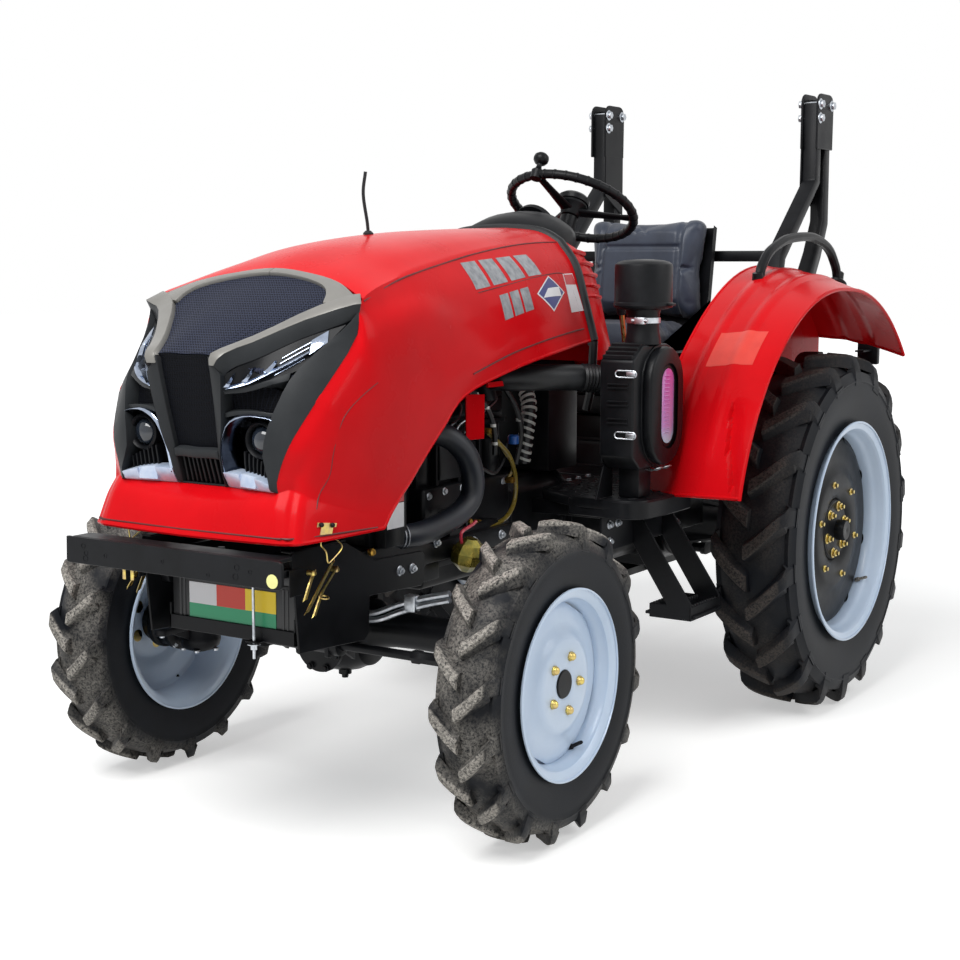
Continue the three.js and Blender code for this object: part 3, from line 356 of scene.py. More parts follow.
def bar_tyre(name, centre, radius, width, bead, lug_height, lugs, sweep, bar):
    """One tyre: a carcass turned round the axle, and the bar lugs copied round both of its sides."""
    half, wall, body = width / 2, radius - bead, radius - lug_height
    side = [(bead - 0.002, 0.70 * half), (bead - 0.003, 0.80 * half), (bead + 0.006, 0.845 * half),
            (bead + 0.014, 0.845 * half), (bead + 0.20 * wall, 0.90 * half),
            (bead + 0.38 * wall, 0.955 * half),
            (bead + 0.52 * wall, 0.975 * half), (bead + 0.60 * wall, 0.97 * half),
            (bead + 0.62 * wall, 0.995 * half), (bead + 0.645 * wall, 0.965 * half),
            (bead + 0.75 * wall, 0.90 * half), (body - 0.028 * (radius / 0.5), 0.80 * half),
            (body - 0.010, 0.62 * half), (body - 0.003, 0.35 * half), (body, 0.0)]
    profile = side + [(r, -x) for r, x in reversed(side[:-1])]
    carcass = turned(name, profile, centre, steps=72, closed=True)
    # One lug as rings across the bar: each ring is root, flank, top, top, flank, root.
    path = [(-0.03, 1.0, 0.0), (0.0, 1.0, 0.0), (0.16, 1.0, 0.14), (0.34, 0.999, 0.33), (0.52, 0.997, 0.53),
            (0.68, 0.992, 0.72), (0.80, 0.984, 0.86), (0.885, 0.966, 0.95), (0.935, 0.93, 1.0),
            (0.965, 0.885, 1.03), (0.985, 0.82, 1.05), (0.995, (bead + 0.66 * wall) / radius, 1.06)]
    rings = []
    for k, (across, height, share) in enumerate(path):
        x = across * half
        top = height * radius
        deep = lug_height + 0.006 if k < 7 else lug_height * 0.8 * (len(path) - k) / 5 + 0.004
        turn = sweep * share
        wide = bar * (1.0 if k < 8 else 1.0 + 0.10 * (k - 7))
        grow = 0.55 * lug_height
        ring = []
        for away, down in [(-0.5 * wide - grow, deep), (-0.5 * wide, 0.004), (-0.5 * wide + 0.004, 0.0),
                           (0.5 * wide - 0.004, 0.0), (0.5 * wide, 0.004), (0.5 * wide + grow, deep)]:
            lean = x - (down * 0.8 if k > 7 else 0.0)
            ring.append(about("X", centre, turn + away / top, top - down * (1 if k < 8 else 0.6), lean))
        rings.append(ring)
    lug = lofted(name + "_lug", rings)
    step = 2 * pi / lugs
    other = MIRROR.copy()
    other.translation = (2 * centre[0], 0, 0)
    moves = []
    for k in range(lugs):
        moves += [spun(-k * step, "X", centre), spun(-(k + 0.5) * step, "X", centre) @ other]
    parts = copied(lug, *moves)
    bpy.data.objects.remove(lug)
    return joined(name, [carcass, *parts])


FRONT_HUB, REAR_HUB = (0.575, -1.525, 0.369), (0.629, 0.0, 0.5265)  # the left wheels' middles
front_rubber = moulded_rubber("dusty vulcanised rubber", 0.369, AXLE_Y - 1.525, 0.369, "#A8A39B", 0.92)
rear_rubber = moulded_rubber("vulcanised rubber", 0.5265, AXLE_Y, 0.5265, "#5B544E", 0.6)
for end, centre, radius, width, bead, lug_height, lugs, sweep, bar, rubber in [
    ("front", FRONT_HUB, 0.369, 0.160, 0.204, 0.021, 16, 0.19, 0.031, front_rubber),
    ("rear", REAR_HUB, 0.5265, 0.239, 0.306, 0.028, 18, 0.20, 0.042, rear_rubber),
]:
    left = bar_tyre(f"{end}_tyre_left", centre, radius, width, bead, lug_height, lugs, sweep, bar)
    paired(f"{end}_tyre", left, f"wheel_{end}", rubber, "tyre", f"tyre_{end}")

# ------------------------------------------------------------------ rims
# Pressed steel rims, roll-formed and welded, sprayed pale blue-white; the rear discs are black.
# Each disc bolts to its hub: five acorn nuts in front, nuts with bare gold plating behind.


def finish(name, main, second, patch, roughness, grain=0.0, relief=0.0, spread=0.08, **surface):
    """A finish whose colour drifts between two hexes over patches of a size, above a fine grain in relief."""
    material, tree, place, shader = new_material(name, **surface)
    drift = add(tree, "TexNoise", [("Vector", place)], Scale=1 / patch, Detail=5.0, Roughness=0.6)
    share = add(tree, "MapRange", [("Value", drift.outputs["Fac"])], From_Min=0.35, From_Max=0.68)
    colour = add(tree, "Mix", [(0, share.outputs[0])], data_type="RGBA")
    colour.inputs[6].default_value, colour.inputs[7].default_value = linear(main), linear(second)
    tree.links.new(colour.outputs[2], shader.inputs["Base Color"])
    rough = add(tree, "MapRange", [("Value", drift.outputs["Fac"])], From_Min=0.3, From_Max=0.7,
                To_Min=roughness, To_Max=roughness + spread)
    tree.links.new(rough.outputs[0], shader.inputs["Roughness"])
    if grain:
        texture = add(tree, "TexNoise", [("Vector", place)], Scale=1 / grain, Detail=2.0)
        bump = add(tree, "Bump", [("Height", texture.outputs["Fac"])], Strength=0.6, Distance=relief)
        tree.links.new(bump.outputs[0], shader.inputs["Normal"])
    return material


# Sprayed alkyd enamel: pale blue-white with a soft gloss and faint orange peel.
rim_enamel = finish("pale blue-white enamel", "#C6D6E9", "#BACCE2", 0.20, 0.30, 0.006, 0.0002,
                    Coat_Weight=0.35, Coat_Roughness=0.12)
# Black chassis enamel: semi-gloss, a little grey where dust has settled.
black_enamel = finish("black chassis enamel", "#0C0D0F", "#17181B", 0.11, 0.30, 0.004, 0.0002, spread=0.2,
                      Specular_IOR_Level=0.12, Coat_Weight=0.04, Coat_Roughness=0.2)
# Yellow-passivated zinc: gold with pink and green bloom.
gold_zinc = finish("yellow-passivated zinc", "#D0BC66", "#B39A72", 0.012, 0.24, spread=0.2, Metallic=1.0)
# Bright zinc plate: pale grey metal, slightly dull.
zinc = finish("bright zinc plate", "#C9CDD2", "#9FA4AA", 0.02, 0.28, spread=0.2, Metallic=1.0)


def plate(name, outline, axis, low, high, edge=0.0, segments=2):
    """A flat outline of points drawn out along an axis from low to high, with its edges rounded."""
    piece = start(name, bpy.ops.mesh.primitive_circle_add, vertices=len(outline), fill_type="NGON")
    lay(piece, [{"X": (low, a, b), "Y": (a, low, b), "Z": (a, b, low)}[axis] for a, b in outline])
    move = {"X": (high - low, 0, 0), "Y": (0, high - low, 0), "Z": (0, 0, high - low)}[axis]
    in_edit(piece, (bpy.ops.mesh.extrude_region_move, {"TRANSFORM_OT_translate": {"value": move}}))
    in_edit(piece, OUTWARD)
    if edge:
        apply_modifier(piece, "BEVEL", width=edge, segments=segments, limit_method="ANGLE",
                       angle_limit=radians(40))
    return piece


def block(name, x, y, z, edge=0.003, segments=2):
    """A rectangular piece between two places on each axis, with its edges rounded."""
    return plate(name, [(x[0], y[0]), (x[1], y[0]), (x[1], y[1]), (x[0], y[1])], "Z", z[0], z[1], edge,
                 segments)


def arc(centre, radius, first, last, steps):
    """Points round part of a circle, from one angle to another in degrees."""
    return [(centre[0] + radius * cos(radians(first + (last - first) * k / steps)),
             centre[1] + radius * sin(radians(first + (last - first) * k / steps))) for k in range(steps + 1)]


def hexagon_bolt(name, size, dome=0.0, washer=0.0, reach=0.0):
    """A bolt head or nut along +Z, `size` across corners, with a washer below and a dome or stud on top."""
    head = start(name, bpy.ops.mesh.primitive_cylinder_add, vertices=6, radius=size / 2, depth=size * 0.36,
                 location=(0, 0, washer + size * 0.18))
    bpy.ops.object.transform_apply()
    apply_modifier(head, "BEVEL", width=size * 0.04, segments=1)
    parts = [head]
    if washer:
        parts.append(turned(name, [(0, 0), (size * 0.68, 0), (size * 0.68, washer * 0.7),
                                   (size * 0.62, washer), (0, washer)], (0, 0, 0), "Z", 20))
    if dome:
        top = washer + size * 0.36
        parts.append(turned(name, [(0, top - 0.001)] + [(size * 0.42 * cos(a), top + dome * sin(a))
                                                        for a in (0, 0.4, 0.8, 1.2, pi / 2)],
                            (0, 0, 0), "Z", 14))
    if reach:
        end = washer + size * 0.36 + reach
        parts.append(turned(name, [(0, 0), (size * 0.25, 0), (size * 0.25, end), (0, end)], (0, 0, 0), "Z",
                            10))
    return joined(name, parts)


FACING = {"+X": Matrix.Rotation(pi / 2, 4, "Y"), "-X": Matrix.Rotation(-pi / 2, 4, "Y"),
          "+Y": Matrix.Rotation(-pi / 2, 4, "X"), "-Y": Matrix.Rotation(pi / 2, 4, "X"),
          "+Z": Matrix.Identity(4), "-Z": Matrix.Rotation(pi, 4, "X")}


def fasteners(name, template, places):
    """A bolt or nut copied to each (point, facing) and joined into one piece."""
    parts = copied(template, *(Matrix.Translation(at) @ FACING[facing] for at, facing in places))
    return joined(name, parts)


def round_hub(centre, radius, count, along, first=90):
    """Places evenly round an axle, `along` it from the centre."""
    return [about("X", centre, radians(first + 360 * k / count), radius, along) for k in range(count)]


front_barrel = turned("rim", [
    (0.217, 0.0825), (0.2215, 0.081), (0.2215, 0.077), (0.214, 0.0735), (0.206, 0.071), (0.2000, 0.066),
    (0.1985, 0.056), (0.193, 0.048), (0.189, 0.040), (0.1885, 0.020), (0.1885, -0.030), (0.196, -0.050),
    (0.2000, -0.066), (0.206, -0.071), (0.214, -0.0735), (0.2215, -0.077), (0.2215, -0.081), (0.217, -0.0825),
], FRONT_HUB, steps=80, wall=0.0035)
front_disc = turned("disc", [
    (0.1875, 0.012), (0.1865, 0.024), (0.180, 0.031), (0.166, 0.036), (0.142, 0.0385), (0.126, 0.042),
    (0.114, 0.049), (0.106, 0.0545), (0.099, 0.0565), (0.088, 0.0560), (0.060, 0.0545), (0.040, 0.0545),
    (0.0355, 0.0530), (0.0340, 0.049),
], FRONT_HUB, steps=80, wall=0.006)
for turn in (28, 118, 208, 298):
    away = about("X", (0, 0, 0), radians(turn), 1.0, 0)
    in_edit(front_disc, (bpy.ops.mesh.bisect, {
        "plane_co": Vector(FRONT_HUB) + away * 0.1775, "plane_no": away, "clear_outer": True,
        "use_fill": True}),
        of="VERT")
rear_barrel = turned("rim", [
    (0.320, 0.1235), (0.3255, 0.122), (0.3255, 0.118), (0.317, 0.114), (0.306, 0.110), (0.3015, 0.103),
    (0.3000, 0.088), (0.292, 0.078), (0.2865, 0.068), (0.2855, 0.030), (0.2855, -0.050), (0.296, -0.080),
    (0.3015, -0.100), (0.306, -0.110), (0.317, -0.114), (0.3255, -0.118), (0.3255, -0.122), (0.320, -0.1235),
], REAR_HUB, steps=96, wall=0.004)
rear_disc = turned("disc", [
    (0.2845, 0.018), (0.2835, 0.034), (0.275, 0.044), (0.255, 0.050), (0.205, 0.053), (0.178, 0.056),
    (0.168, 0.062), (0.156, 0.064), (0.120, 0.064), (0.108, 0.060), (0.100, 0.056), (0.097, 0.050),
], REAR_HUB, steps=96, wall=0.008)
hub_plate = turned("hub", [
    (0.0, 0.098), (0.026, 0.098), (0.030, 0.094), (0.031, 0.072), (0.050, 0.066), (0.086, 0.064),
    (0.090, 0.060),
    (0.090, 0.044), (0.0, 0.040)], REAR_HUB, steps=48)
valve = turned("valve", [(0, 0.0), (0.006, 0.0), (0.007, 0.012), (0.0045, 0.016), (0.0045, 0.036),
                         (0.003, 0.040),
                         (0, 0.040)], (0, 0, 0), "Z", 14)
acorn = hexagon_bolt("acorn", 0.024, dome=0.009, washer=0.003)
wheel_nut = hexagon_bolt("nut", 0.023, washer=0.004, reach=0.008)
front_nuts = fasteners("front_wheel_nuts_left", acorn,
                       [(at, "+X") for at in round_hub(FRONT_HUB, 0.065, 5, 0.0545, 112)])
rear_nuts = fasteners("rear_wheel_nuts_left", wheel_nut,
                      [(at, "+X") for at in round_hub(REAR_HUB, 0.143, 6, 0.063, 14)]
                      + [(at, "+X") for at in round_hub(REAR_HUB, 0.070, 6, 0.064, 44)])
lugs = []
for at in round_hub(REAR_HUB, 0.262, 8, 0.030, 14):
    away = (at - Vector(REAR_HUB)).normalized()
    lugs.append(turned("lug", [(0, 0.0), (0.021, 0.0), (0.021, 0.022), (0.016, 0.026), (0.016, 0.014),
                               (0, 0.014)],
                       at, steps=20))
front_valve = copied(valve, Matrix.Translation(about("X", FRONT_HUB, radians(248), 0.184, 0.030))
                     @ Matrix.Rotation(radians(62), 4, "Y") @ Matrix.Rotation(radians(-18), 4, "X"))[0]
rear_valve = copied(valve, Matrix.Translation(about("X", REAR_HUB, radians(222), 0.279, 0.056))
                    @ Matrix.Rotation(radians(70), 4, "Y"))[0]
for spare in (valve, acorn, wheel_nut):
    bpy.data.objects.remove(spare)
for end, parts in (
    ("front", [("rim", joined("front_rim_left", [front_barrel, front_disc]), rim_enamel, "rim_paint"),
               ("nuts", front_nuts, gold_zinc, "rim_paint"), ("valve", front_valve, front_rubber, "tyre")]),
    ("rear", [("rim", rear_barrel, rim_enamel, "rim_paint"), ("disc", joined("disc", [rear_disc, *lugs]),
                                                              black_enamel, "black_paint"),
              ("hub", hub_plate, black_enamel, "black_paint"), ("nuts", rear_nuts, gold_zinc, "rim_paint"),
              ("valve", rear_valve, front_rubber, "tyre")]),
):
    for part, left, material, slot in parts:
        paired(f"{end}_wheel_{part}", left, f"wheel_{end}", material, slot,
               f"rim_{end}" if part == "rim" else None)

# ------------------------------------------------------------------ hood
# One-piece pressed steel hood, hinged at its rear edge, sprayed glossy red enamel.
# A crease runs along each shoulder, and the flanks swell out over the front wheels.

# From the middle out: each rail runs from the back to the chin, as (share of length, x, height) in mm.
HOOD_RAILS = [
    [(0, 0, 1410), (0.16, 0, 1404), (0.362, 0, 1392), (0.549, 0, 1370), (0.658, 0, 1345), (0.751, 0, 1302),
     (0.883, 0, 1214), (1, 0, 1122), (0.984, 0, 1020), (0.966, 0, 912), (0.947, 0, 832), (0.984, 0, 800),
     (1.008, 0, 733)],
    [(0, 100, 1404), (0.16, 100, 1399), (0.362, 102, 1387), (0.549, 104, 1363), (0.658, 104, 1336),
     (0.758, 104, 1292), (0.883, 92, 1206), (0.998, 79, 1120), (0.982, 72, 1020), (0.964, 62, 912),
     (0.947, 62, 832), (0.984, 64, 800), (1.006, 70, 733)],
    [(0, 150, 1392), (0.16, 155, 1386), (0.362, 168, 1372), (0.549, 185, 1345), (0.658, 190, 1318),
     (0.775, 205, 1272), (0.87, 190, 1190), (0.955, 180, 1075), (0.965, 165, 985), (0.965, 150, 895),
     (0.957, 145, 832), (0.982, 150, 800), (1.002, 156, 733)],
    [(0, 190, 1370), (0.16, 200, 1366), (0.362, 225, 1345), (0.549, 252, 1312), (0.658, 270, 1287),
     (0.805, 300, 1238), (0.83, 302, 1155), (0.918, 286, 1030), (0.961, 254, 936), (0.969, 228, 862),
     (0.965, 226, 832), (0.98, 236, 800), (0.996, 246, 733)],
    [(0, 235, 1310), (0.16, 250, 1305), (0.362, 275, 1270), (0.549, 300, 1235), (0.658, 312, 1205),
     (0.795, 322, 1150), (0.835, 319, 1085), (0.9, 308, 1000), (0.938, 284, 925), (0.952, 258, 868),
     (0.951, 252, 838), (0.968, 260, 800), (0.987, 270, 733)],
    [(0, 262, 1225), (0.16, 285, 1215), (0.362, 305, 1180), (0.549, 318, 1130), (0.658, 325, 1090),
     (0.76, 330, 1030), (0.82, 327, 960), (0.87, 316, 905), (0.9, 302, 866), (0.915, 292, 838),
     (0.922, 290, 815), (0.938, 294, 785), (0.955, 300, 733)],
    [(0, 295, 1110), (0.16, 312, 1090), (0.362, 325, 1055), (0.525, 330, 1010), (0.6, 332, 940),
     (0.665, 332, 870), (0.7, 332, 830), (0.73, 332, 800), (0.748, 332, 780), (0.76, 332, 766),
     (0.768, 332, 755), (0.774, 332, 745), (0.78, 332, 737)],
]
FINE = 8  # steps between two rails or two stations


def bent(points, creases):
    """A smooth line that may turn sharply at the points whose numbers are given."""
    cuts, line = [0, *creases, len(points) - 1], []
    for a, b in zip(cuts, cuts[1:]):
        line += smooth(points[a:b + 1], FINE)[:-1]
    return [*line, Vector(points[-1])]


half_rails = [[(x / 1000, -0.795 - share * 1.285, z / 1000) for share, x, z in rail] for rail in HOOD_RAILS]
all_rails = [[(-x, y, z) for x, y, z in rail] for rail in half_rails[:0:-1]] + half_rails
along_rails = [bent(rail, (7, 10)) for rail in all_rails]
skin_grid = [bent([rail[k] for rail in along_rails], (3, 9)) for k in range(12 * FINE + 1)]

# The ridge of each flank's swelling, as (station, rail) down the side.
FLANK_RIDGE = [(5.4, 3.75), (4.97, 3.96), (4.59, 4.04), (4.2, 4.13), (3.88, 4.24), (3.55, 4.42), (3.3, 4.68),
               (3.05, 4.94), (2.68, 5.53), (2.41, 5.94)]


def nearest(line, station, rail):
    """How far (station, rail) is from a line, in cells, and which side: below or ahead of it is positive."""
    best = (9.0, 0.0)
    for (a, b), (c, d) in zip(line, line[1:]):
        run = Vector((c - a, d - b))
        t = max(0.0, min(1.0, Vector((station - a, rail - b)).dot(run) / run.length_squared))
        off = Vector((station - a - t * run.x, rail - b - t * run.y))
        best = min(best, (off.length, off.x * -run.y + off.y * run.x), key=lambda found: found[0])
    return best[0] if best[1] < 0 else -best[0]


def hump(t):
    """A rounded bump: 1 at 0, and 0 at 1 and beyond."""
    return max(0.0, 1 - t * t) ** 2


def swelling(station, rail):
    """How far the pressed flank stands out, in metres."""
    rail = abs(rail)
    if rail < 3 or station > 11:
        return 0.0
    side = nearest(FLANK_RIDGE, station, rail)
    fade = min(1.0, max(0.0, (5.6 - station) / 1.2)) * min(1.0, (6.15 - rail) / 0.5)
    return 0.012 * fade * hump(-side / 0.7 if side < 0 else side / 2.4)


def skin(station, rail, out=0.0, bare=False):
    """A point `out` metres off the hood or nose; rail is 0 in the middle and positive to the left."""
    u, v = station * FINE, (rail + 6) * FINE
    i, j = min(int(u), 12 * FINE - 1), min(int(v), 12 * FINE - 1)
    a, b, c, d = skin_grid[i][j], skin_grid[i + 1][j], skin_grid[i][j + 1], skin_grid[i + 1][j + 1]
    s, t = u - i, v - j
    place = a * (1 - s) * (1 - t) + b * s * (1 - t) + c * (1 - s) * t + d * s * t
    i0, i1 = max(i - 1, 0), min(i + 2, 12 * FINE)
    j0, j1 = max(j - 1, 0), min(j + 2, 12 * FINE)
    normal = (skin_grid[i1][j] - skin_grid[i0][j]).cross(skin_grid[i][j1] - skin_grid[i][j0]).normalized()
    return place + normal * (out + (0.0 if bare else swelling(station, rail)))


def pressing(name, stations, rails, out=0.0, wall=0.0):
    """A sheet over a patch of the hood's surface, between two stations and two rails."""
    rows = [[skin(stations[0] + i / FINE, rails[0] + j / FINE, out)
             for j in range(round((rails[1] - rails[0]) * FINE) + 1)]
            for i in range(round((stations[1] - stations[0]) * FINE) + 1)]
    return lofted(name, rows, closed=False, wall=wall)


# Red alkyd enamel: high gloss with a faint orange peel, a little deeper where it has run thick.
red_enamel = finish("glossy red enamel", "#CA0B14", "#BC0A12", 0.25, 0.24, 0.007, 0.00025, spread=0.05,
                    Specular_IOR_Level=0.05, Coat_Weight=0.06, Coat_Roughness=0.05)

hood = joined("hood_skin", [
    pressing("hood", (0, 5), (-6, 6)), pressing("hood", (10, 12), (-6, 6)),
    pressing("hood", (5, 10), (-6, -3)), pressing("hood", (5, 10), (3, 6))])
in_edit(hood, WELD, OUTWARD)
apply_modifier(hood, "SOLIDIFY", thickness=0.004, offset=-1)
fitted(hood, "hood", red_enamel, "red_paint", "hood", smooth_to=40)


def pipe(name, points, radius, sides=12, rings=6):
    """A round bar, pipe or hose along a smooth line through the points, with closed ends."""
    line = smooth(points, rings)
    piece = start(name, bpy.ops.curve.primitive_bezier_curve_add)
    curve = piece.data
    curve.splines.clear()
    spline = curve.splines.new("POLY")
    spline.points.add(len(line) - 1)
    for point, place in zip(spline.points, line):
        point.co = (*place, 1)
    curve.dimensions = "3D"
    curve.bevel_depth, curve.bevel_resolution, curve.use_fill_caps = radius, max(0, sides // 4 - 1), True
    bpy.ops.object.convert(target="MESH")
    return in_edit(bpy.context.object, WELD, OUTWARD)


edges = [pipe("rolled_edge", [skin(k / 4, rail, -0.004) for k in range(0, 49)], 0.0055, rings=1)
         for rail in (-6, 6)]
edges.append(pipe("rear_edge", [skin(0, k / 4, -0.004) for k in range(-24, 25)], 0.005, rings=1))
edges.append(pipe("chin_edge", [skin(12, k / 4, -0.004) for k in range(-24, 25)], 0.0055, rings=1))
fitted(joined("hood_rolled_edges", edges), "hood", red_enamel, "red_paint")

# The shoulder seam is a narrow joggle where the top panel laps the flanks; the other lines lie below it.
# Each line is a thin dark red tube sunk into the paint: painted shade in the seams and creases.
painted_seam_shade = finish("shadowed red seam", "#5A0509", "#3C0407", 0.05, 0.5)
seams = []
for side in (-1, 1):
    seams.append(pipe("seam", [skin(s, side * r, -0.0006) for s, r in
                               [(5.0, 3.06), (4.2, 3.07), (3.38, 3.1), (2.6, 3.1), (2.1, 3.09), (1.5, 3.07),
                                (0.97, 3.05), (0.5, 3.02), (0.05, 3.0)]], 0.0022, sides=8))
    seams.append(pipe("crease", [skin(s, side * r, -0.0008) for s, r in
                                 [(10.6, 5.02), (9.4, 5.0), (8.0, 4.98), (7.3, 4.72), (6.81, 4.45),
                                  (6.43, 4.4),
                                  (5.8, 4.52), (5.26, 4.66)]], 0.0015, sides=8))
    seams.append(pipe("lap", [skin(s, side * r, -0.0008) for s, r in
                              [(11.86, 0.0), (11.86, 1.5), (11.87, 3.0), (11.87, 3.6), (11.86, 4.4),
                               (11.82, 5.2), (11.75, 5.9)]], 0.0024, sides=8))
    seams.append(pipe("bevel", [skin(s, side * r, -0.0008) for s, r in
                                [(2.35, 4.16), (1.82, 4.22), (0.92, 4.29), (0.35, 4.33), (0.2, 4.9),
                                 (0.16, 5.4)]],
                      0.0016, sides=8))
    seams.append(pipe("lip", [skin(s, side * 5.72, 0.0002) for s in (0.15, 0.6, 1.2, 1.8, 2.3, 2.8)], 0.0022,
                      sides=8))
fitted(joined("hood_painted_seam_shade", seams), "hood", painted_seam_shade, "red_paint")

# ------------------------------------------------------------------ nose
# Moulded ABS panels: charcoal flanks, a silver-grey brow and frame, and a black mesh grille behind them.
# Each side holds a chrome upper lamp with bright slats and, below it, a projector in a smoked bezel.

# Grained charcoal ABS: satin, with a fine spark texture.
charcoal_abs = finish("grained charcoal ABS", "#242628", "#2B2D2F", 0.10, 0.42, 0.0018, 0.0003,
                      Specular_IOR_Level=0.15)
# Silver-grey lacquered ABS: soft metallic sheen.
silver_abs = finish("silver-grey lacquered ABS", "#7C7A75", "#716F6B", 0.12, 0.38, 0.002, 0.0001,
                    Metallic=0.35, Coat_Weight=0.3, Coat_Roughness=0.2)
# Chromed ABS: bright mirror with slight unevenness.
chrome = finish("chromed ABS", "#AEB9CC", "#8E98AA", 0.03, 0.06, 0.02, 0.0004, spread=0.1, Metallic=1.0)
# Smoked chrome: the same plating over a dark base, nearly black in the shade.
smoked_chrome = finish("smoked chromed ABS", "#2A303C", "#171B24", 0.03, 0.08, 0.02, 0.0004, spread=0.1,
                       Metallic=1.0)
black_abs = finish("black moulded ABS", "#0B0C0E", "#131417", 0.06, 0.34, 0.002, 0.0002,
                   Specular_IOR_Level=0.15)

mesh_cloth, tree, place, shader = new_material("black grille mesh", Roughness=0.55, Specular_IOR_Level=0.06)
# Expanded mesh with 5 mm openings: strands painted pale blue-grey, their own tone and a painted glint where
# they catch the light, near black between them.
hole_map = add(tree, "Mapping", [("Vector", place)])
hole_map.inputs["Rotation"].default_value = (0, 0, radians(45))
strands = add(tree, "TexVoronoi", [("Vector", hole_map.outputs[0])], Scale=1 / 0.005, Randomness=0.0,
              feature="F1", distance="CHEBYCHEV")
edge = add(tree, "MapRange", [("Value", strands.outputs["Distance"])], From_Min=0.30, From_Max=0.42)
colour = add(tree, "Mix", [(0, edge.outputs[0])], data_type="RGBA")
colour.inputs[6].default_value, colour.inputs[7].default_value = linear("#050506"), linear("#343848")
tree.links.new(colour.outputs[2], shader.inputs["Base Color"])
raised = add(tree, "Bump", [("Height", edge.outputs[0])], Strength=0.9, Distance=0.0012)
tree.links.new(raised.outputs[0], shader.inputs["Normal"])


def on_nose(points, out=0.0, side=1):
    """(station, rail) points as places on the nose's bare surface, or `out` metres off it."""
    return [skin(s, side * r, out, bare=True) for s, r in points]


def ribbon(name, upper, lower, outer, inner, side=1, edge=0.0, steps=4):
    """A moulding between two lines of (station, rail) points, from `inner` to `outer` off the surface.

    A pair for `outer` is its height along the upper line and along the lower one."""
    upper = smooth([(s, r, 0) for s, r in upper], steps)
    lower = smooth([(s, r, 0) for s, r in lower], steps)
    rings = []
    high, low = outer if isinstance(outer, tuple) else (outer, outer)
    for a, b in zip(upper, lower):
        (p,), (q,) = on_nose([a[:2]], high, side), on_nose([b[:2]], low, side)
        m, n = on_nose([a[:2], b[:2]], inner, side)
        rings.append([p, q, n, m])
    piece = lofted(name, rings)
    if edge:
        apply_modifier(piece, "BEVEL", width=edge, segments=2, limit_method="ANGLE", angle_limit=radians(40))
    return piece


# Black backing behind every opening, then the mesh: the top facet and the V below the fold.
backing = pressing("nose_backing", (5, 10), (-3, 3), out=-0.045, wall=0.002)
fitted(backing, "hood", black_abs, "dark_plastic", "nose_panel")
fitted(pressing("grille_mesh", (5.08, 7), (-2.75, 2.75), out=-0.006, wall=0.002), "hood", mesh_cloth,
       "grille_mesh",
       "grille")
# The V and the lamp pockets get a copy of the mesh with darker strands: painted shade, since the light falls
# on the top facet.
mesh_in_painted_shade = mesh_cloth.copy()
mesh_in_painted_shade.name = "black grille mesh, darkened as painted shade"
mesh_in_painted_shade.node_tree.nodes[colour.name].inputs[7].default_value = linear("#101218")
fitted(pressing("grille_mesh_v", (7, 9), (-1.0, 1.0), out=-0.010, wall=0.002), "hood", mesh_in_painted_shade,
       "grille_mesh")
slats = []
for k in range(9):
    rail = -0.88 + k * 0.22
    slats.append(ribbon("slat", [(9.2, rail), (9.6, rail), (9.98, rail)],
                        [(9.2, rail + 0.10), (9.6, rail + 0.10), (9.98, rail + 0.10)], -0.004, -0.030,
                        edge=0.002))
fitted(joined("grille_slats", slats), "hood", black_abs, "dark_plastic")

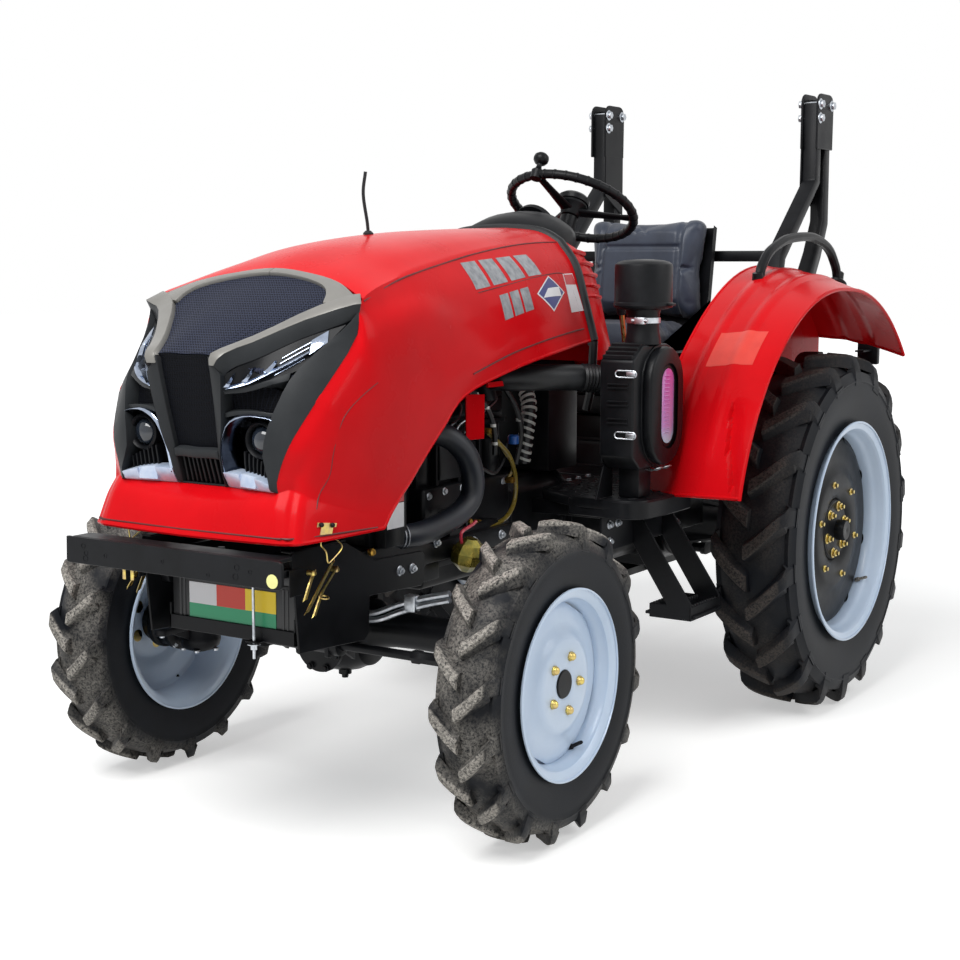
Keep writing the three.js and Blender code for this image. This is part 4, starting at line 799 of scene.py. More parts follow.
flanks, brows = [], []
for side in (-1, 1):
    # silver frame round the top mesh
    brows.append(ribbon("frame", [(5.0, 0), (5.0, 1.0), (5.0, 1.9), (5.02, 2.35), (5.1, 2.98)],
                        [(5.14, 0), (5.14, 1.0), (5.2, 1.72), (5.34, 2.02), (5.55, 2.15)], 0.003, -0.020,
                        side,
                        edge=0.003))
    # the brow: a narrow silver face from beside the V back to its blunt tip; its underside, the same
    # silver-grey plastic, is given charcoal as painted shade under the brow
    fold = [(7.14, 1.13), (6.94, 1.26), (6.64, 1.52), (6.26, 1.90), (5.80, 2.38), (5.42, 2.80), (5.22, 3.03)]
    brows.append(ribbon("brow", [(7.20, 0.98), (6.98, 1.00), (6.70, 1.20), (6.20, 1.66), (5.62, 2.16),
                                 (5.20, 2.56),
                                 (4.97, 2.87)], fold, (0.006, 0.017), -0.020, side, edge=0.002, steps=2))
    flanks.append(ribbon("brow_under", fold, [(7.40, 1.30), (7.2, 1.38), (6.84, 1.68), (6.46, 2.04),
                                              (6.06, 2.46),
                                              (5.66, 2.86), (5.40, 3.02)], (0.0165, 0.000), -0.020, side,
                         edge=0.0015,
                         steps=2))
    # the side of the V, down to the crossbar
    flanks.append(ribbon("v_side", [(7.02, 0.94), (7.4, 0.96), (8.0, 0.98), (8.6, 1.0), (9.05, 1.0),
                                    (10.0, 0.98)],
                         [(7.3, 1.26), (7.6, 1.26), (8.0, 1.26), (8.6, 1.24), (9.05, 1.16), (10.0, 1.12)],
                         (0.002, 0.014), -0.030, side, edge=0.002, steps=2))
    flanks.append(ribbon("v_cheek", [(7.3, 1.26), (7.6, 1.26), (8.0, 1.26), (8.6, 1.24), (9.05, 1.16)],
                         [(7.36, 1.34), (7.64, 1.36), (8.0, 1.36), (8.6, 1.32), (9.05, 1.22)],
                         (0.0135, -0.018), -0.030,
                         side, steps=2))
    # the charcoal flank round the lamps
    flanks.append(ribbon("flank", [(5.3, 3.04), (5.9, 3.06), (6.6, 3.03), (7.1, 3.02), (7.6, 3.02),
                                   (8.2, 3.02),
                                   (8.8, 3.02), (9.5, 3.02), (10.0, 3.0)],
                         [(5.75, 2.86), (6.25, 2.66), (6.6, 2.52), (6.92, 2.44), (7.4, 2.42), (8.0, 2.42),
                          (8.6, 2.5), (9.15, 2.82), (10.0, 2.86)], (0.001, 0.012), -0.035, side, edge=0.002,
                         steps=2))
    # the shelf between the upper lamp and the mesh pocket, and the pocket's floor
    flanks.append(ribbon("shelf", [(7.66, 1.28), (7.4, 1.68), (7.0, 2.14), (6.80, 2.38)],
                         [(7.74, 1.30), (7.50, 1.72), (7.10, 2.18), (6.92, 2.42)], 0.006, -0.035, side,
                         edge=0.002))
    flanks.append(ribbon("sill", [(8.14, 1.30), (7.86, 1.86), (7.62, 2.42)],
                         [(8.24, 1.30), (7.96, 1.86), (7.72, 2.42)],
                         0.004, -0.035, side, edge=0.002))
crossbar = ribbon("crossbar", [(8.98, -1.02), (8.98, -0.5), (8.98, 0), (8.98, 0.5), (8.98, 1.02)],
                  [(9.2, -1.06), (9.2, -0.5), (9.2, 0), (9.2, 0.5), (9.2, 1.06)], 0.008, -0.025, edge=0.004)
foot = ribbon("foot", [(9.96, -1.06), (9.96, 0), (9.96, 1.06)], [(10.02, -1.1), (10.02, 0), (10.02, 1.1)],
              0.002,
              -0.025, edge=0.002)
fitted(joined("nose_flanks", [*flanks, crossbar, foot]), "hood", charcoal_abs, "dark_plastic")
fitted(joined("nose_brow", brows), "hood", silver_abs, "dark_plastic")

# The projectors are dark coated glass; the feet of the lower lamps are satin chrome, with the sky's
# reflection painted into their colour as pale blue.
chrome_painted_sky_blue = finish("satin-chromed plastic, painted sky blue", "#A9B9D2", "#C6D0E0", 0.03, 0.30, Metallic=0.35)
lens_glass, tree, place, shader = new_material("dark projector glass", Roughness=0.03, IOR=1.5,
                                               Coat_Weight=0.4, Coat_Roughness=0.02)
depth = add(tree, "TexNoise", [("Vector", place)], Scale=1 / 0.03)
colour = add(tree, "Mix", [(0, depth.outputs["Fac"])], data_type="RGBA")
colour.inputs[6].default_value, colour.inputs[7].default_value = linear("#0A0D12"), linear("#28303C")
tree.links.new(colour.outputs[2], shader.inputs["Base Color"])
for hand, side in (("left", 1), ("right", -1)):
    bright, dark, smoked, feet = [], [], [], []
    # upper lamp: a black bed, and on it a chrome wedge, three hooked blades, four slats and a bright end box
    dark.append(ribbon("wedge_bed", [(7.70, 1.28), (7.43, 1.69), (7.03, 2.15), (6.66, 2.52)],
                       [(7.32, 1.30), (6.84, 1.70), (6.36, 2.16), (5.80, 2.78)], 0.001, -0.006, side,
                       steps=6))
    bright.append(ribbon("wedge", [(7.62, 1.31), (7.36, 1.68), (6.84, 2.18), (6.46, 2.50)],
                         [(7.55, 1.33), (7.28, 1.67), (6.78, 2.14), (6.40, 2.47)], (0.012, 0.006), -0.006,
                         side,
                         edge=0.001))
    for a, b in (((7.54, 1.33), (7.18, 1.50)), ((7.26, 1.66), (6.96, 1.80)), ((6.96, 1.98), (6.76, 2.06))):
        bright.append(ribbon("blade", [a, ((a[0] + b[0]) / 2, (a[1] + b[1]) / 2 + 0.01), b],
                             [(a[0] - 0.02, a[1] + 0.08), ((a[0] + b[0]) / 2 - 0.05,
                                                           (a[1] + b[1]) / 2 + 0.07),
                              (b[0] - 0.03, b[1] + 0.02)], (0.016, 0.010), 0.002, side, steps=3))
    for k in range(4):
        bright.append(ribbon("slat", [(6.64 + 0.088 * k, 2.12 + 0.012 * k),
                                      (6.28 + 0.088 * k, 2.41 + 0.015 * k)],
                             [(6.656 + 0.088 * k, 2.12 + 0.012 * k), (6.296 + 0.088 * k, 2.41 + 0.015 * k)],
                             0.003, -0.006, side, steps=2))
    bright.append(ribbon("end_box", [(6.26, 2.40), (6.02, 2.56)], [(6.50, 2.50), (6.24, 2.66)],
                         (0.004, 0.010), -0.006,
                         side, edge=0.001, steps=2))
    # lower lamp: a wide smoked C with a bright outer edge, a faceted pale foot, and louvres under the lens
    outer_edge = [(7.74, 2.46), (7.78, 2.28), (7.92, 1.90), (8.12, 1.56), (8.38, 1.30), (8.74, 1.18),
                  (9.1, 1.15),
                  (9.66, 1.17)]
    inner_edge = [(7.98, 2.44), (7.99, 2.30), (8.10, 2.02), (8.26, 1.82), (8.46, 1.64), (8.80, 1.50),
                  (9.1, 1.48),
                  (9.56, 1.56)]
    hem = [(s + (u - s) * 0.20, r + (v - r) * 0.20) for (s, r), (u, v) in zip(outer_edge, inner_edge)]
    smoked.append(ribbon("bezel", hem, inner_edge, (0.011, -0.030), -0.038, side, edge=0.001, steps=2))
    bright.append(ribbon("bezel_edge", outer_edge, hem, (0.008, 0.013), -0.020, side, edge=0.001, steps=2))
    for a, b, x, y in ((1.18, 1.72, 0.013, 0.006), (1.72, 2.30, 0.006, 0.013), (2.30, 2.84, 0.013, 0.008)):
        feet.append(ribbon("foot", [(9.50 - (a - 1.18) * 0.10, a), (9.50 - (b - 1.18) * 0.10, b)],
                           [(10.0, a), (10.0, b)], (x, y), -0.020, side, edge=0.0008, steps=2))
    for k in range(7):
        rail = 1.72 + k * 0.14
        dark.append(ribbon("louvre", [(8.86, rail), (9.2, rail), (9.5, rail + 0.02)],
                           [(8.86, rail + 0.05), (9.2, rail + 0.05), (9.5, rail + 0.07)], -0.008, -0.036,
                           side,
                           edge=0.001, steps=2))
    lens_at = skin(8.42, side * 2.14, -0.016, bare=True)
    toward = (skin(8.42, side * 2.14, 0.05, bare=True) - lens_at).normalized()
    toward = Vector((toward.x * 0.35, toward.y, toward.z * 0.2)).normalized()
    aim = Matrix.Translation(lens_at) @ toward.to_track_quat("Z", "Y").to_matrix().to_4x4()
    ring = turned("ring", [(0.041, -0.030), (0.041, 0.004), (0.037, 0.008), (0.033, 0.004), (0.031, -0.006),
                           (0.031, -0.030)], (0, 0, 0), "Z", 40, closed=True)
    ring.data.transform(aim)
    dark.append(ring)
    pocket = pressing(f"headlamp_pocket_mesh_{hand}", (7.1, 8.1), (1.3, 2.4) if side > 0 else (-2.4, -1.3),
                      out=-0.020,
                      wall=0.002)
    lens = start(f"headlamp_projector_{hand}", bpy.ops.mesh.primitive_uv_sphere_add, segments=32,
                 ring_count=16,
                 radius=0.031)
    lens.data.transform(aim @ Matrix.Translation((0, 0, -0.012)) @ Matrix.Scale(0.75, 4, (0, 0, 1)))
    fitted(joined(f"headlamp_chrome_{hand}", bright), "hood", chrome, "chrome", f"headlamp_{hand}")
    fitted(joined(f"headlamp_feet_{hand}", feet), "hood", chrome_painted_sky_blue, "chrome")
    fitted(joined(f"headlamp_housing_{hand}", dark), "hood", black_abs, "dark_plastic")
    fitted(pocket, "hood", mesh_in_painted_shade, "grille_mesh")
    fitted(lens, "hood", lens_glass, "lamp_lens")
    fitted(joined(f"headlamp_smoked_{hand}", smoked), "hood", smoked_chrome, "chrome")

# ------------------------------------------------------------------ cowl, seal and aerial rod
# A folded red cowl stands behind the hood, which closes on a hollow rubber seal.
# The instrument housing on top is moulded black plastic; a thin sprung rod stands on the hood's middle.

seal_rubber = finish("extruded black rubber", "#0C0D0F", "#17191C", 0.05, 0.38, 0.003, 0.0002,
                     Specular_IOR_Level=0.3)


rear_edge = [skin(0, k / 4, bare=True) for k in range(-24, 25)]
cowl_rings = []
for y, scale, drop in ((-0.782, 0.965, 0.004), (-0.776, 0.97, 0.0), (-0.70, 0.955, 0.006),
                       (-0.64, 0.92, 0.02),
                       (-0.600, 0.87, 0.05), (-0.588, 0.82, 0.085)):
    ring = [Vector((at.x * scale, y, at.z * 0.985 + 0.015 - drop)) for at in rear_edge]
    ring += [Vector((ring[-1].x, y, 1.052)), Vector((ring[0].x, y, 1.052))]
    cowl_rings.append(ring)
cowl = lofted("cowl_panel", cowl_rings)
apply_modifier(cowl, "BEVEL", width=0.004, segments=2, limit_method="ANGLE", angle_limit=radians(50))
louvres = [pipe("louvre", [(x + 0.010, -0.770, z), (x + 0.006, -0.70, z), (x - 0.006, -0.635, z - 0.006)],
                0.0065,
                sides=8, rings=3)
           for z, x in ((1.345, 0.188), (1.315, 0.212), (1.285, 0.226), (1.255, 0.234), (1.225, 0.240))]
hinge_arm = block("arm", (0.104, 0.110), (-0.860, -0.777), (1.322, 1.342), 0.002)
fitted(joined("cowl_panel", [cowl, *both_sides([*louvres, hinge_arm])]), "chassis", red_enamel, "red_paint",
       "cowl")

seal = pipe("seal", [skin(0, k / 4, 0.002, bare=True) + Vector((0, 0.011, -0.003)) for k in range(-24, 25)],
            0.0135, sides=16, rings=1)
seal_foot = pipe("foot", [skin(0, k / 4, -0.006, bare=True) + Vector((0, 0.014, -0.012)) for k in range(-24,
                                                                                                        25)],
                 0.010, sides=12, rings=1)
tails = [pipe("tail", [skin(0, side * 6, 0.002, bare=True) + Vector((0, 0.011, -0.003)),
                       Vector((side * 0.292, -0.779, 1.06)), Vector((side * 0.285, -0.775, 0.98)),
                       Vector((side * 0.268, -0.768, 0.92))], 0.012, sides=12) for side in (-1, 1)]
fitted(joined("hood_seal", [seal, seal_foot, *tails]), "chassis", seal_rubber, "hose_rubber")

dash_rings = []
for y, wide, high in ((-0.774, 0.10, 0.012), (-0.768, 0.135, 0.034), (-0.745, 0.152, 0.056),
                      (-0.70, 0.158, 0.072),
                      (-0.65, 0.154, 0.077), (-0.61, 0.142, 0.066), (-0.592, 0.125, 0.044),
                      (-0.586, 0.10, 0.020)):
    dash_rings.append([Vector((wide * cos(a), y, 1.383 + high * sin(a) - 0.03 * (sin(a) < 0))) for a in
                       [2 * pi * k / 32 for k in range(32)]])
dash = lofted("dash", dash_rings)
bezel = turned("dial", [(0.0, 0.004), (0.046, 0.004), (0.052, 0.010), (0.060, 0.006), (0.062, -0.010),
                        (0.0, -0.012)],
               (0, 0, 0), "Z", 32)
bezel.data.transform(Matrix.Translation((0.0, -0.592, 1.425)) @ Matrix.Rotation(radians(-58), 4, "X"))
fitted(joined("instrument_housing", [dash, bezel]), "chassis", black_abs, "dark_plastic")

aerial = pipe("aerial", [skin(2.37, -0.30, -0.003, bare=True), skin(2.37, -0.30, 0.03, bare=True),
                         skin(2.37, -0.30, 0.10, bare=True) + Vector((-0.004, -0.002, 0)),
                         skin(2.37, -0.30, 0.155, bare=True) + Vector((0.004, 0.004, 0))], 0.0042, sides=12)
grommet = turned("grommet", [(0, 0.0), (0.013, 0.0), (0.013, 0.004), (0.007, 0.010), (0, 0.010)],
                 skin(2.37, -0.30, 0.0, bare=True), "Z", 20)
fitted(joined("hood_rod", [aerial, grommet]), "hood", seal_rubber, "hose_rubber")

# ------------------------------------------------------------------ steering column and wheel
# A sheet-steel column box carries the column; the wheel is black moulded plastic on a steel ring.
# Its three spokes meet in a boss with a domed cap, and a spinner knob is clamped to the rim.

column_box = plate("box", [(-0.762, 0.742), (-0.600, 0.742), (-0.600, 1.02), (-0.630, 1.05), (-0.762, 1.05)],
                   "X",
                   -0.148, 0.148, 0.006)
TILT = radians(29)
HUB = Vector((0, -0.380, 1.477))
LEAN = Matrix.Translation(HUB) @ Matrix.Rotation(-TILT, 4, "X")
column = turned("column", [(0, -0.50), (0.031, -0.50), (0.031, -0.14), (0.036, -0.135), (0.036, -0.11),
                           (0.028, -0.10), (0.026, -0.036), (0, -0.036)], (0, 0, 0), "Z", 28)
column.data.transform(LEAN)
fitted(joined("steering_column", [column_box, column]), "chassis", black_enamel, "black_paint",
       "steering_console")

wheel_parts = []
ring = start("ring", bpy.ops.mesh.primitive_torus_add, major_radius=0.185, minor_radius=0.0132,
             major_segments=72, minor_segments=16)
wheel_parts.append(ring)
for k in range(36):
    a = 2 * pi * k / 36
    wheel_parts.append(turned("grip", [(0.0138, -0.004), (0.0145, -0.002), (0.0145, 0.002), (0.0138, 0.004)],
                              (0, 0, 0), "Z", 12))
    wheel_parts[-1].data.transform(Matrix.Rotation(a, 4, "Z") @ Matrix.Translation((0.185, 0, 0))
                                   @ Matrix.Rotation(pi / 2, 4, "X"))
boss = turned("boss", [(0, -0.030), (0.026, -0.030), (0.030, -0.022), (0.032, -0.012), (0.040, -0.002),
                       (0.044, 0.004), (0.043, 0.010), (0.047, 0.012), (0.048, 0.026), (0.040, 0.034),
                       (0.024, 0.039), (0.0, 0.041)], (0, 0, 0), "Z", 40)
wheel_parts.append(boss)
for turn in (radians(-98), radians(22), radians(142)):
    rings = []
    for share, wide, thick, drop in ((0.02, 0.021, 0.010, -0.014), (0.05, 0.019, 0.009, -0.012),
                                     (0.10, 0.015, 0.0075, -0.008), (0.15, 0.013, 0.0065, -0.004),
                                     (0.185, 0.016, 0.008, 0.0)):
        rings.append([Vector((share, wide * cos(a), drop + thick * sin(a))) for a in
                      [2 * pi * k / 14 for k in range(14)]])
    spoke = lofted("spoke", rings)
    spoke.data.transform(Matrix.Rotation(turn, 4, "Z"))
    wheel_parts.append(spoke)
knob = turned("knob", [(0, -0.016), (0.017, -0.016), (0.018, 0.010), (0.010, 0.018), (0.0075, 0.026),
                       (0.0085, 0.032), (0.016, 0.036), (0.0215, 0.044), (0.0225, 0.052), (0.0205, 0.060),
                       (0.014, 0.066), (0.0, 0.068)], (0, 0, 0), "Z", 28)
knob.data.transform(Matrix.Rotation(radians(-98), 4, "Z") @ Matrix.Translation((0.187, 0, 0)))
wheel_parts.append(knob)
wheel = joined("steering_wheel_moulding", wheel_parts)
wheel.data.transform(LEAN)
fitted(wheel, "steering_wheel", black_abs, "brown_glass", "steering_wheel")

# ------------------------------------------------------------------ seat
# Foam cushions in dark blue-grey vinyl with welted edges, on a black pressed pan and a sprung base.
# The cushion and the back are sewn separately, and each has three stuffed panels.

# Vinyl leathercloth: soft sheen over a fine pebble grain, a little lighter where it is stretched.
vinyl = finish("dark blue-grey vinyl", "#232A38", "#2F3747", 0.10, 0.36, 0.0028, 0.0005, Sheen_Weight=0.15,
               Specular_IOR_Level=0.4)


def stuffed(name, low, high, puff, side_edge=0.03):
    """A cushion cut a little small, blown up as cloth under pressure, and smoothed."""
    room = 0.4 * puff
    size = [b - a - 2 * room for a, b in zip(low, high)]
    middle = [(a + b) / 2 for a, b in zip(low, high)]
    pad = start(name, bpy.ops.mesh.primitive_cube_add, size=1, location=middle)
    pad.scale = size
    bpy.ops.object.transform_apply()
    apply_modifier(pad, "BEVEL", width=min(side_edge, min(size) * 0.42), segments=4, limit_method="ANGLE")
    apply_modifier(pad, "REMESH", mode="VOXEL", voxel_size=0.006, adaptivity=0.0)
    before = [v.co.copy() for v in pad.data.vertices]
    cloth = pad.modifiers.new("stuffing", "CLOTH")
    cloth.settings.use_pressure = True
    cloth.settings.uniform_pressure_force = 4.0
    cloth.settings.effector_weights.gravity = 0.0
    cloth.settings.quality = 5
    cloth.settings.tension_stiffness = cloth.settings.compression_stiffness = 15
    cloth.point_cache.frame_start, cloth.point_cache.frame_end = 1, 20
    for step in range(1, 21):
        scene.frame_set(step)
    only(pad)
    bpy.ops.object.modifier_apply(modifier="stuffing")
    scene.frame_set(1)
    for vertex, rest in zip(pad.data.vertices, before):
        moved = vertex.co - rest
        if moved.length > puff:
            vertex.co = rest + moved.normalized() * puff
    return pad


def pressed_lines(pad, test, depth):
    """Draws sewn channels into a pad: its points near a seam line go in along their normals."""
    for vertex in pad.data.vertices:
        near = test(vertex.co)
        if near < 1:
            vertex.co -= vertex.normal * depth * (1 - near * near) ** 2
    pad.data.update()


cushion = stuffed("seat_cushion_pad", (-0.222, -0.308, 1.024), (0.222, 0.072, 1.122), 0.022)
pressed_lines(cushion, lambda p: abs(abs(p.x) - 0.135) / 0.012 if p.z > 1.07 and p.y > -0.29 else 9, 0.011)
pressed_lines(cushion, lambda p: abs(p.z - 1.045) / 0.008, 0.006)
back = stuffed("seat_back_pad", (-0.212, -0.050, 0.0), (0.212, 0.040, 0.345), 0.022, side_edge=0.034)
pressed_lines(back, lambda p: abs(abs(p.x) - 0.135) / 0.012 if p.y < 0 else 9, 0.011)
pressed_lines(back, lambda p: abs(p.z - 0.235) / 0.010 if p.y < -0.01 and abs(p.x) < 0.135 else 9, 0.008)
for vertex in back.data.vertices:  # the back's upper corners are rounded
    corner = Vector((abs(vertex.co.x) - 0.132, vertex.co.z - 0.265))
    if corner.x > 0 and corner.y > 0 and corner.length > 0.080:
        corner *= 0.080 / corner.length
        vertex.co.x = (0.132 + corner.x) * (1 if vertex.co.x > 0 else -1)
        vertex.co.z = 0.265 + corner.y
back.data.transform(Matrix.Translation((0, 0.088, 1.122)) @ Matrix.Rotation(radians(-8), 4, "X"))
for pad, node in ((cushion, "seat_cushion"), (back, "seat_back")):
    apply_modifier(pad, "SUBSURF", levels=1, render_levels=1)
    fitted(pad, "chassis", vinyl, "vinyl", node, smooth_to=80)

piping = pipe("seat_piping", [(0.222 * share, y, 1.046) for share, y in
                              [(-1, 0.04), (-1, -0.26), (-0.93, -0.300), (-0.5, -0.309), (0.5, -0.309),
                               (0.93, -0.300), (1, -0.26), (1, 0.04)]], 0.004, sides=8)
fitted(piping, "chassis", seal_rubber, "vinyl")

pan = plate("pan", [(-0.200, 1.004), (-0.312, 1.018), (-0.314, 1.034), (0.080, 1.034), (0.135, 1.10),
                    (0.150, 1.20),
                    (0.185, 1.42), (0.170, 1.425), (0.140, 1.21), (0.110, 1.13), (0.060, 1.010)], "X", -0.205,
            0.205,
            0.005)
bellows = []
for k in range(5):
    z, wider = 0.908 + 0.020 * k, 0.012 * (k % 2)
    bellows.append(block("fold", (-0.150 - wider, 0.150 + wider), (-0.180 - wider, 0.030 + wider),
                         (z, z + 0.021),
                         0.006))
foot = block("foot", (-0.150, 0.150), (-0.190, 0.030), (0.851, 0.908), 0.006)
runners = both_sides([block("runner", (0.120, 0.150), (-0.28, 0.06), (0.992, 1.012), 0.003)])
fitted(joined("seat_base_frame", [pan, *bellows, foot, *runners]), "chassis", black_abs, "black_paint",
       "seat_base")

# ------------------------------------------------------------------ fenders and grab handles
# Pressed steel mudguards in glossy red, rolled at the edge and ribbed down the front face.
# Each carries a black moulded grab handle, screwed down through its two feet, and a rear lamp.

ARCH = Vector((0, -0.020, 0.5395))  # centre of the arch


def fender_point(share, across, out=0.0):
    """A place on the left fender: share runs over the arch from the front, across from the inner edge out."""
    ease = max(0.0, min(1.0, (share - 0.3) / 0.45))
    inner = 0.6995 + 0.075 * ease * ease * (3 - 2 * ease)
    outer = 0.7745 - 0.075 * min(1.0, share * 1.6)
    first = radians(12.36)
    ends = []
    for radius, x in ((inner, 0.416), (outer, 0.722)):
        start_turn = first + (0.001 if x > 0.5 else 0.0)
        turn = start_turn + (radians(136) - start_turn) * share
        ends.append(Vector((x, ARCH.y - radius * cos(turn), ARCH.z + radius * sin(turn))))
    place = ends[0].lerp(ends[1], across)
    away = Vector((0, place.y - ARCH.y, place.z - ARCH.z)).normalized()
    press = 0.014 * sin(across * pi)
    # two long shallow swages run over the top, and the front face has a deep tapered rib near its outer edge
    for line in (0.30, 0.62):
        press += 0.005 * hump((across - line) / 0.085) * min(1.0, share / 0.25)
    if place.y < -0.35:
        z = place.z
        crease = 0.700 - 0.041 * min(1.0, (z - 0.716) / 0.118) - 0.019 * max(0.0,
                                                                             min(1.0, (z - 0.834) / 0.106))
        width = 0.046 if z > 0.80 else 0.012 + 0.034 * max(0.0, (z - 0.70) / 0.10)
        step = (place.x - crease) / width
        if 0 <= step <= 1:
            press -= 0.015 * (1 - step) ** 1.3 * max(0.0, min(1.0, (0.942 - z) / 0.012))
    return place + away * (press + out)


def fender_sheet(name, shares, across, out=0.0, steps=(84, 60)):
    """A sheet over part of the left fender, `out` metres off it."""
    rows = [[fender_point(shares[0] + (shares[1] - shares[0]) * i / steps[0],
                          across[0] + (across[1] - across[0]) * j / steps[1], out)
             for j in range(steps[1] + 1)] for i in range(steps[0] + 1)]
    return lofted(name, rows, closed=False)


guard = fender_sheet("guard", (0, 1), (0, 1))
in_edit(guard, OUTWARD)
if guard.data.polygons[0].normal.dot(guard.data.polygons[0].center - ARCH) < 0:
    guard.data.flip_normals()
apply_modifier(guard, "SOLIDIFY", thickness=0.003, offset=-1)
wall_outline = [(p.y, p.z) for p in (fender_point(k / 40, 0.0, -0.001) for k in range(41))]
inner_wall = plate("wall", [*wall_outline, (wall_outline[-1][0], 0.900), (0.330, 0.720), (-0.200, 0.706)],
                   "X",
                   0.4150, 0.4190, 0.0008, 1)
rolled = [pipe("roll", [fender_point(k / 40, 1.0, -0.002) for k in range(41)], 0.0055, sides=10, rings=1),
          pipe("roll", [fender_point(k / 40, 0.0, -0.001) for k in range(41)], 0.0045, sides=10, rings=1),
          pipe("roll", [fender_point(1.0, k / 12, -0.002) for k in range(13)], 0.0055, sides=10, rings=1),
          pipe("roll", [fender_point(0.0, k / 12, -0.002) + Vector((0, 0, 0.006)) for k in range(13)], 0.0050,
               sides=10, rings=1)]
left = joined("fender_panel_left", [guard, inner_wall, *rolled])

bar = pipe("bar", [(0.5, y, 1.255 + above) for y, above in
                   [(-0.162, -0.004), (-0.156, 0.020), (-0.140, 0.050), (-0.090, 0.090), (0.000, 0.120),
                    (0.060, 0.131), (0.160, 0.138), (0.250, 0.137), (0.340, 0.120), (0.400, 0.095),
                    (0.440, 0.060),
                    (0.460, 0.035), (0.470, 0.003)]], 0.0145, sides=16)
feet = []
for y, z in ((-0.164, 1.247), (0.468, 1.248)):
    up = Vector((0, y - ARCH.y, z - ARCH.z)).normalized()
    base = turned("foot", [(0, -0.004), (0.030, -0.004), (0.032, 0.002), (0.026, 0.008), (0.018, 0.014),
                           (0.0155, 0.030), (0.0145, 0.040), (0, 0.040)], (0, 0, 0), "Z", 28)
    base.data.transform(Matrix.Translation((0.5, y, z)) @ up.to_track_quat("Z", "X").to_matrix().to_4x4())
    feet.append(base)
handle = joined("grab_handle_bar_left", [bar, *feet])

# Rear lamps: red acrylic over a black base, on the back of each fender.
lamp_red = finish("red acrylic", "#A30A10", "#7E060C", 0.02, 0.08, 0.004, 0.0004, Coat_Weight=0.8,
                  Transmission_Weight=0.15)
lamp_base = block("base", (0.535, 0.605), (0.575, 0.600), (0.985, 1.085), 0.006)
lamp_lens = block("lens", (0.540, 0.600), (0.598, 0.616), (0.990, 1.080), 0.008, 3)
arm = block("arm", (0.555, 0.585), (0.500, 0.580), (1.028, 1.034), 0.001, 1)
paired("fender_panel", left, "chassis", red_enamel, "red_paint", "fender")
paired("grab_handle_bar", handle, "chassis", black_abs, "hose_rubber", "grab_handle")
paired("rear_lamp_base", joined("base", [lamp_base, arm]), "chassis", black_abs, "dark_plastic")
paired("rear_lamp_lens", lamp_lens, "chassis", lamp_red, "lamp_lens")

# ------------------------------------------------------------------ platform and steps
# Folded steel foot plates, black enamel, with a raised tread pattern and a deep rounded front corner.
# Plate brackets bolted underneath carry a serrated step on each side.

deck = plate("deck", [(0.152, -0.800), (0.180, -0.850), (0.300, -0.918), (0.360, -0.930), (0.455, -0.930),
                      *arc((0.460, -0.870), 0.058, -85, -8, 5), (0.524, -0.800), (0.520, -0.640),
                      (0.411, -0.600), (0.411, -0.215), (0.152, -0.215)], "Z", 0.677, 0.7045, 0.004)
skirt = plate("skirt", [(0.300, -0.920), (0.455, -0.932), *arc((0.460, -0.870), 0.060, -85, -8, 5),
                        (0.526, -0.800),
                        (0.522, -0.640), (0.514, -0.640), (0.516, -0.800),
                        *arc((0.460, -0.870), 0.050, -8, -85, 5),
                        (0.455, -0.922), (0.300, -0.910)], "Z", 0.655, 0.700, 0.002, 1)
side_plate = block("side", (0.395, 0.402), (-0.920, -0.300), (0.560, 0.680), 0.002)
cross = [block("cross", (0.152, 0.400), (y, y + 0.040), (0.640, 0.678), 0.003) for y in (-0.86, -0.55, -0.28)]
treads = []
for i in range(15):
    for j in range(9):
        x, y = 0.185 + 0.036 * j + (0.018 if i % 2 else 0), -0.890 + 0.044 * i
        if (x > 0.395 and y > -0.62) or (x < 0.36 and y < -0.84 - (x - 0.18) * 0.4) or x > 0.50 \
                or (y < -0.90 and x < 0.33):
            continue
        treads.append((x, y, 90 if (i + j) % 2 else 0))
bead = start("bead", bpy.ops.mesh.primitive_uv_sphere_add, segments=8, ring_count=6, radius=1)
bead.data.transform(Matrix.Diagonal((0.015, 0.0045, 0.0028, 1)))
pattern = joined("tread", copied(bead, *(Matrix.Translation((x, y, 0.7050)) @ Matrix.Rotation(
    radians(turn + 45), 4, "Z") for x, y, turn in treads)))
bpy.data.objects.remove(bead)
step_parts = []
for y0, y1 in ((-0.7455, -0.7385), (-0.5685, -0.5610)):
    step_parts.append(plate("bracket", [(0.325, 0.679), (0.398, 0.679), (0.578, 0.412), (0.578, 0.366),
                                        (0.455, 0.366), (0.455, 0.404), (0.506, 0.404)], "Y", y0, y1, 0.0015,
                            1))
for x in (0.462, 0.513, 0.566):
    teeth = [(-0.7385, 0.372), (-0.7385, 0.405)]
    for k in range(11):
        y = -0.7385 + 0.0154 * k
        teeth += [(y + 0.004, 0.405), (y + 0.0077, 0.3965), (y + 0.0114, 0.405)]
    step_parts.append(plate("serration", [*teeth, (-0.5685, 0.405), (-0.5685, 0.372)], "X", x - 0.005,
                            x + 0.005,
                            0.0008, 1))
    step_parts.append(block("web", (x - 0.022, x + 0.022), (-0.7385, -0.5685), (0.372, 0.380), 0.001, 1))
step_parts.append(block("nose", (0.574, 0.579), (-0.7455, -0.561), (0.366, 0.404), 0.001, 1))
left = joined("platform_deck_left", [deck, skirt, side_plate, *cross, pattern, *step_parts])
bolt = hexagon_bolt("bolt", 0.018, washer=0.0025, reach=0.004)
left_bolts = fasteners("platform_bolts_left", bolt, [
    *(((0.402, y, 0.630), "+X") for y in (-0.880, -0.835, -0.700, -0.655, -0.480, -0.430)),
    *(((0.402, y, 0.585), "+X") for y in (-0.880, -0.700, -0.480)),
    *(((x, y, 0.640), "-Y") for y in (-0.7455, -0.5685) for x in (0.300, 0.350))])
paired("platform_deck", left, "chassis", black_enamel, "black_paint", "platform")
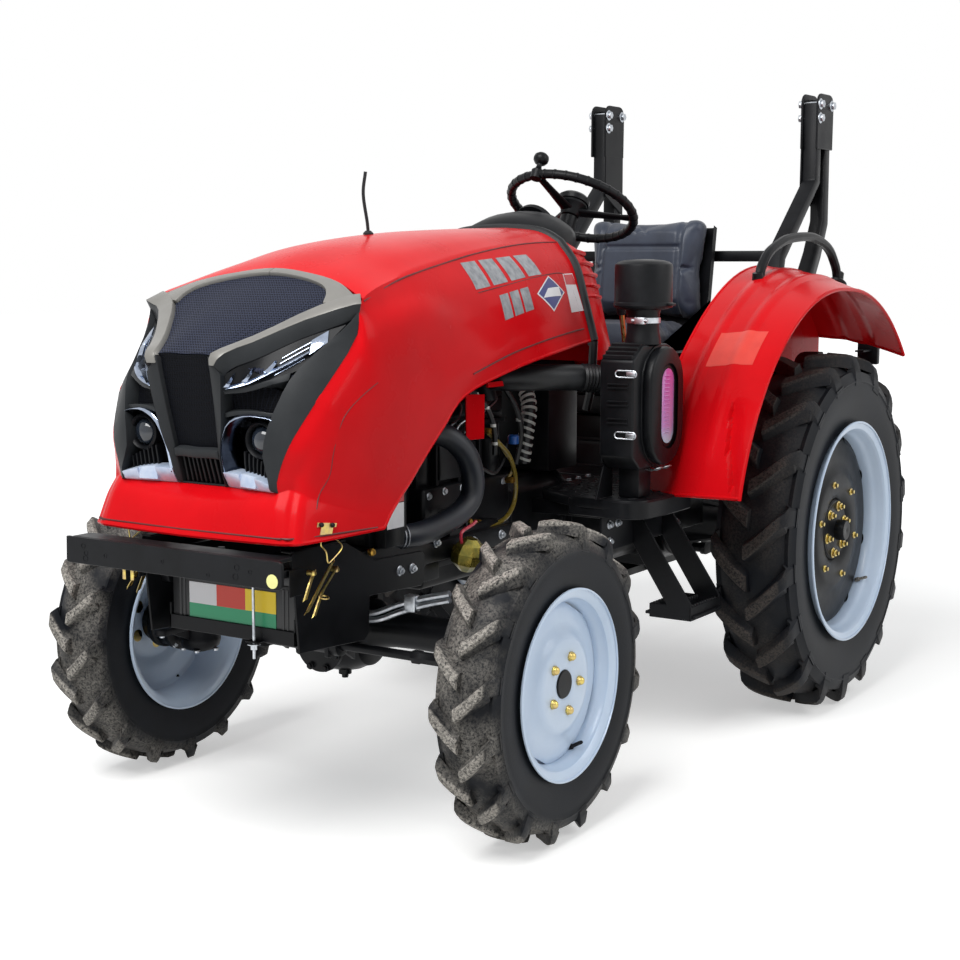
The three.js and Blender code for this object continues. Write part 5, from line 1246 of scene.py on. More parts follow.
paired("platform_bolts", left_bolts, "chassis", zinc, "chrome")

# ------------------------------------------------------------------ roll bar
# Welded steel legs, a front and a rear one on each side, meeting in a hollow clevis of two plates.
# Its upper hoop is taken off, so the zinc cross bolts stand bare in the plates; a channel joins the legs.

legs = []
for outline in (
    [(0.060, 0.6165), (0.100, 0.6165), (0.262, 1.325), (0.536, 1.570), (0.536, 1.827), (0.496, 1.827),
     (0.496, 1.580), (0.222, 1.345)],
    [(-0.040, 0.6165), (0.070, 0.6165), (0.560, 1.330), (0.616, 1.440), (0.612, 1.827), (0.570, 1.827),
     (0.572, 1.450), (0.520, 1.350)],
):
    legs.append(plate("leg", outline, "X", 0.361, 0.409, 0.0045))
for x0, x1 in ((0.3555, 0.3625), (0.4075, 0.4145)):
    legs.append(plate("cheek", [(0.486, 1.680), (0.620, 1.680), (0.622, 1.822),
                                *arc((0.590, 1.826), 0.030, 0, 90, 4),
                                (0.520, 1.856), *arc((0.516, 1.826), 0.030, 90, 180, 4), (0.486, 1.822)],
                      "X", x0, x1, 0.0018, 1))
legs.append(block("web", (0.3625, 0.4075), (0.545, 0.560), (1.685, 1.840), 0.002))
legs.append(plate("gusset", [(0.488, 1.545), (0.620, 1.480), (0.618, 1.690), (0.490, 1.690)], "X", 0.356,
                  0.361,
                  0.002, 1))
legs.append(plate("foot", [(-0.072, 0.590), (0.132, 0.590), (0.132, 0.632), (-0.072, 0.632)], "X", 0.350,
                  0.414,
                  0.006))
saddle = [pipe("saddle", [(x, 0.0766 * cos(a), 0.5265 + 0.0766 * sin(a)) for a in
                          [radians(200 - 220 * k / 16) for k in range(17)]], 0.0065, sides=8, rings=1)
          for x in (0.362, 0.402)]
left = joined("roll_bar_leg_left", [*legs, *saddle])
channel = plate("channel", [(0.226, 1.318), (0.262, 1.318), (0.262, 1.352), (0.226, 1.352)], "X", -0.366,
                0.366,
                0.003)
cross_bolt = hexagon_bolt("bolt", 0.026, washer=0.003)
shank = turned("shank", [(0, -0.030), (0.008, -0.030), (0.008, 0.030), (0, 0.030)], (0.385, 0, 0), steps=16)
nuts = []
for y, z in ((0.505, 1.822), (0.505, 1.778), (0.602, 1.822)):
    nuts.append(fasteners("n", cross_bolt, [((0.4145, y, z), "+X"), ((0.3555, y, z), "-X")]))
    nuts += copied(shank, Matrix.Translation((0, y, z)))
for y, z in ((-0.050, 0.632), (0.112, 0.632)):
    nuts.append(fasteners("n", cross_bolt, [((0.368, y, z), "+Z"), ((0.398, y, z), "+Z")]))
bpy.data.objects.remove(shank)
left_nuts = joined("roll_bar_bolts_left", nuts)
fitted(joined("roll_bar_legs", [*both_sides([left]), channel]), "chassis", black_enamel, "black_paint",
       "roll_bar")
paired("roll_bar_bolts", left_nuts, "chassis", zinc, "chrome")

# ------------------------------------------------------------------ air cleaner
# A black moulded filter box with a stadium-shaped cover, held by two wire toggle clips.
# A pre-cleaner drum stands on its neck under a worm-drive clamp; a rubber hose leads to the engine.

box_outline = [(-0.905, 0.785), (-0.757, 0.785), (-0.722, 0.800), (-0.712, 0.830), (-0.712, 1.060),
               (-0.722, 1.092), (-0.757, 1.105), (-0.895, 1.105), (-0.948, 1.066), (-0.948, 0.820)]
body = plate("body", box_outline, "X", 0.405, 0.502, 0.006, 3)
ridges = []
for k in range(4):
    y, z = -0.938 + 0.0153 * k, 1.071 + 0.009375 * k
    ridges.append(block("ridge", (0.410, 0.496), (y - 0.007, y + 0.004), (z - 0.002, z + 0.010), 0.002, 1))
for y in (-0.88, -0.855, -0.83):
    ridges.append(block("ridge", (0.410, 0.496), (y - 0.004, y + 0.004), (1.100, 1.1095), 0.002, 1))
for z in (1.006, 0.996, 0.962, 0.951, 0.917, 0.906):
    ridges.append(block("rib", (0.428, 0.488), (-0.9525, -0.944), (z - 0.0022, z + 0.0022), 0.001, 1))


def stadium(middle, half_width, half_height, steps=10):
    """The outline of an upright slot with round ends."""
    rise = half_height - half_width
    return (arc((middle[0], middle[1] + rise), half_width, 0, 180, steps)
            + arc((middle[0], middle[1] - rise), half_width, 180, 360, steps))


cover_middle = (-0.806, 0.945)
flange = plate("flange", stadium(cover_middle, 0.100, 0.160), "X", 0.497, 0.506, 0.002)
cover = plate("cover", stadium(cover_middle, 0.095, 0.155), "X", 0.504, 0.531, 0.009, 4)
in_edit(cover, (bpy.ops.mesh.inset, {"thickness": 0.038, "depth": 0.0}),
        (bpy.ops.transform.translate, {"value": (-0.004, 0, 0)}),
        select=lambda centre, normal: normal.x > 0.9 and centre.x > 0.530)
window_rim = plate("rim", stadium(cover_middle, 0.042, 0.106), "X", 0.524, 0.5295, 0.0015)
bracket = [block("stand", (0.425, 0.485), (-0.876, -0.806), (0.7055, 0.790), 0.004),
           plate("gusset", [(-0.960, 0.706), (-0.870, 0.706), (-0.870, 0.820), (-0.905, 0.820)], "X", 0.400,
                 0.405,
                 0.001, 1),
           block("strap", (0.398, 0.405), (-0.93, -0.76), (0.80, 0.86), 0.001)]
outlet = turned("outlet", [(0.030, 0.0), (0.040, 0.002), (0.040, 0.018), (0.030, 0.018)],
                (0.388, -0.851, 1.010),
                steps=28, closed=True)
fitted(joined("air_cleaner_box", [body, *ridges, flange, cover, window_rim, *bracket, outlet]), "chassis",
       black_abs,
       "brown_glass", "air_cleaner")
# A blank ribbed window: acrylic tinted magenta above and pale blue below.
tinted, tree, place, shader = new_material("tinted acrylic window", Roughness=0.12, Coat_Weight=0.6)
split = add(tree, "SeparateXYZ", [("Vector", place)])
height = add(tree, "MapRange", [("Value", split.outputs["Z"])], From_Min=0.845, From_Max=1.045)
bands = add(tree, "ValToRGB", [("Fac", height.outputs[0])])
bands.color_ramp.elements[0].position, bands.color_ramp.elements[0].color = 0.0, linear("#9FD0DC")
bands.color_ramp.elements[1].position, bands.color_ramp.elements[1].color = 1.0, linear("#C85AAE")
middle = bands.color_ramp.elements.new(0.24)
middle.color = linear("#B592C8")
tree.links.new(bands.outputs[0], shader.inputs["Base Color"])
pane = [plate("pane", stadium(cover_middle, 0.034, 0.098), "X", 0.525, 0.5305, 0.001)]
for k in range(15):
    pane.append(block("rib", (0.528, 0.5325), (-0.828, -0.800), (0.875 + 0.0105 * k, 0.8785 + 0.0105 * k),
                      0.0008, 1))
fitted(joined("air_cleaner_window", pane), "chassis", tinted, "brown_glass")
clips = []
for z in (1.034, 0.877):
    loop = stadium((0.484, z), 0.0085, 0.030)
    turned_loop = [(0.484 + (b - z), -0.9555, z + (a - 0.484)) for a, b in loop]
    clips.append(pipe("wire", [*turned_loop, turned_loop[0]], 0.0019, sides=8, rings=1))
    clips.append(block("lever", (0.486, 0.512), (-0.9585, -0.950), (z - 0.006, z + 0.006), 0.002))
for y in (-0.84, -0.79):
    clips.append(pipe("wire", [(0.470, y, 0.784), (0.500, y, 0.776), (0.520, y, 0.784),
                               (0.525, y + 0.02, 0.784),
                               (0.500, y + 0.022, 0.775), (0.470, y + 0.02, 0.784)], 0.0018, sides=8))
fitted(joined("air_cleaner_clips", clips), "chassis", zinc, "chrome")

NECK = (0.4675, -0.831)
drum = turned("drum", [
    (0.0, 1.3245), (0.020, 1.324), (0.050, 1.3215), (0.066, 1.317), (0.0735, 1.311), (0.0752, 1.304),
    (0.0748, 1.214), (0.0770, 1.212), (0.0775, 1.205), (0.0740, 1.200), (0.062, 1.196), (0.046, 1.194),
    (0.043, 1.186), (0.0415, 1.150), (0.0425, 1.135), (0.046, 1.118), (0.0475, 1.1055), (0.0, 1.1055),
], (*NECK, 0), "Z", 56)
tab = block("tab", (0.536, 0.556), (-0.845, -0.820), (1.205, 1.212), 0.002)
fitted(joined("pre_cleaner_drum", [drum, tab]), "chassis", black_abs, "brown_glass", "pre_cleaner")
clamp = turned("clamp", [(0.0435, 1.160), (0.0450, 1.160), (0.0450, 1.174), (0.0435, 1.174)], (*NECK, 0), "Z",
               40,
               closed=True)
screw = [block("housing", (0.470, 0.498), (-0.888, -0.872), (1.158, 1.176), 0.002),
         turned("screw", [(0, 0.0), (0.0055, 0.0), (0.0055, 0.044), (0, 0.044)], (0.462, -0.882, 1.167),
                steps=14)]
fitted(joined("pre_cleaner_clamp", [clamp, *screw]), "chassis", zinc, "chrome")

# The hose: smooth cuffs and a bellows of rings between them, moulded in one.
line = smooth([(0.4047, -0.851, 1.010), (0.375, -0.851, 1.010), (0.345, -0.885, 1.014),
               (0.315, -0.930, 1.018),
               (0.275, -0.990, 1.020), (0.235, -1.030, 1.020), (0.185, -1.060, 1.020),
               (0.1503, -1.060, 1.020)], 10)
rings = []
for k, at in enumerate(line):
    ahead = (line[min(k + 1, len(line) - 1)] - line[max(k - 1, 0)]).normalized()
    side = ahead.cross(Vector((0, 0, 1))).normalized()
    up = side.cross(ahead)
    ribbed = 12 <= k <= 26
    r = 0.0345 + (0.0035 if ribbed and k % 2 else -0.0015 if ribbed else 0.0)
    rings.append([at + side * r * cos(a) + up * r * sin(a) for a in [2 * pi * q / 24 for q in range(24)]])
fitted(lofted("intake_hose_bellows", rings), "chassis", seal_rubber, "hose_rubber", "intake_hose",
       smooth_to=50)
band = turned("intake_hose_clamp", [(0.0350, 0.0), (0.0375, 0.001), (0.0375, 0.011), (0.0350, 0.012)],
              (0.390, -0.851, 1.010), steps=32, closed=True)
fitted(band, "chassis", zinc, "chrome")

# ------------------------------------------------------------------ front axle
# A driven axle of cast iron in black enamel: a round banjo housing with bolted covers and a drain plug.
# Tubes lead out to the kingpin cases; a steering ram and its hoses lie ahead, and knuckles carry the hubs.

FRONT_Y = FRONT_HUB[1]
small_bolt = hexagon_bolt("small", 0.014, washer=0.0015)
banjo = turned("banjo", [(0, -0.105), (0.052, -0.105), (0.062, -0.100), (0.066, -0.085), (0.078, -0.062),
                         (0.086, -0.032), (0.087, -0.004), (0.087, 0.004), (0.086, 0.032), (0.078, 0.062),
                         (0.066, 0.085), (0.062, 0.100), (0.052, 0.105), (0, 0.105)], (0, FRONT_Y, 0), "X",
               44)
banjo.data.transform(Matrix.Translation((0, 0, 0.398)) @ Matrix.Diagonal((1, 1, 0.90, 1)))
cast = [banjo]
for face in (-1, 1):
    cast.append(turned("cover", [(0, 0.0), (0.040, 0.0), (0.052, 0.004), (0.070, 0.006), (0.070, 0.016),
                                 (0, 0.016)],
                       (0, 0, 0), "Y", 36))
    cast[-1].data.transform(Matrix.Translation((0, FRONT_Y + 0.0905 * face, 0.398)) @ Matrix.Scale(-face, 4,
                                                                                                   (0, 1, 0)))
cast.append(turned("pin", [(0, -0.120), (0.021, -0.120), (0.0238, -0.117), (0.0238, 0.117), (0.021, 0.120),
                           (0, 0.120)], (0, FRONT_Y, 0.440), "Y", 24))
cast.append(turned("drain", [(0, -0.002), (0.016, -0.002), (0.016, 0.010), (0, 0.010)],
                   (0.030, FRONT_Y - 0.02, 0.318),
                   "Z", 20))
cast.append(turned("plug", [(0, -0.012), (0.008, -0.012), (0.009, -0.010), (0.009, 0.002), (0, 0.002)],
                   (0.030, FRONT_Y - 0.02, 0.318), "Z", 6))
tube = turned("tube", [(0, 0.090), (0.062, 0.090), (0.066, 0.096), (0.066, 0.106), (0.058, 0.112),
                       (0.050, 0.135),
                       (0.044, 0.175), (0.042, 0.230), (0.042, 0.350), (0.044, 0.372), (0.050, 0.384),
                       (0.050, 0.404), (0.046, 0.412), (0.046, 0.436), (0, 0.436)], (0, FRONT_Y, 0.440), "X",
              32)
case = turned("case", [(0, 0.396), (0.052, 0.396), (0.054, 0.399), (0.054, 0.408), (0.050, 0.414),
                       (0.049, 0.450),
                       (0.052, 0.458), (0.054, 0.462), (0.054, 0.472), (0.044, 0.479), (0.034, 0.4815),
                       (0.014, 0.482), (0.014, 0.487), (0, 0.488)], (0.460, FRONT_Y, 0), "Z", 32)
stay = plate("stay", [(-1.7125, 0.398), (-1.700, 0.3945), (-1.640, 0.3945), (-1.606, 0.372), (-1.606, 0.450),
                      (-1.640, 0.4555), (-1.700, 0.4555), (-1.7125, 0.452)], "X", 0.095, 0.107, 0.002)
axle = joined("front_axle_housing", [*cast, *both_sides([tube, case, stay])])
fitted(axle, "chassis", black_enamel, "cast_iron", "front_axle")
heads = []
for face, facing in ((-1, "-Y"), (1, "+Y")):
    heads += [((0.061 * cos(a), FRONT_Y + 0.0905 * face, 0.398 + 0.061 * sin(a)), facing)
              for a in [2 * pi * k / 8 + 0.39 for k in range(8)] if not (0.6 < a < 2.6)]
for side in (-1, 1):
    heads += [((0.460 * side + 0.044 * cos(a), FRONT_Y + 0.044 * sin(a), 0.474), "+Z")
              for a in (0.8, 2.36, 3.93, 5.5)]
    heads += [(Vector((0.384 * side, FRONT_Y, 0.440)) + Vector((0, 0.043 * cos(a), 0.043 * sin(a))),
               "-X" if side > 0 else "+X") for a in (0.5, 1.6, 2.7, 3.8, 4.9, 5.9)]
fitted(fasteners("front_axle_bolts", small_bolt, heads), "chassis", black_enamel, "cast_iron")

ROD_Y, ROD_Z = -1.685, 0.425
barrel = turned("barrel", [(0.0125, -0.130), (0.022, -0.130), (0.0265, -0.127), (0.0268, -0.108),
                           (0.0240, -0.104),
                           (0.0240, 0.104), (0.0268, 0.108), (0.0265, 0.127), (0.022, 0.130),
                           (0.0125, 0.130)],
                (0, ROD_Y, ROD_Z), "X", 32, closed=True)
ports = [turned("port", [(0, 0.018), (0.009, 0.018), (0.009, 0.034), (0.006, 0.036), (0, 0.036)],
                (x, ROD_Y, ROD_Z), "Z", 16) for x in (-0.085, 0.085)]
fitted(joined("steering_cylinder_barrel", [barrel, *ports]), "chassis", black_enamel, "black_paint",
       "steering_cylinder")
hoses = [pipe("hose", [(x, ROD_Y, ROD_Z + 0.036), (x, ROD_Y + 0.004, 0.490), (x * 1.1, -1.650, 0.520),
                       (x * 1.25, -1.560, 0.522), (x * 1.3, -1.440, 0.535), (x * 1.2, -1.360, 0.530)], 0.0065)
         for x in (-0.085, 0.085)]
fitted(joined("steering_hoses", hoses), "chassis", seal_rubber, "hose_rubber")

# The track rod runs through the ram to a ball joint on each steering arm; black enamel, with locknuts.
track_rod = [turned("rod", [(0, -0.433), (0.0105, -0.433), (0.011, -0.432), (0.011, 0.432), (0.0105, 0.433),
                            (0, 0.433)], (0, ROD_Y, ROD_Z), "X", 24)]
for side in (-1, 1):
    track_rod.append(turned("ball", [(0, 0.4005), (0.010, 0.4005), (0.012, 0.4065), (0.019, 0.411),
                                     (0.020, 0.418),
                                     (0.020, 0.434), (0.017, 0.441), (0.008, 0.4465), (0, 0.447)],
                            (0.445 * side, ROD_Y, 0), "Z", 24))
sleeve = turned("sleeve", [(0.0112, 0.330), (0.0165, 0.331), (0.0165, 0.352), (0.0145, 0.356),
                           (0.0145, 0.412),
                           (0.0165, 0.418), (0.0165, 0.430), (0.0112, 0.430)], (0, ROD_Y, ROD_Z), "X", 6,
                closed=True)
track_rod += both_sides([sleeve])
fitted(joined("steering_rod_bar", track_rod), "steering_rod", black_enamel, "black_paint", "steering_rod")

housing = turned("lower_case", [(0, 0.307), (0.020, 0.307), (0.022, 0.3115), (0.040, 0.313), (0.050, 0.322),
                                (0.054, 0.334), (0.054, 0.342), (0.050, 0.348), (0.049, 0.376),
                                (0.054, 0.382),
                                (0.054, 0.3953), (0, 0.3953)], (0.460, FRONT_Y, 0), "Z", 32)
hub = turned("hub", [(0, 0.462), (0.030, 0.462), (0.034, 0.490), (0.044, 0.508), (0.062, 0.516),
                     (0.066, 0.520),
                     (0.066, 0.532), (0.060, 0.536), (0.059, 0.566), (0.062, 0.570), (0.066, 0.572),
                     (0.066, 0.586),
                     (0.054, 0.589), (0.052, 0.592), (0.052, 0.617), (0.0343, 0.617), (0.0343, 0.632),
                     (0.031, 0.637), (0.012, 0.6375), (0, 0.6375)], (0, FRONT_Y, 0.369), "X", 40)
arm = plate("arm", [(0.490, -1.515), (0.430, -1.515), (0.424, -1.560), (0.4255, -1.680),
                    *arc((0.445, -1.6855), 0.020, 190, 350, 8), (0.4655, -1.670), (0.478, -1.580)], "Z",
            0.378, 0.394, 0.003)
rib = plate("rib", [(-1.575, 0.379), (-1.660, 0.379), (-1.575, 0.345)], "X", 0.450, 0.462, 0.001, 1)
knuckle = joined("knuckle_case_left", [housing, hub, arm, rib])
bolts = fasteners("knuckle_bolts_left", small_bolt, [
    *((Vector((0.520, FRONT_Y, 0.369)) + Vector((0, 0.0575 * cos(a), 0.0575 * sin(a))), "-X")
      for a in [2 * pi * k / 8 + 0.2 for k in range(8)]),
    *(((0.460 + 0.045 * cos(a), FRONT_Y + 0.045 * sin(a), 0.316), "-Z") for a in (0.4, 1.7, 2.9, 4.2, 5.4)),
    ((0.445, ROD_Y, 0.378), "-Z")])
paired("knuckle_case", knuckle, "knuckle", black_enamel, "cast_iron", "knuckle")
paired("knuckle_bolts", bolts, "knuckle", zinc, "chrome")

# ------------------------------------------------------------------ front frame, bumper and battery
# Welded plate rails in black enamel with a chamfered side plate and two pivot lugs, bolted to the engine.
# A folded bumper plate with round ends closes the front; the battery sits in a tray behind it by a J-bolt.

rail = plate("rail", [(-2.120, 0.642), (-1.950, 0.642), (-1.925, 0.580), (-1.480, 0.580), (-1.460, 0.592),
                      (-1.050, 0.592), (-1.050, 0.640), (-1.440, 0.640), (-1.475, 0.660), (-2.120, 0.660)],
             "X", 0.190, 0.2148, 0.003)
cheek = plate("cheek", [(-1.960, 0.470), (-1.722, 0.456), (-1.705, 0.470), (-1.700, 0.556), (-1.490, 0.546),
                        (-1.478, 0.556), (-1.478, 0.622), (-1.490, 0.630), (-1.680, 0.636), (-1.790, 0.692),
                        (-1.975, 0.700), (-1.985, 0.690)], "X", 0.2145, 0.2200, 0.001, 1)
fold = block("fold", (0.190, 0.2200), (-1.985, -1.790), (0.6945, 0.6990), 0.001, 1)
tie = block("tie", (0.200, 0.218), (-2.063, -2.045), (0.655, 0.700), 0.002, 1)
parts = both_sides([rail, cheek, fold, tie])
parts += [block("cross", (-0.214, 0.214), (-1.645, -1.405), (0.550, 0.592), 0.002),
          block("cross", (-0.214, 0.214), (-1.715, -1.585), (0.648, 0.660), 0.002),
          block("cross", (-0.214, 0.214), (-2.076, -2.064), (0.636, 0.660), 0.002)]
for y0, y1 in ((-1.645, -1.619), (-1.431, -1.405)):
    lug = plate("lug", [(-0.046, 0.552), (-0.046, 0.440), *arc((0, 0.440), 0.046, 200, 340, 8),
                        (0.046, 0.440),
                        (0.046, 0.552)], "Y", y0, y1, 0)
    apply_modifier(lug, "BEVEL", width=0.002, segments=1, limit_method="ANGLE", angle_limit=radians(50))
    hole = turned("hole", [(0, -0.02), (0.0242, -0.02), (0.0242, 0.05), (0, 0.05)], (0, y0, 0.440), "Y", 24)
    apply_modifier(lug, "BOOLEAN", object=hole, operation="DIFFERENCE", solver="EXACT")
    bpy.data.objects.remove(hole)
    parts.append(lug)
fitted(joined("front_frame_rails", parts), "chassis", black_enamel, "black_paint", "front_frame")
frame_bolts = fasteners("front_frame_bolts", bolt, [
    ((side * x, y, z), facing) for side, facing in ((1, "+X"), (-1, "-X"))
    for x, y, z in ((0.220, -1.582, 0.596), (0.220, -1.530, 0.594), (0.2148, -1.300, 0.620),
                    (0.2148, -1.250, 0.620),
                    (0.2148, -1.120, 0.620), (0.2148, -1.420, 0.640))])
fitted(frame_bolts, "chassis", zinc, "chrome")
brass = finish("dull brass", "#B08A3E", "#7F5F2A", 0.01, 0.35, spread=0.2, Metallic=1.0)
pins = [turned("pin", [(0, 0), (0.008, 0), (0.009, 0.003), (0.009, 0.010), (0.006, 0.014), (0, 0.014)],
               (x, -1.700, 0.658), "X", 14) for x in (0.2195, -0.2335)]
fitted(joined("frame_pins", pins), "chassis", brass, "chrome")

bumper_face = plate("face", [(-0.311, 0.700), *arc((-0.304, 0.6545), 0.008, 180, 270, 4),
                             *arc((0.298, 0.658), 0.012, 270, 360, 4), *arc((0.300, 0.696), 0.010, 0, 90, 4),
                             (-0.311, 0.706)], "Y", -2.130, -2.121, 0.001, 1)
flange = plate("flange", [(-0.296, -2.124), (0.290, -2.124), (0.290, -2.070), (0.280, -2.068),
                          (-0.286, -2.068),
                          (-0.296, -2.072)], "Z", 0.6985, 0.7068, 0.001, 1)
holes = []
for x, z, r in ((-0.258, 0.688, 0.005), (-0.250, 0.672, 0.0045), (-0.252, 0.660, 0.006),
                (0.190, 0.684, 0.0055),
                (0.186, 0.664, 0.006), (-0.190, 0.672, 0.0035), (0.226, 0.678, 0.0035),
                (-0.020, 0.676, 0.003),
                (0.110, 0.660, 0.003)):
    holes.append(turned("hole", [(r, -2.1298), (r + 0.0005, -2.1310), (r + 0.0012, -2.1310),
                                 (r + 0.0018, -2.1298)],
                        (x, 0, z), "Y", 20, closed=True))
fitted(joined("bumper_plate", [bumper_face, flange, *holes]), "chassis", black_enamel, "black_paint",
       "bumper",
       smooth_to=15)
# A round paper dot, pale yellow and blank.
yellow_paper = finish("pale yellow paper sticker", "#E9E79A", "#DEDB8C", 0.03, 0.55, 0.002, 0.00005)
dot = turned("dot", [(0, 0), (0.0150, 0), (0.0150, 0.0006), (0, 0.0006)], (0.2855, -2.1308, 0.6640), "Y", 28)
fitted(dot, "chassis", yellow_paper, "black_paint")
tabs = [block("tab", (x, x + 0.009), (-2.119, -2.117), (0.622, 0.648), 0.0015) for x in (-0.150, -0.126)]
fitted(joined("bumper_tabs", tabs), "chassis", gold_zinc, "chrome")

tray = [plate("wall", [(-1.932, 0.475), (-1.770, 0.475), (-1.770, 0.535), (-1.775, 0.535), (-1.775, 0.480),
                       (-1.927, 0.480), (-1.927, 0.508), (-1.932, 0.508)], "X", -0.186, 0.186, 0.001, 1)]
tray += both_sides([block("end", (0.181, 0.186), (-1.932, -1.770), (0.475, 0.535), 0.001, 1),
                    block("arm", (0.181, 0.1896), (-1.902, -1.800), (0.495, 0.640), 0.001, 1)])
tray.append(block("tongue", (0.062, 0.096), (-1.956, -1.930), (0.4755, 0.479), 0.0008, 1))
fitted(joined("battery_tray_box", tray), "chassis", black_enamel, "black_paint", "battery_tray")

polypropylene = finish("black polypropylene", "#101113", "#1A1B1E", 0.05, 0.42, 0.002, 0.0002)
case = block("case", (-0.1805, 0.1805), (-1.9265, -1.7755), (0.4815, 0.608), 0.004)
cap = block("cap", (-0.1790, 0.1790), (-1.9250, -1.7770), (0.606, 0.632), 0.005)
ribs = [block("rib", (x, x + 0.006), (-1.9285, -1.920), (0.500, 0.600), 0.001, 1)
        for x in (-0.158, -0.146, 0.146, 0.158)]
plugs = [turned("plug", [(0, 0.630), (0.010, 0.630), (0.010, 0.636), (0.008, 0.6385), (0, 0.6385)],
                (-0.100 + 0.040 * k, -1.870, 0), "Z", 16) for k in range(6)]
fitted(joined("battery_case", [case, cap, *ribs, *plugs]), "chassis", polypropylene, "battery_case",
       "battery")
lead = finish("dull lead", "#7E8287", "#5F6367", 0.01, 0.5, spread=0.2, Metallic=1.0)
posts = [turned("post", [(0, 0.630), (0.010, 0.630), (0.0085, 0.650), (0, 0.650)], (x, -1.800, 0), "Z", 16)
         for x in (-0.140, 0.140)]
fitted(joined("battery_posts", posts), "chassis", lead, "battery_case")
# The battery's label, printed in plain bands of colour.
for colour, hex_colour, x, z in (
    ("white", "#DADADD", (-0.127, -0.045), (0.541, 0.590)), ("red", "#C8321F", (-0.045, 0.040),
                                                             (0.541, 0.590)),
    ("yellow", "#F0CF1E", (0.040, 0.128), (0.541, 0.590)), ("green", "#1E9264", (-0.127, 0.128),
                                                            (0.508, 0.541)),
):
    vinyl_print = finish(f"{colour} label vinyl", hex_colour, hex_colour, 0.05, 0.35)
    fitted(block(f"battery_label_{colour}", x, (-1.9282, -1.9262), z, 0), "chassis", vinyl_print,
           "battery_case")
hook = [pipe("hook", [(0.079, -1.905, 0.634), (0.079, -1.930, 0.640), (0.079, -1.942, 0.636),
                      (0.079, -1.946, 0.620),
                      (0.079, -1.946, 0.438)], 0.0034, sides=12),
        turned("washer", [(0.0035, 0.4700), (0.0150, 0.4700), (0.0150, 0.4722), (0.0035, 0.4722)],
               (0.079, -1.946, 0),
               "Z", 20, closed=True),
        turned("nut", [(0.0035, 0.4590), (0.0080, 0.4590), (0.0080, 0.4690), (0.0035, 0.4690)],
               (0.079, -1.946, 0),
               "Z", 6, closed=True)]
fitted(joined("battery_hook_bolt", hook), "chassis", zinc, "chrome")

# ------------------------------------------------------------------ hood latches
# Yellow-passivated toggle latches at the hood's lower corners: a catch plate held by two black screws,
# a bent wire loop, and a lever of three flat legs with a ring, on two flanged pivots at the frame.

catches, screws = [], []
for corners in ([(11.28, 5.08), (11.26, 5.36), (11.46, 5.36), (11.46, 5.08)],
                [(11.44, 5.15), (11.44, 5.32), (11.78, 5.32), (11.78, 5.15)]):
    a, b, c, d = (Vector(corner) for corner in corners)
    rows = [[skin(*a.lerp(b, u).lerp(d.lerp(c, u), v), 0.002) for v in (0, 0.5, 1)] for u in (0, 0.5, 1)]
    catches.append(lofted("catch", rows, closed=False, wall=0.002))
for rail in (5.14, 5.30):
    screw = start("screw", bpy.ops.mesh.primitive_uv_sphere_add, segments=12, ring_count=6, radius=0.0055)
    screw.data.transform(Matrix.Translation(skin(11.37, rail, 0.004)))
    screws.append(screw)
wire = pipe("wire", [(0.290, y, z) for y, z in
                     ((-1.964, 0.737), (-1.972, 0.719), (-1.954, 0.701), (-1.948, 0.678), (-1.937, 0.679),
                      (-1.898, 0.702), (-1.912, 0.719), (-1.936, 0.733))], 0.0017, sides=8)
lever = []
for x, line, half in ((0.258, [(-1.895, 0.667), (-1.914, 0.648), (-1.946, 0.614), (-1.985, 0.572)], 0.0100),
                      (0.250, [(-1.949, 0.653), (-1.963, 0.631), (-1.981, 0.597)], 0.0080),
                      (0.256, [(-1.879, 0.651), (-1.904, 0.629), (-1.929, 0.606), (-1.958, 0.558)], 0.0080)):
    rows = [[(x + 0.002, y - half, z - half * 0.5), (x + 0.005, y - half * 0.5, z),
             (x + 0.005, y + half * 0.5, z),
             (x + 0.002, y + half, z + half * 0.5)] for y, z in smooth(line, 6)]
    lever.append(lofted("leg", rows, closed=False, wall=0.0018))
pivot = [turned("pivot", [(0, -0.010), (0.0070, -0.010), (0.0070, 0.006), (0.0040, 0.010), (0, 0.010)], at,
                "X", 12)
         for at in ((0.250, -1.953, 0.651), (0.250, -1.871, 0.647))]
ring = start("ring", bpy.ops.mesh.primitive_torus_add, major_radius=0.011, minor_radius=0.0018,
             major_segments=24,
             minor_segments=8)
ring.data.transform(Matrix.Translation((0.262, -1.927, 0.595)) @ Matrix.Rotation(radians(12), 4, "Y"))
base = block("base", (0.2195, 0.2225), (-1.995, -1.950), (0.600, 0.660), 0.001, 1)
fitted(joined("hood_latch_catches", both_sides(catches)), "hood", gold_zinc, "chrome")
fitted(joined("hood_latch_screws", both_sides(screws)), "hood", black_abs, "chrome")
fitted(joined("hood_latch_levers", both_sides([wire, *lever, *pivot, ring])), "chassis", gold_zinc, "chrome")
fitted(joined("hood_latch_bases", both_sides([base])), "chassis", black_enamel, "black_paint")

# ------------------------------------------------------------------ radiator and cooling hose
# A brazed radiator in a black sheet frame with its fan shroud behind, on the frame's cross plate.
# A thick moulded rubber hose curves down from it to the engine, gripped by wire clamps.

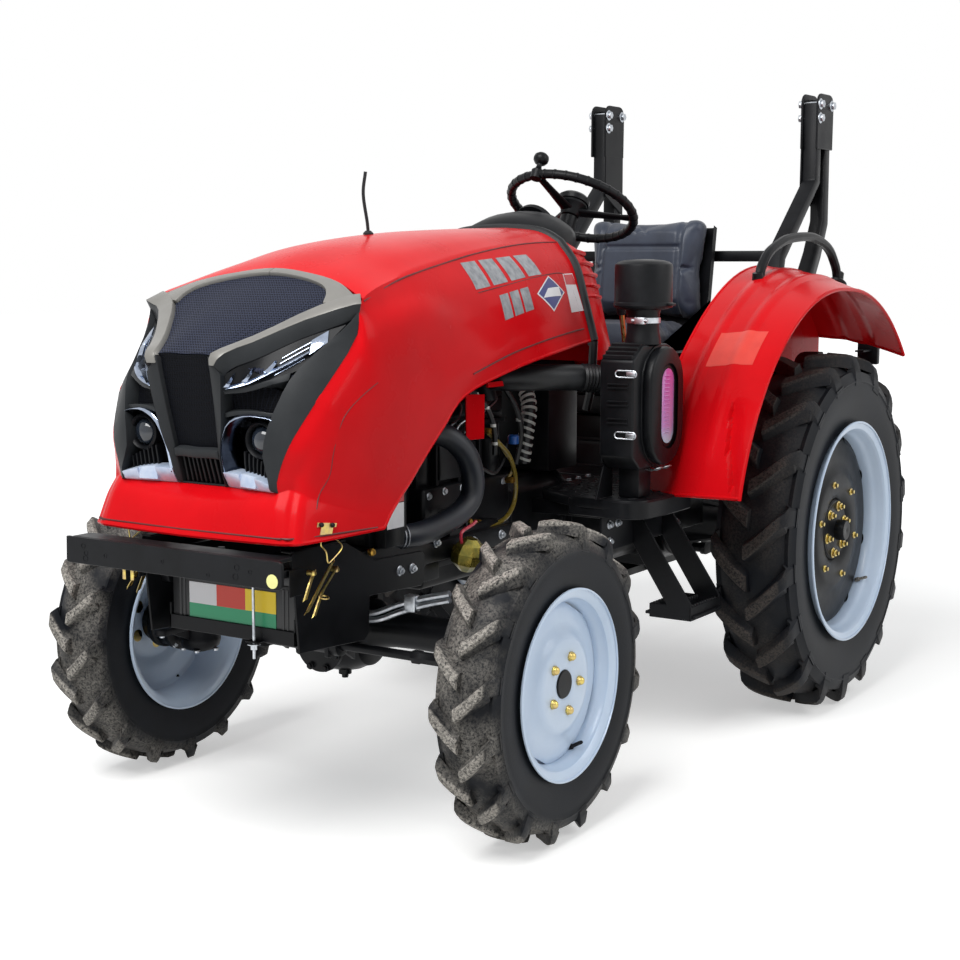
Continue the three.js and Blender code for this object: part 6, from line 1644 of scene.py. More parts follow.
rows = []
for k in range(36):
    z = 0.700 + 0.0125 * k
    rows.append(block("fin", (-0.186, 0.186), (-1.668, -1.610), (z, z + 0.0028), 0, 1))
core = joined("core", rows)
frame_parts = [block("side", (s - 0.0075, s + 0.0075), (-1.675, -1.600), (0.6605, 1.170), 0.002)
               for s in (-0.1925, 0.1925)]
frame_parts += [block("tank", (-0.199, 0.199), (-1.674, -1.601), (1.128, 1.175), 0.008, 3),
                block("tank", (-0.199, 0.199), (-1.674, -1.601), (0.6605, 0.702), 0.006, 3),
                block("back", (-0.186, 0.186), (-1.612, -1.606), (0.700, 1.130), 0),
                turned("filler", [(0, 0), (0.028, 0), (0.028, 0.010), (0.020, 0.016), (0, 0.016)],
                       (0.06, -1.638, 1.170), "Z", 24)]
frame_parts += both_sides([block("post", (0.2000, 0.2350), (-1.6200, -1.5950), (0.690, 0.995), 0.002)])
shroud = plate("shroud", [(-0.235, 0.690), (0.235, 0.690), (0.235, 0.995), (-0.235, 0.995)], "Y", -1.596,
               -1.572,
               0.004)
FAN_AXIS = (0, 0, 0.850)
ring = turned("ring", [(0.132, -1.574), (0.150, -1.574), (0.150, -1.548), (0.144, -1.545), (0.132, -1.545)],
              FAN_AXIS, "Y", 48, closed=True)
bore = turned("bore", [(0, -1.62), (0.133, -1.62), (0.133, -1.53), (0, -1.53)], FAN_AXIS, "Y", 48)
apply_modifier(shroud, "BOOLEAN", object=bore, operation="DIFFERENCE", solver="EXACT")
bpy.data.objects.remove(bore)
fitted(joined("radiator_frame", [*frame_parts, shroud, ring, core]), "chassis", black_enamel, "black_paint",
       "radiator")
post_fold = block("post", (0.2050, 0.2370), (-1.660, -1.585), (0.6605, 0.800), 0.002)
fitted(joined("radiator_posts", both_sides([post_fold])), "chassis", black_enamel, "black_paint")

hose_line = [(0.100, -1.395, 0.905), (0.150, -1.385, 0.905), (0.200, -1.350, 0.893), (0.226, -1.308, 0.850),
             (0.232, -1.282, 0.790), (0.230, -1.290, 0.735), (0.226, -1.345, 0.700), (0.222, -1.430, 0.680),
             (0.215, -1.520, 0.672), (0.190, -1.598, 0.676), (0.180, -1.615, 0.678)]
# Moulded rubber of the cooling hose: blue-black with a soft sheen.
blue_rubber = finish("blue-black hose rubber", "#0B0F16", "#141B26", 0.06, 0.42, 0.003, 0.0002,
                     Specular_IOR_Level=0.4)
fitted(pipe("radiator_hose_moulding", hose_line, 0.029, sides=24), "chassis", blue_rubber, "hose_rubber",
       "radiator_hose", smooth_to=60)
rings = []
for at, ahead in (((0.160, -1.380, 0.903), (1, 0.4, -0.1)), ((0.172, -1.374, 0.901), (1, 0.5, -0.2)),
                  ((0.207, -1.552, 0.674), (-0.3, -1, 0)), ((0.204, -1.562, 0.674), (-0.3, -1, 0))):
    loop = start("wire", bpy.ops.mesh.primitive_torus_add, major_radius=0.0300, minor_radius=0.0014,
                 major_segments=32, minor_segments=8)
    loop.data.transform(Matrix.Translation(at) @ Vector(ahead).to_track_quat("Z", "Y").to_matrix().to_4x4())
    rings.append(loop)
fitted(joined("radiator_hose_clamps", rings), "chassis", zinc, "chrome")

# ------------------------------------------------------------------ engine
# An upright diesel of cast iron in black enamel: crankcase, block, head, rocker cover, sump and timing case.
# The fan and pulley are ahead, the injection pump is on the left, the exhaust and oil filter on the right.

cast = [block("crankcase", (-0.146, 0.146), (-1.374, -0.964), (0.560, 0.760), 0.010, 3),
        block("sump", (-0.128, 0.128), (-1.360, -0.980), (0.500, 0.566), 0.016, 3),
        block("rail", (-0.150, 0.150), (-1.380, -0.960), (0.556, 0.572), 0.003),
        block("block", (-0.120, 0.120), (-1.366, -0.972), (0.752, 0.905), 0.008, 2),
        block("deck", (-0.132, 0.132), (-1.372, -0.966), (0.896, 0.908), 0.002),
        block("head", (-0.126, 0.126), (-1.368, -0.970), (0.910, 0.990), 0.006, 2),
        block("rocker", (-0.074, 0.074), (-1.350, -0.986), (0.988, 1.062), 0.022, 4),
        turned("filler", [(0, 1.058), (0.024, 1.058), (0.024, 1.068), (0.016, 1.070), (0, 1.070)],
               (0, -1.300, 0), "Z", 20),
        block("timing", (-0.108, 0.108), (-1.436, -1.375), (0.722, 0.998), 0.012, 3),
        turned("pulley", [(0, -1.4405), (0.030, -1.4405), (0.058, -1.438), (0.060, -1.432), (0.052, -1.430),
                          (0.060, -1.426), (0.060, -1.420), (0, -1.420)], FAN_AXIS, "Y", 40)]
cast += both_sides([block("mount", (0.145, 0.1898), (-1.320, -1.090), (0.585, 0.655), 0.004),
                    *(block("web", (0.120, 0.140), (y - 0.006, y + 0.006), (0.760, 0.898), 0.002, 1)
                      for y in (-1.30, -1.20, -1.10, -1.02))])
intake = [block("manifold", (0.122, 0.146), (-1.340, -1.000), (0.925, 0.968), 0.010, 3),
          turned("stub", [(0.026, 0.0), (0.033, 0.0), (0.033, 0.028), (0.026, 0.028)],
                 (0.1225, -1.060, 1.020),
                 "X", 28, closed=True),
          pipe("elbow", [(0.135, -1.060, 0.955), (0.128, -1.060, 0.985), (0.128, -1.060, 1.020),
                         (0.149, -1.060, 1.020)], 0.027, sides=20)]
exhaust = [block("manifold", (-0.146, -0.122), (-1.340, -1.000), (0.925, 0.968), 0.010, 3),
           pipe("down", [(-0.140, -1.320, 0.945), (-0.168, -1.330, 0.930), (-0.172, -1.335, 0.860),
                         (-0.172, -1.335, 0.700)], 0.020, sides=16)]
pump = [block("body", (0.118, 0.146), (-1.300, -1.130), (0.772, 0.862), 0.006),
        turned("filter", [(0, 0.770), (0.030, 0.770), (0.034, 0.776), (0.034, 0.858), (0.028, 0.864),
                          (0, 0.864)],
               (0.1130, -1.030, 0), "Z", 24),
        turned("starter", [(0, -1.160), (0.030, -1.160), (0.034, -1.150), (0.034, -1.020), (0.028, -1.010),
                           (0, -1.010)], (0.1120, 0, 0.650), "Y", 24),
        turned("oil_filter", [(0, 0.600), (0.034, 0.600), (0.038, 0.606), (0.038, 0.690), (0.030, 0.696),
                              (0, 0.696)],
               (-0.110, -1.180, 0), "Z", 24)]
for k in range(4):
    pump.append(turned("union", [(0, 0.860), (0.009, 0.860), (0.009, 0.876), (0.005, 0.880), (0, 0.880)],
                       (0.132, -1.285 + 0.040 * k, 0), "Z", 12))
fitted(joined("engine_castings", [*cast, *intake, *exhaust, *pump]), "chassis", black_enamel, "cast_iron",
       "engine")
heads = [((x, y, 0.990), "+Z") for x in (-0.108, -0.088, 0.088, 0.108)
         for y in (-1.350, -1.250, -1.150, -1.060, -0.990)]
heads += [((x, -1.436, z), "-Y") for x, z in ((-0.098, 0.735), (0.098, 0.735), (-0.098, 0.860),
                                              (0.098, 0.860),
                                              (-0.098, 0.985), (0.098, 0.985), (0, 0.985), (0, 0.735))]
heads += [((0.1465, y, z), "+X") for y, z in ((-1.350, 0.740), (-1.280, 0.745), (-1.200, 0.745),
                                              (-1.000, 0.740),
                                              (-1.350, 0.600), (-1.000, 0.600))]
fitted(fasteners("engine_bolts", small_bolt, heads), "chassis", zinc, "chrome")
# The fan: six pitched nylon blades on a hub.
blades = [turned("hub", [(0, -1.4700), (0.030, -1.4700), (0.036, -1.466), (0.036, -1.442), (0, -1.442)],
                 FAN_AXIS, "Y", 24)]
for k in range(6):
    blade = block("blade", (-0.022, 0.022), (-0.0015, 0.0015), (0.030, 0.124), 0.001, 1)
    blade.data.transform(Matrix.Translation((0, -1.456, 0.850)) @ Matrix.Rotation(2 * pi * k / 6, 4, "Y")
                         @ Matrix.Rotation(radians(28), 4, "Z"))
    blades.append(blade)
fitted(joined("engine_fan", blades), "chassis", black_abs, "dark_plastic")

# ------------------------------------------------------------------ pipes, wires and small fittings
# Bright steel injection pipes, a clear yellowish fuel line with brass unions, and looms with white wraps.
# Also a red bracket plate and rail under the hood, an olive sediment cover, a bent red lever and a blue cap.

steel_lines = [pipe("line", [(0.132, -1.285 + 0.040 * k, 0.878), (0.140, -1.285 + 0.040 * k, 0.905),
                             (0.150, -1.270 + 0.050 * k, 0.925), (0.146, -1.290 + 0.085 * k, 0.958),
                             (0.128, -1.300 + 0.095 * k, 0.972)], 0.0026, sides=8) for k in range(4)]
fitted(joined("injection_pipes", steel_lines), "chassis", zinc, "chrome")
fuel_hose = finish("yellowed clear PVC", "#9A8434", "#7C6B25", 0.03, 0.25, 0.003, 0.0001,
                   Transmission_Weight=0.2)
fuel = [pipe("fuel", [(0.176, -1.180, 0.652), (0.184, -1.130, 0.640), (0.186, -1.050, 0.652),
                      (0.182, -1.000, 0.690),
                      (0.176, -0.985, 0.750), (0.172, -1.010, 0.810), (0.168, -1.060, 0.850),
                      (0.160, -1.100, 0.880)],
             0.0060, sides=12),
        pipe("fuel", [(0.160, -1.000, 0.745), (0.168, -0.985, 0.780), (0.164, -1.030, 0.830)], 0.0050,
             sides=10)]
fitted(joined("fuel_lines", fuel), "chassis", fuel_hose, "hose_rubber")
unions = [turned("union", [(0, -0.012), (0.0075, -0.012), (0.0090, -0.009), (0.0090, 0.009), (0.0075, 0.012),
                           (0, 0.012)], at, "X", 6)
          for at in ((0.170, -1.184, 0.653), (0.166, -1.204, 0.660), (0.160, -1.104, 0.884),
                     (0.168, -1.000, 0.745), (0.160, -1.150, 0.650))]
fitted(joined("fuel_unions", unions), "chassis", brass, "chrome")
looms = [pipe("loom", [(0.150, -1.240, 1.020), (0.168, -1.180, 0.990), (0.174, -1.120, 0.940),
                       (0.176, -1.090, 0.880),
                       (0.170, -1.080, 0.820)], 0.0070, sides=10),
         pipe("loom", [(0.160, -1.210, 1.040), (0.176, -1.200, 0.960), (0.176, -1.205, 0.880),
                       (0.160, -1.240, 0.850)],
              0.0055, sides=10),
         pipe("loom", [(0.150, -1.000, 0.990), (0.164, -0.960, 0.930), (0.160, -0.930, 0.860),
                       (0.150, -0.940, 0.780)],
              0.0070, sides=10),
         pipe("loom", [(0.150, -1.120, 0.790), (0.162, -1.070, 0.770), (0.160, -1.020, 0.800),
                       (0.150, -0.990, 0.840)],
              0.0050, sides=10),
         pipe("loom", [(0.160, -1.330, 0.700), (0.190, -1.300, 0.705), (0.186, -1.250, 0.690),
                       (0.180, -1.230, 0.640)],
              0.0055, sides=10)]
fitted(joined("wiring_looms", looms), "chassis", seal_rubber, "hose_rubber")
white_tape = finish("white tape", "#D8D9D4", "#BFC0BA", 0.02, 0.6)
wraps = []
for at in ((0.1735, -1.126, 0.946), (0.1760, -1.098, 0.898), (0.1730, -1.085, 0.850), (0.1690, -1.170, 0.984),
           (0.1610, -0.945, 0.900)):
    wraps.append(turned("wrap", [(0.0071, -0.004), (0.0077, -0.004), (0.0077, 0.004), (0.0071, 0.004)], at,
                        "Z", 16,
                        closed=True))
# A black hose bound with white spiral wrap, rising behind the engine.
spine = smooth([(0.150, -0.905, 0.780), (0.158, -0.900, 0.860), (0.160, -0.890, 0.930),
                (0.140, -0.880, 0.985)], 12)
for k in range(2, len(spine) - 2, 3):
    ahead = (spine[k + 1] - spine[k - 1]).normalized()
    band = turned("band", [(0.0185, -0.0035), (0.0215, -0.0035), (0.0215, 0.0035), (0.0185, 0.0035)],
                  (0, 0, 0),
                  "Z", 20, closed=True)
    band.data.transform(Matrix.Translation(spine[k]) @ ahead.to_track_quat("Z", "Y").to_matrix().to_4x4()
                        @ Matrix.Rotation(radians(14), 4, "X"))
    wraps.append(band)
fitted(joined("white_wraps", wraps), "chassis", white_tape, "hose_rubber")
fitted(pipe("return_hose", spine, 0.0185, sides=16, rings=1), "chassis", seal_rubber, "hose_rubber")
red_parts = [plate("plate", [(-1.262, 0.875), (-1.178, 0.872), (-1.176, 0.985), (-1.262, 0.990)], "X", 0.196,
                   0.200,
                   0.001, 1),
             block("rail", (0.192, 0.200), (-1.160, -0.900), (1.000, 1.014), 0.002),
             block("stay", (0.140, 0.200), (-1.235, -1.205), (0.975, 0.979), 0.001, 1),
             block("stay", (0.140, 0.200), (-1.020, -0.990), (1.004, 1.008), 0.001, 1)]
fitted(joined("red_brackets", red_parts), "chassis", red_enamel, "red_paint")
lever_red = finish("pink-red dipped grip", "#D13A4E", "#B82C40", 0.02, 0.35)
shutoff = pipe("shutoff_lever", [(0.250, y, z) for y, z in
                                 ((-1.358, 0.629), (-1.363, 0.652), (-1.354, 0.663), (-1.309, 0.674),
                                  (-1.295, 0.680))], 0.0042, sides=10)
fitted(shutoff, "chassis", lever_red, "chrome")
cup = turned("cup", [(0, -0.030), (0.012, -0.030), (0.034, -0.012), (0.036, 0.0), (0.036, 0.010),
                     (0.028, 0.028),
                     (0.014, 0.040), (0, 0.040)], (0, 0, 0), "Z", 8)
cup.data.transform(Matrix.Translation((0.252, -1.335, 0.596)) @ Matrix.Rotation(radians(12), 4, "Y")
                   @ Matrix.Scale(1.2, 4))
in_edit(cup, OUTWARD)
cup_stay = block("stay", (0.205, 0.245), (-1.345, -1.330), (0.600, 0.625), 0.001, 1)
olive_zinc = finish("olive passivated zinc", "#8C7B33", "#4A5228", 0.03, 0.25, Metallic=0.8)
fitted(joined("sediment_cover", [cup, cup_stay]), "chassis", olive_zinc, "chrome", smooth_to=15)
blue_cap = finish("blue moulded polyethylene", "#1E5FB4", "#1A529E", 0.02, 0.3)
fitted(turned("blue_cap", [(0, 0.838), (0.014, 0.838), (0.015, 0.842), (0.015, 0.858), (0.012, 0.862),
                           (0, 0.862)],
              (0.160, -0.970, 0), "Z", 20), "chassis", blue_cap, "dark_plastic")
# Twin bright steel oil pipes for the steering ram, clamped together above the axle.
oil_pipes = [pipe("pipe", [(x, -1.580, z) for x, z in line], 0.0075) for line in (
    ((0.108, 0.479), (0.155, 0.489), (0.220, 0.516), (0.291, 0.538), (0.361, 0.556)),
    ((0.108, 0.464), (0.161, 0.473), (0.220, 0.497), (0.291, 0.522), (0.361, 0.541)))]
clip = block("clip", (-0.016, 0.016), (-0.012, 0.012), (-0.020, 0.020), 0.004)
clip.data.transform(Matrix.Translation((0.254, -1.580, 0.522)))
fitted(joined("steering_oil_pipes", [*oil_pipes, clip]), "chassis", zinc, "chrome")

# ------------------------------------------------------------------ transmission
# Cast iron housings bolted in a row: clutch bell, gearbox and rear housing, with the lift cover on top.
# Black enamel all over, with machined flanges, ribs and rows of bolts; a splined shaft leaves the back.

cast = [plate("bell", [(-0.128, 0.500), (-0.096, 0.458), (0.096, 0.458), (0.128, 0.500), (0.128, 0.700),
                       (0.096, 0.734), (-0.096, 0.734), (-0.128, 0.700)], "Y", -0.950, -0.655, 0.010, 3)]
octagon = [(-0.140, 0.492), (-0.104, 0.450), (0.104, 0.450), (0.140, 0.492), (0.140, 0.706), (0.104, 0.740),
           (-0.104, 0.740), (-0.140, 0.706)]
cast += [plate("flange", octagon, "Y", -0.9595, -0.940, 0.003),
         plate("flange", octagon, "Y", -0.664, -0.650, 0.003)]
cast.append(plate("gearbox", [(-0.138, 0.450), (-0.110, 0.424), (0.110, 0.424), (0.138, 0.450),
                              (0.138, 0.668),
                              (0.118, 0.686), (-0.118, 0.686), (-0.138, 0.668)], "Y", -0.652, -0.148, 0.008,
                  3))
for y0 in (-0.640, -0.400, -0.172):
    cast.append(plate("rib", [(-0.150, 0.448), (-0.122, 0.420), (0.122, 0.420), (0.150, 0.448),
                              (0.150, 0.674),
                              (0.128, 0.690), (-0.128, 0.690), (-0.150, 0.674)], "Y", y0, y0 + 0.012, 0.002,
                      1))
cast.append(block("top_cover", (-0.105, 0.105), (-0.560, -0.420), (0.684, 0.6895), 0.002))
cast.append(plate("rear", [(-0.166, 0.420), (-0.130, 0.387), (0.130, 0.387), (0.166, 0.420), (0.166, 0.738),
                           (0.146, 0.758), (-0.146, 0.758), (-0.166, 0.738)], "Y", -0.148, 0.160, 0.008, 3))
cast.append(plate("rear_flange", [(-0.172, 0.416), (-0.134, 0.385), (0.134, 0.385), (0.172, 0.416),
                                  (0.172, 0.742),
                                  (0.150, 0.760), (-0.150, 0.760), (-0.172, 0.742)], "Y", -0.150, -0.136,
                  0.002))
cast.append(plate("rear_cover", [(-0.150, 0.440), (-0.120, 0.410), (0.120, 0.410), (0.150, 0.440),
                                 (0.150, 0.700),
                                 (0.120, 0.730), (-0.120, 0.730), (-0.150, 0.700)], "Y", 0.156, 0.1695,
                  0.003))
cast.append(block("lift_cover", (-0.136, 0.136), (-0.128, 0.163), (0.752, 0.8445), 0.008, 3))
cast.append(block("lift_flange", (-0.140, 0.140), (-0.130, 0.165), (0.755, 0.770), 0.002))
cast.append(block("lift_top", (-0.110, 0.110), (-0.110, 0.090), (0.843, 0.850), 0.002))
ROCKSHAFT = (0, 0.130, 0.872)
bearing = plate("bearing", [(0.095, 0.842), (0.165, 0.842), (0.165, 0.872),
                            *arc((0.130, 0.872), 0.034, 8, 172, 10),
                            (0.095, 0.872)], "X", 0.115, 0.140, 0)
hole = turned("hole", [(0, 0.09), (0.0197, 0.09), (0.0197, 0.17), (0, 0.17)], ROCKSHAFT, "X", 24)
apply_modifier(bearing, "BOOLEAN", object=hole, operation="DIFFERENCE", solver="EXACT")
bpy.data.objects.remove(hole)
pin = turned("pin", [(0, 0.160), (0.026, 0.160), (0.026, 0.178), (0.016, 0.180), (0.016, 0.203),
                     (0.014, 0.2055),
                     (0, 0.2055)], (0, 0.120, 0.410), "X", 24)
pad = turned("pad", [(0, 0.150), (0.124, 0.150), (0.124, 0.1765), (0.120, 0.1797), (0, 0.1797)],
             (0, 0, 0.5265), "X",
             44)
cast += both_sides([bearing, pin, pad])
flutes = [(0.0135 + 0.0042 * (1 if k % 4 < 2 else 0), k) for k in range(24)]
splines = plate("splines", [(r * cos(2 * pi * k / 24), 0.560 + r * sin(2 * pi * k / 24)) for r, k in flutes],
                "Y",
                0.170, 0.2398, 0.0008, 1)
collar = turned("collar", [(0, 0.165), (0.034, 0.165), (0.034, 0.174), (0.026, 0.178), (0, 0.178)],
                (0, 0, 0.560), "Y",
                32)
fitted(joined("transmission_housings", [*cast, splines, collar]), "chassis", black_enamel, "cast_iron",
       "transmission")
heads = [((s * 0.150, y, z), f) for s, f in ((1, "+X"), (-1, "-X"))
         for y in (-0.634, -0.394, -0.166) for z in (0.480, 0.560, 0.640)]
heads += [((x, y, 0.6895), "+Z") for x in (-0.092, 0.092) for y in (-0.548, -0.490, -0.432)]
heads += [((x, 0.1695, z), "+Y") for x, z in ((-0.136, 0.460), (-0.136, 0.570), (-0.136, 0.680),
                                              (0.136, 0.460),
                                              (0.136, 0.570), (0.136, 0.680), (-0.060, 0.716), (0.060, 0.716),
                                              (-0.060, 0.424), (0.060, 0.424))]
heads += [((x, y, 0.850), "+Z") for x in (-0.095, 0.095) for y in (-0.095, -0.010, 0.075)]
fitted(fasteners("transmission_bolts", small_bolt, heads), "chassis", zinc, "chrome")

# ------------------------------------------------------------------ rear axles
# Cast trumpets bolted to the rear housing by round flanges and flaring again to the drum by each hub.
# Four webs stiffen each of them; the half shaft's end shows in the middle of the wheel.

trumpet = turned("trumpet", [(0, 0.1803), (0.120, 0.1803), (0.120, 0.1960), (0.117, 0.2000), (0.094, 0.2020),
                             (0.078, 0.2200), (0.0735, 0.2600), (0.066, 0.4500), (0.0620, 0.5700),
                             (0.066, 0.5800),
                             (0.080, 0.5840), (0.080, 0.5980), (0.074, 0.6010), (0.074, 0.6740),
                             (0.080, 0.6770),
                             (0.080, 0.6940), (0.0305, 0.6950), (0.0305, 0.7240), (0.028, 0.7288),
                             (0.010, 0.7290),
                             (0, 0.7270)], (0, 0, 0.5265), "X", 44)
webs = []
for k in range(4):
    web = plate("web", [(0.205, 0.112), (0.360, 0.068), (0.580, 0.062), (0.580, 0.055), (0.205, 0.060)], "Y",
                -0.005,
                0.005, 0.001, 1)
    web.data.transform(Matrix.Translation((0, 0, 0.5265)) @ Matrix.Rotation(radians(45 + 90 * k), 4, "X"))
    webs.append(web)
trumpet = joined("rear_axle_trumpet_left", [trumpet, *webs])
bolts = fasteners("rear_axle_bolts_left", small_bolt, [
    *((Vector((0.2000, 0, 0.5265)) + Vector((0, 0.106 * cos(a), 0.106 * sin(a))), "+X")
      for a in [2 * pi * k / 10 for k in range(10)]),
    *((Vector((0.6770, 0, 0.5265)) + Vector((0, 0.077 * cos(a), 0.077 * sin(a))), "-X")
      for a in [2 * pi * k / 8 + 0.2 for k in range(8)])])
paired("rear_axle_trumpet", trumpet, "chassis", black_enamel, "cast_iron", "rear_axle")
paired("rear_axle_bolts", bolts, "chassis", zinc, "cast_iron")

# ------------------------------------------------------------------ three-point hitch and drawbar
# Forged lift arms on the rockshaft pull the lower links up through threaded rods with turnbuckles.
# The links end in ball eyes; a flat drawbar with pin holes lies below, under its hanger.

LINK_X = 0.2155
shaft = turned("shaft", [(0, -0.204), (0.017, -0.204), (0.019, -0.202), (0.019, 0.202), (0.017, 0.204),
                         (0, 0.204)],
               ROCKSHAFT, "X", 28)
arm = plate("arm", [*arc((0.130, 0.872), 0.034, 95, 265, 10), (0.240, 0.872),
                    *arc((0.386, 0.917), 0.020, -82, 98, 8),
                    (0.250, 0.925)], "X", 0.178, 0.202, 0.003)
boss = turned("boss", [(0.020, 0.1770), (0.030, 0.1770), (0.030, 0.2030), (0.020, 0.2030)], ROCKSHAFT, "X",
              28, closed=True)
forging = joined("lift_arms_forging", [shaft, *both_sides([arm, boss])])
fitted(forging, "lift_arms", black_enamel, "cast_iron", "lift_arms")

rod = [turned("eye", [(0, -0.013), (0.022, -0.013), (0.024, -0.011), (0.024, 0.011), (0.022, 0.013),
                      (0, 0.013)],
              (0, 0, 0.5186), "X", 28),
       turned("thread", [(0, 0.070), (0.0100, 0.070),
                         *((0.0100 + 0.0014 * (k % 2), 0.075 + 0.003 * k) for k in range(42)),
                         (0.0100, 0.205), (0, 0.205)], (0, 0, 0), "Z", 20),
       turned("sleeve", [(0, 0.190), (0.014, 0.190), (0.018, 0.196), (0.018, 0.226), (0.0155, 0.230),
                         (0.0155, 0.320),
                         (0.018, 0.324), (0.018, 0.354), (0.014, 0.360), (0, 0.360)], (0, 0, 0), "Z", 6),
       turned("shank", [(0, 0.350), (0.0115, 0.350), (0.0115, 0.480), (0.013, 0.500), (0, 0.500)], (0, 0, 0),
              "Z", 20),
       plate("bridge", [(-0.018, 0.0525), (0.018, 0.0525), (0.018, 0.068), (0.010, 0.076), (-0.010, 0.076),
                        (-0.018, 0.068)], "X", -0.020, 0.020, 0.002),
       turned("pin", [(0, -0.0225), (0.007, -0.0225), (0.007, 0.0225), (0, 0.0225)], (0, 0, 0), "X", 16)]
for x0, x1 in ((-0.020, -0.0102), (0.0102, 0.020)):
    rod.append(plate("cheek", [(-0.018, 0.056), *arc((0, 0), 0.018, 180, 360, 10), (0.018, 0.056)], "X", x0,
                     x1, 0.0015,
                     1))
rod = joined("lift_rod_turnbuckle_left", rod)
rod.data.transform(Matrix.Translation((LINK_X, 0.5497, 0.4250)) @ Matrix.Rotation(radians(18.39), 4, "X"))
link = plate("link", [*arc((0.120, 0.410), 0.022, 95, 265, 10), (0.300, 0.398), (0.560, 0.408),
                      (0.700, 0.412),
                      *arc((0.826, 0.4347), 0.022, -100, 96, 10), (0.700, 0.448), (0.560, 0.444),
                      (0.300, 0.436)],
             "X", LINK_X - 0.009, LINK_X + 0.009, 0.002)
socket = turned("socket", [(0.011, -0.016), (0.016, -0.018), (0.022, -0.017), (0.024, -0.013), (0.024, 0.013),
                           (0.022, 0.017), (0.016, 0.018), (0.011, 0.016)], (LINK_X, 0.826, 0.4347), "X", 28,
                closed=True)
paired("lift_rod_turnbuckle", rod, "lift_rod", black_enamel, "cast_iron", "lift_rod")
paired("lower_link_bar", joined("link", [link, socket]), "lower_link", black_enamel, "cast_iron",
       "lower_link")

bar = plate("bar", [(-0.045, -0.120), (0.045, -0.120), (0.045, 0.385), *arc((0.020, 0.395), 0.025, 0, 90, 5),
                    *arc((-0.020, 0.395), 0.025, 90, 180, 5), (-0.045, 0.385)], "Z", 0.330, 0.352, 0)
for y in (0.385, 0.340, 0.295):
    hole = turned("hole", [(0, 0.30), (0.011, 0.30), (0.011, 0.38), (0, 0.38)], (0, y, 0), "Z", 20)
    apply_modifier(bar, "BOOLEAN", object=hole, operation="DIFFERENCE", solver="EXACT")
    bpy.data.objects.remove(hole)
hanger = [block("hanger", (x0, x1), (0.060, 0.130), (0.330, 0.3848), 0.002) for x0, x1 in
          ((-0.060, -0.0455), (0.0455, 0.060))]
hanger.append(block("hanger", (-0.060, 0.060), (0.060, 0.130), (0.3520, 0.3848), 0.002))
fitted(joined("drawbar_plate", [bar, *hanger]), "chassis", black_enamel, "black_paint", "drawbar",
       smooth_to=20)

# ------------------------------------------------------------------ gear lever
# A yellow-passivated steel lever that rises from the left platform beside the seat.
# It comes up through a ribbed rubber boot and is bent forward to a moulded black knob.

boot = turned("boot", [(0, 0.7053), (0.030, 0.7053), (0.030, 0.710), (0.026, 0.713), (0.028, 0.718),
                       (0.023, 0.722),
                       (0.025, 0.728), (0.020, 0.733), (0.021, 0.740), (0.016, 0.746), (0.012, 0.764),
                       (0, 0.765)],
              (0.250, -0.420, 0), "Z", 28)
fitted(boot, "chassis", seal_rubber, "hose_rubber", "gear_lever")
fitted(pipe("gear_lever_shaft", [(0.250, -0.420, 0.755), (0.2515, -0.440, 0.820), (0.257, -0.500, 0.990),
                                 (0.2605, -0.545, 1.130), (0.262, -0.560, 1.185)], 0.0075, sides=14),
       "chassis",
       gold_zinc, "black_paint")
knob = turned("knob", [(0, 0.0), (0.010, 0.0), (0.012, 0.012), (0.017, 0.030), (0.018, 0.042), (0.014, 0.054),
                       (0.006, 0.060), (0, 0.0605)], (0, 0, 0), "Z", 24)
knob.data.transform(Matrix.Translation((0.262, -0.5595, 1.1700)) @ Matrix.Rotation(radians(9), 4, "X"))
fitted(knob, "chassis", black_abs, "black_paint")

# ------------------------------------------------------------------ stickers and plates
# Printed vinyl on the hood and the radiator post, silver foil on the hood, and a lighter orange-red patch on
# the left fender.
# A blue diamond, red and white labels and two rows of patches; every one of them is blank.

foil = finish("silver foil sticker", "#9EA0A4", "#77797E", 0.02, 0.3, 0.004, 0.0001, spread=0.2, Metallic=0.5)
blue_print = finish("blue printed vinyl", "#18246E", "#18246E", 0.05, 0.3)
white_print = finish("white printed vinyl", "#E4E4E6", "#DADADC", 0.05, 0.35)
red_print = finish("red printed vinyl", "#C01722", "#B5141F", 0.05, 0.3)


def sticker(name, corners, out=0.0006, steps=10):
    """A thin blank sheet on the hood between four (station, rail) corners."""
    a, b, c, d = (Vector(corner) for corner in corners)
    rows = [[skin(*a.lerp(b, u / steps).lerp(d.lerp(c, u / steps), v / steps), out) for v in range(steps + 1)]
            for u in range(steps + 1)]
    piece = lofted(name, rows, closed=False)
    middle = piece.data.polygons[len(piece.data.polygons) // 2]
    if middle.normal.x < 0:
        piece.data.flip_normals()
    return piece


def part_of(corners, low, high):
    """The share of a sticker's area from low to high along its length, in slightly from its long edges."""
    a, b, c, d = (Vector(corner) for corner in corners)
    return [a.lerp(b, low).lerp(d.lerp(c, low), 0.06), a.lerp(b, high).lerp(d.lerp(c, high), 0.06),
            a.lerp(b, high).lerp(d.lerp(c, high), 0.94), a.lerp(b, low).lerp(d.lerp(c, low), 0.94)]


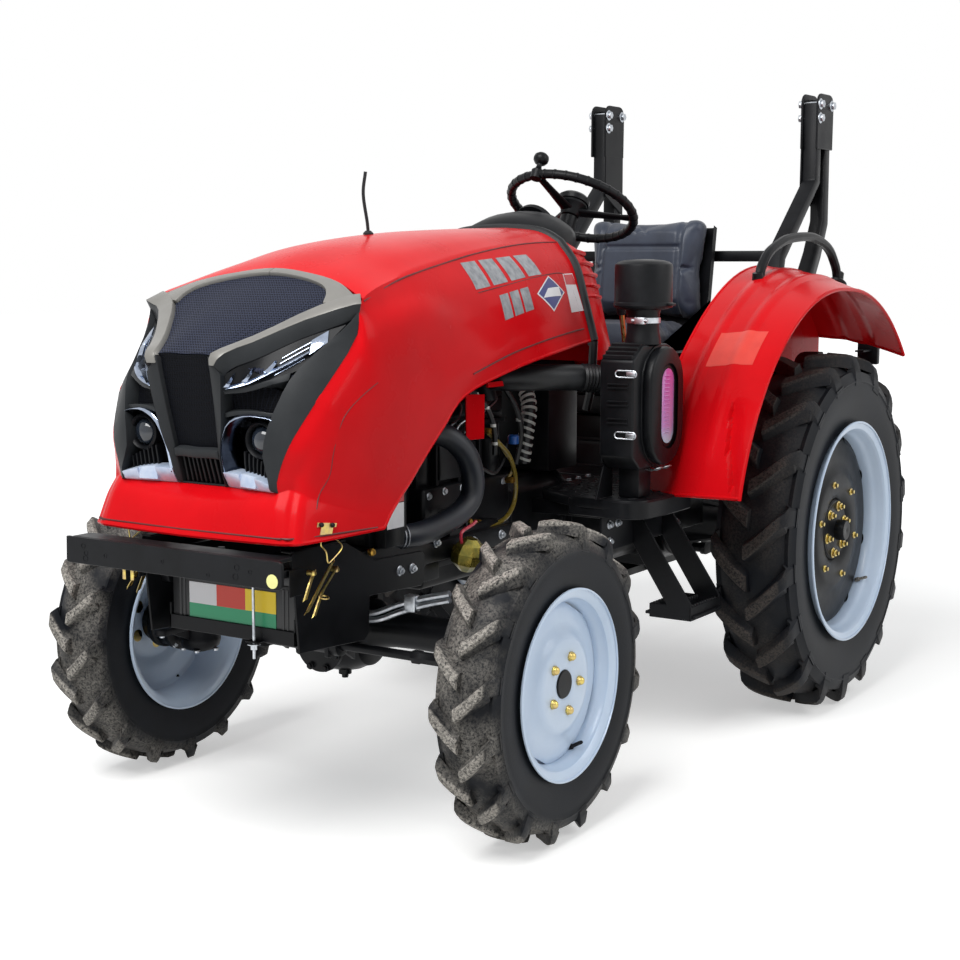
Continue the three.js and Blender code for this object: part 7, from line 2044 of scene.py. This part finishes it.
upper_row = [(2.45, 3.17), (1.07, 3.45), (0.95, 4.31), (2.40, 4.12)]
lower_row = [(1.99, 4.38), (1.36, 4.44), (1.35, 5.09), (1.98, 5.10)]
patches = [sticker("patch", part_of(upper_row, k / 4 + 0.02, (k + 1) / 4 - 0.03)) for k in range(4)]
patches += [sticker("patch", part_of(lower_row, k / 3 + 0.02, (k + 1) / 3 - 0.04)) for k in range(3)]
pieces = [(joined("hood_sticker_silver", patches), foil)]
diamond = [(0.85, 4.33), (0.51, 4.84), (0.94, 5.23), (1.24, 4.73)]
pieces.append((sticker("hood_sticker_diamond_edge", diamond), white_print))
middle = sum((Vector(corner) for corner in diamond), Vector((0, 0))) / 4
inner = [Vector(corner).lerp(middle, 0.10) for corner in diamond]
pieces.append((sticker("hood_sticker_diamond", inner, 0.0010), blue_print))
a, b, c, d = inner
band = [a.lerp(d, 0.50).lerp(b.lerp(c, 0.50), 0.24), b.lerp(a, 0.34), b.lerp(c, 0.24), d.lerp(c, 0.30)]
pieces.append((sticker("hood_sticker_diamond_band", band, 0.0013, 4), white_print))
label = [(0.41, 4.31), (0.10, 4.30), (0.02, 5.34), (0.43, 5.33)]
pieces.append((sticker("hood_label_white", label), white_print))
a, b, c, d = (Vector(corner) for corner in label)
corners = [a.lerp(b, 0.06).lerp(d, 0.03), b.lerp(a, 0.06).lerp(c, 0.03), b.lerp(c, 0.34),
           a.lerp(d, 0.34).lerp(b, 0.06)]
pieces.append((sticker("hood_label_red", corners, 0.0010), red_print))
for piece, material in pieces:
    fitted(piece, "hood", material, "red_paint")
fitted(block("post_label_white", (0.2370, 0.2374), (-1.655, -1.588), (0.704, 0.762), 0), "chassis",
       white_print,
       "black_paint")
fitted(block("post_label_red", (0.2370, 0.2374), (-1.655, -1.588), (0.764, 0.796), 0), "chassis", red_print,
       "black_paint")
# A lighter orange-red patch across the top of the left fender.
orange_patch_finish = finish("lighter orange-red patch", "#D83A2C", "#CE3327", 0.05, 0.3)
fender_patch = fender_sheet("fender_orange_patch_left", (0.245, 0.330), (0.34, 0.80), 0.0005, steps=(12, 20))
if fender_patch.data.polygons[0].normal.z < 0:
    fender_patch.data.flip_normals()
fitted(fender_patch, "chassis", orange_patch_finish, "red_paint")

for spare in (bolt, cross_bolt, small_bolt):
    bpy.data.objects.remove(spare)
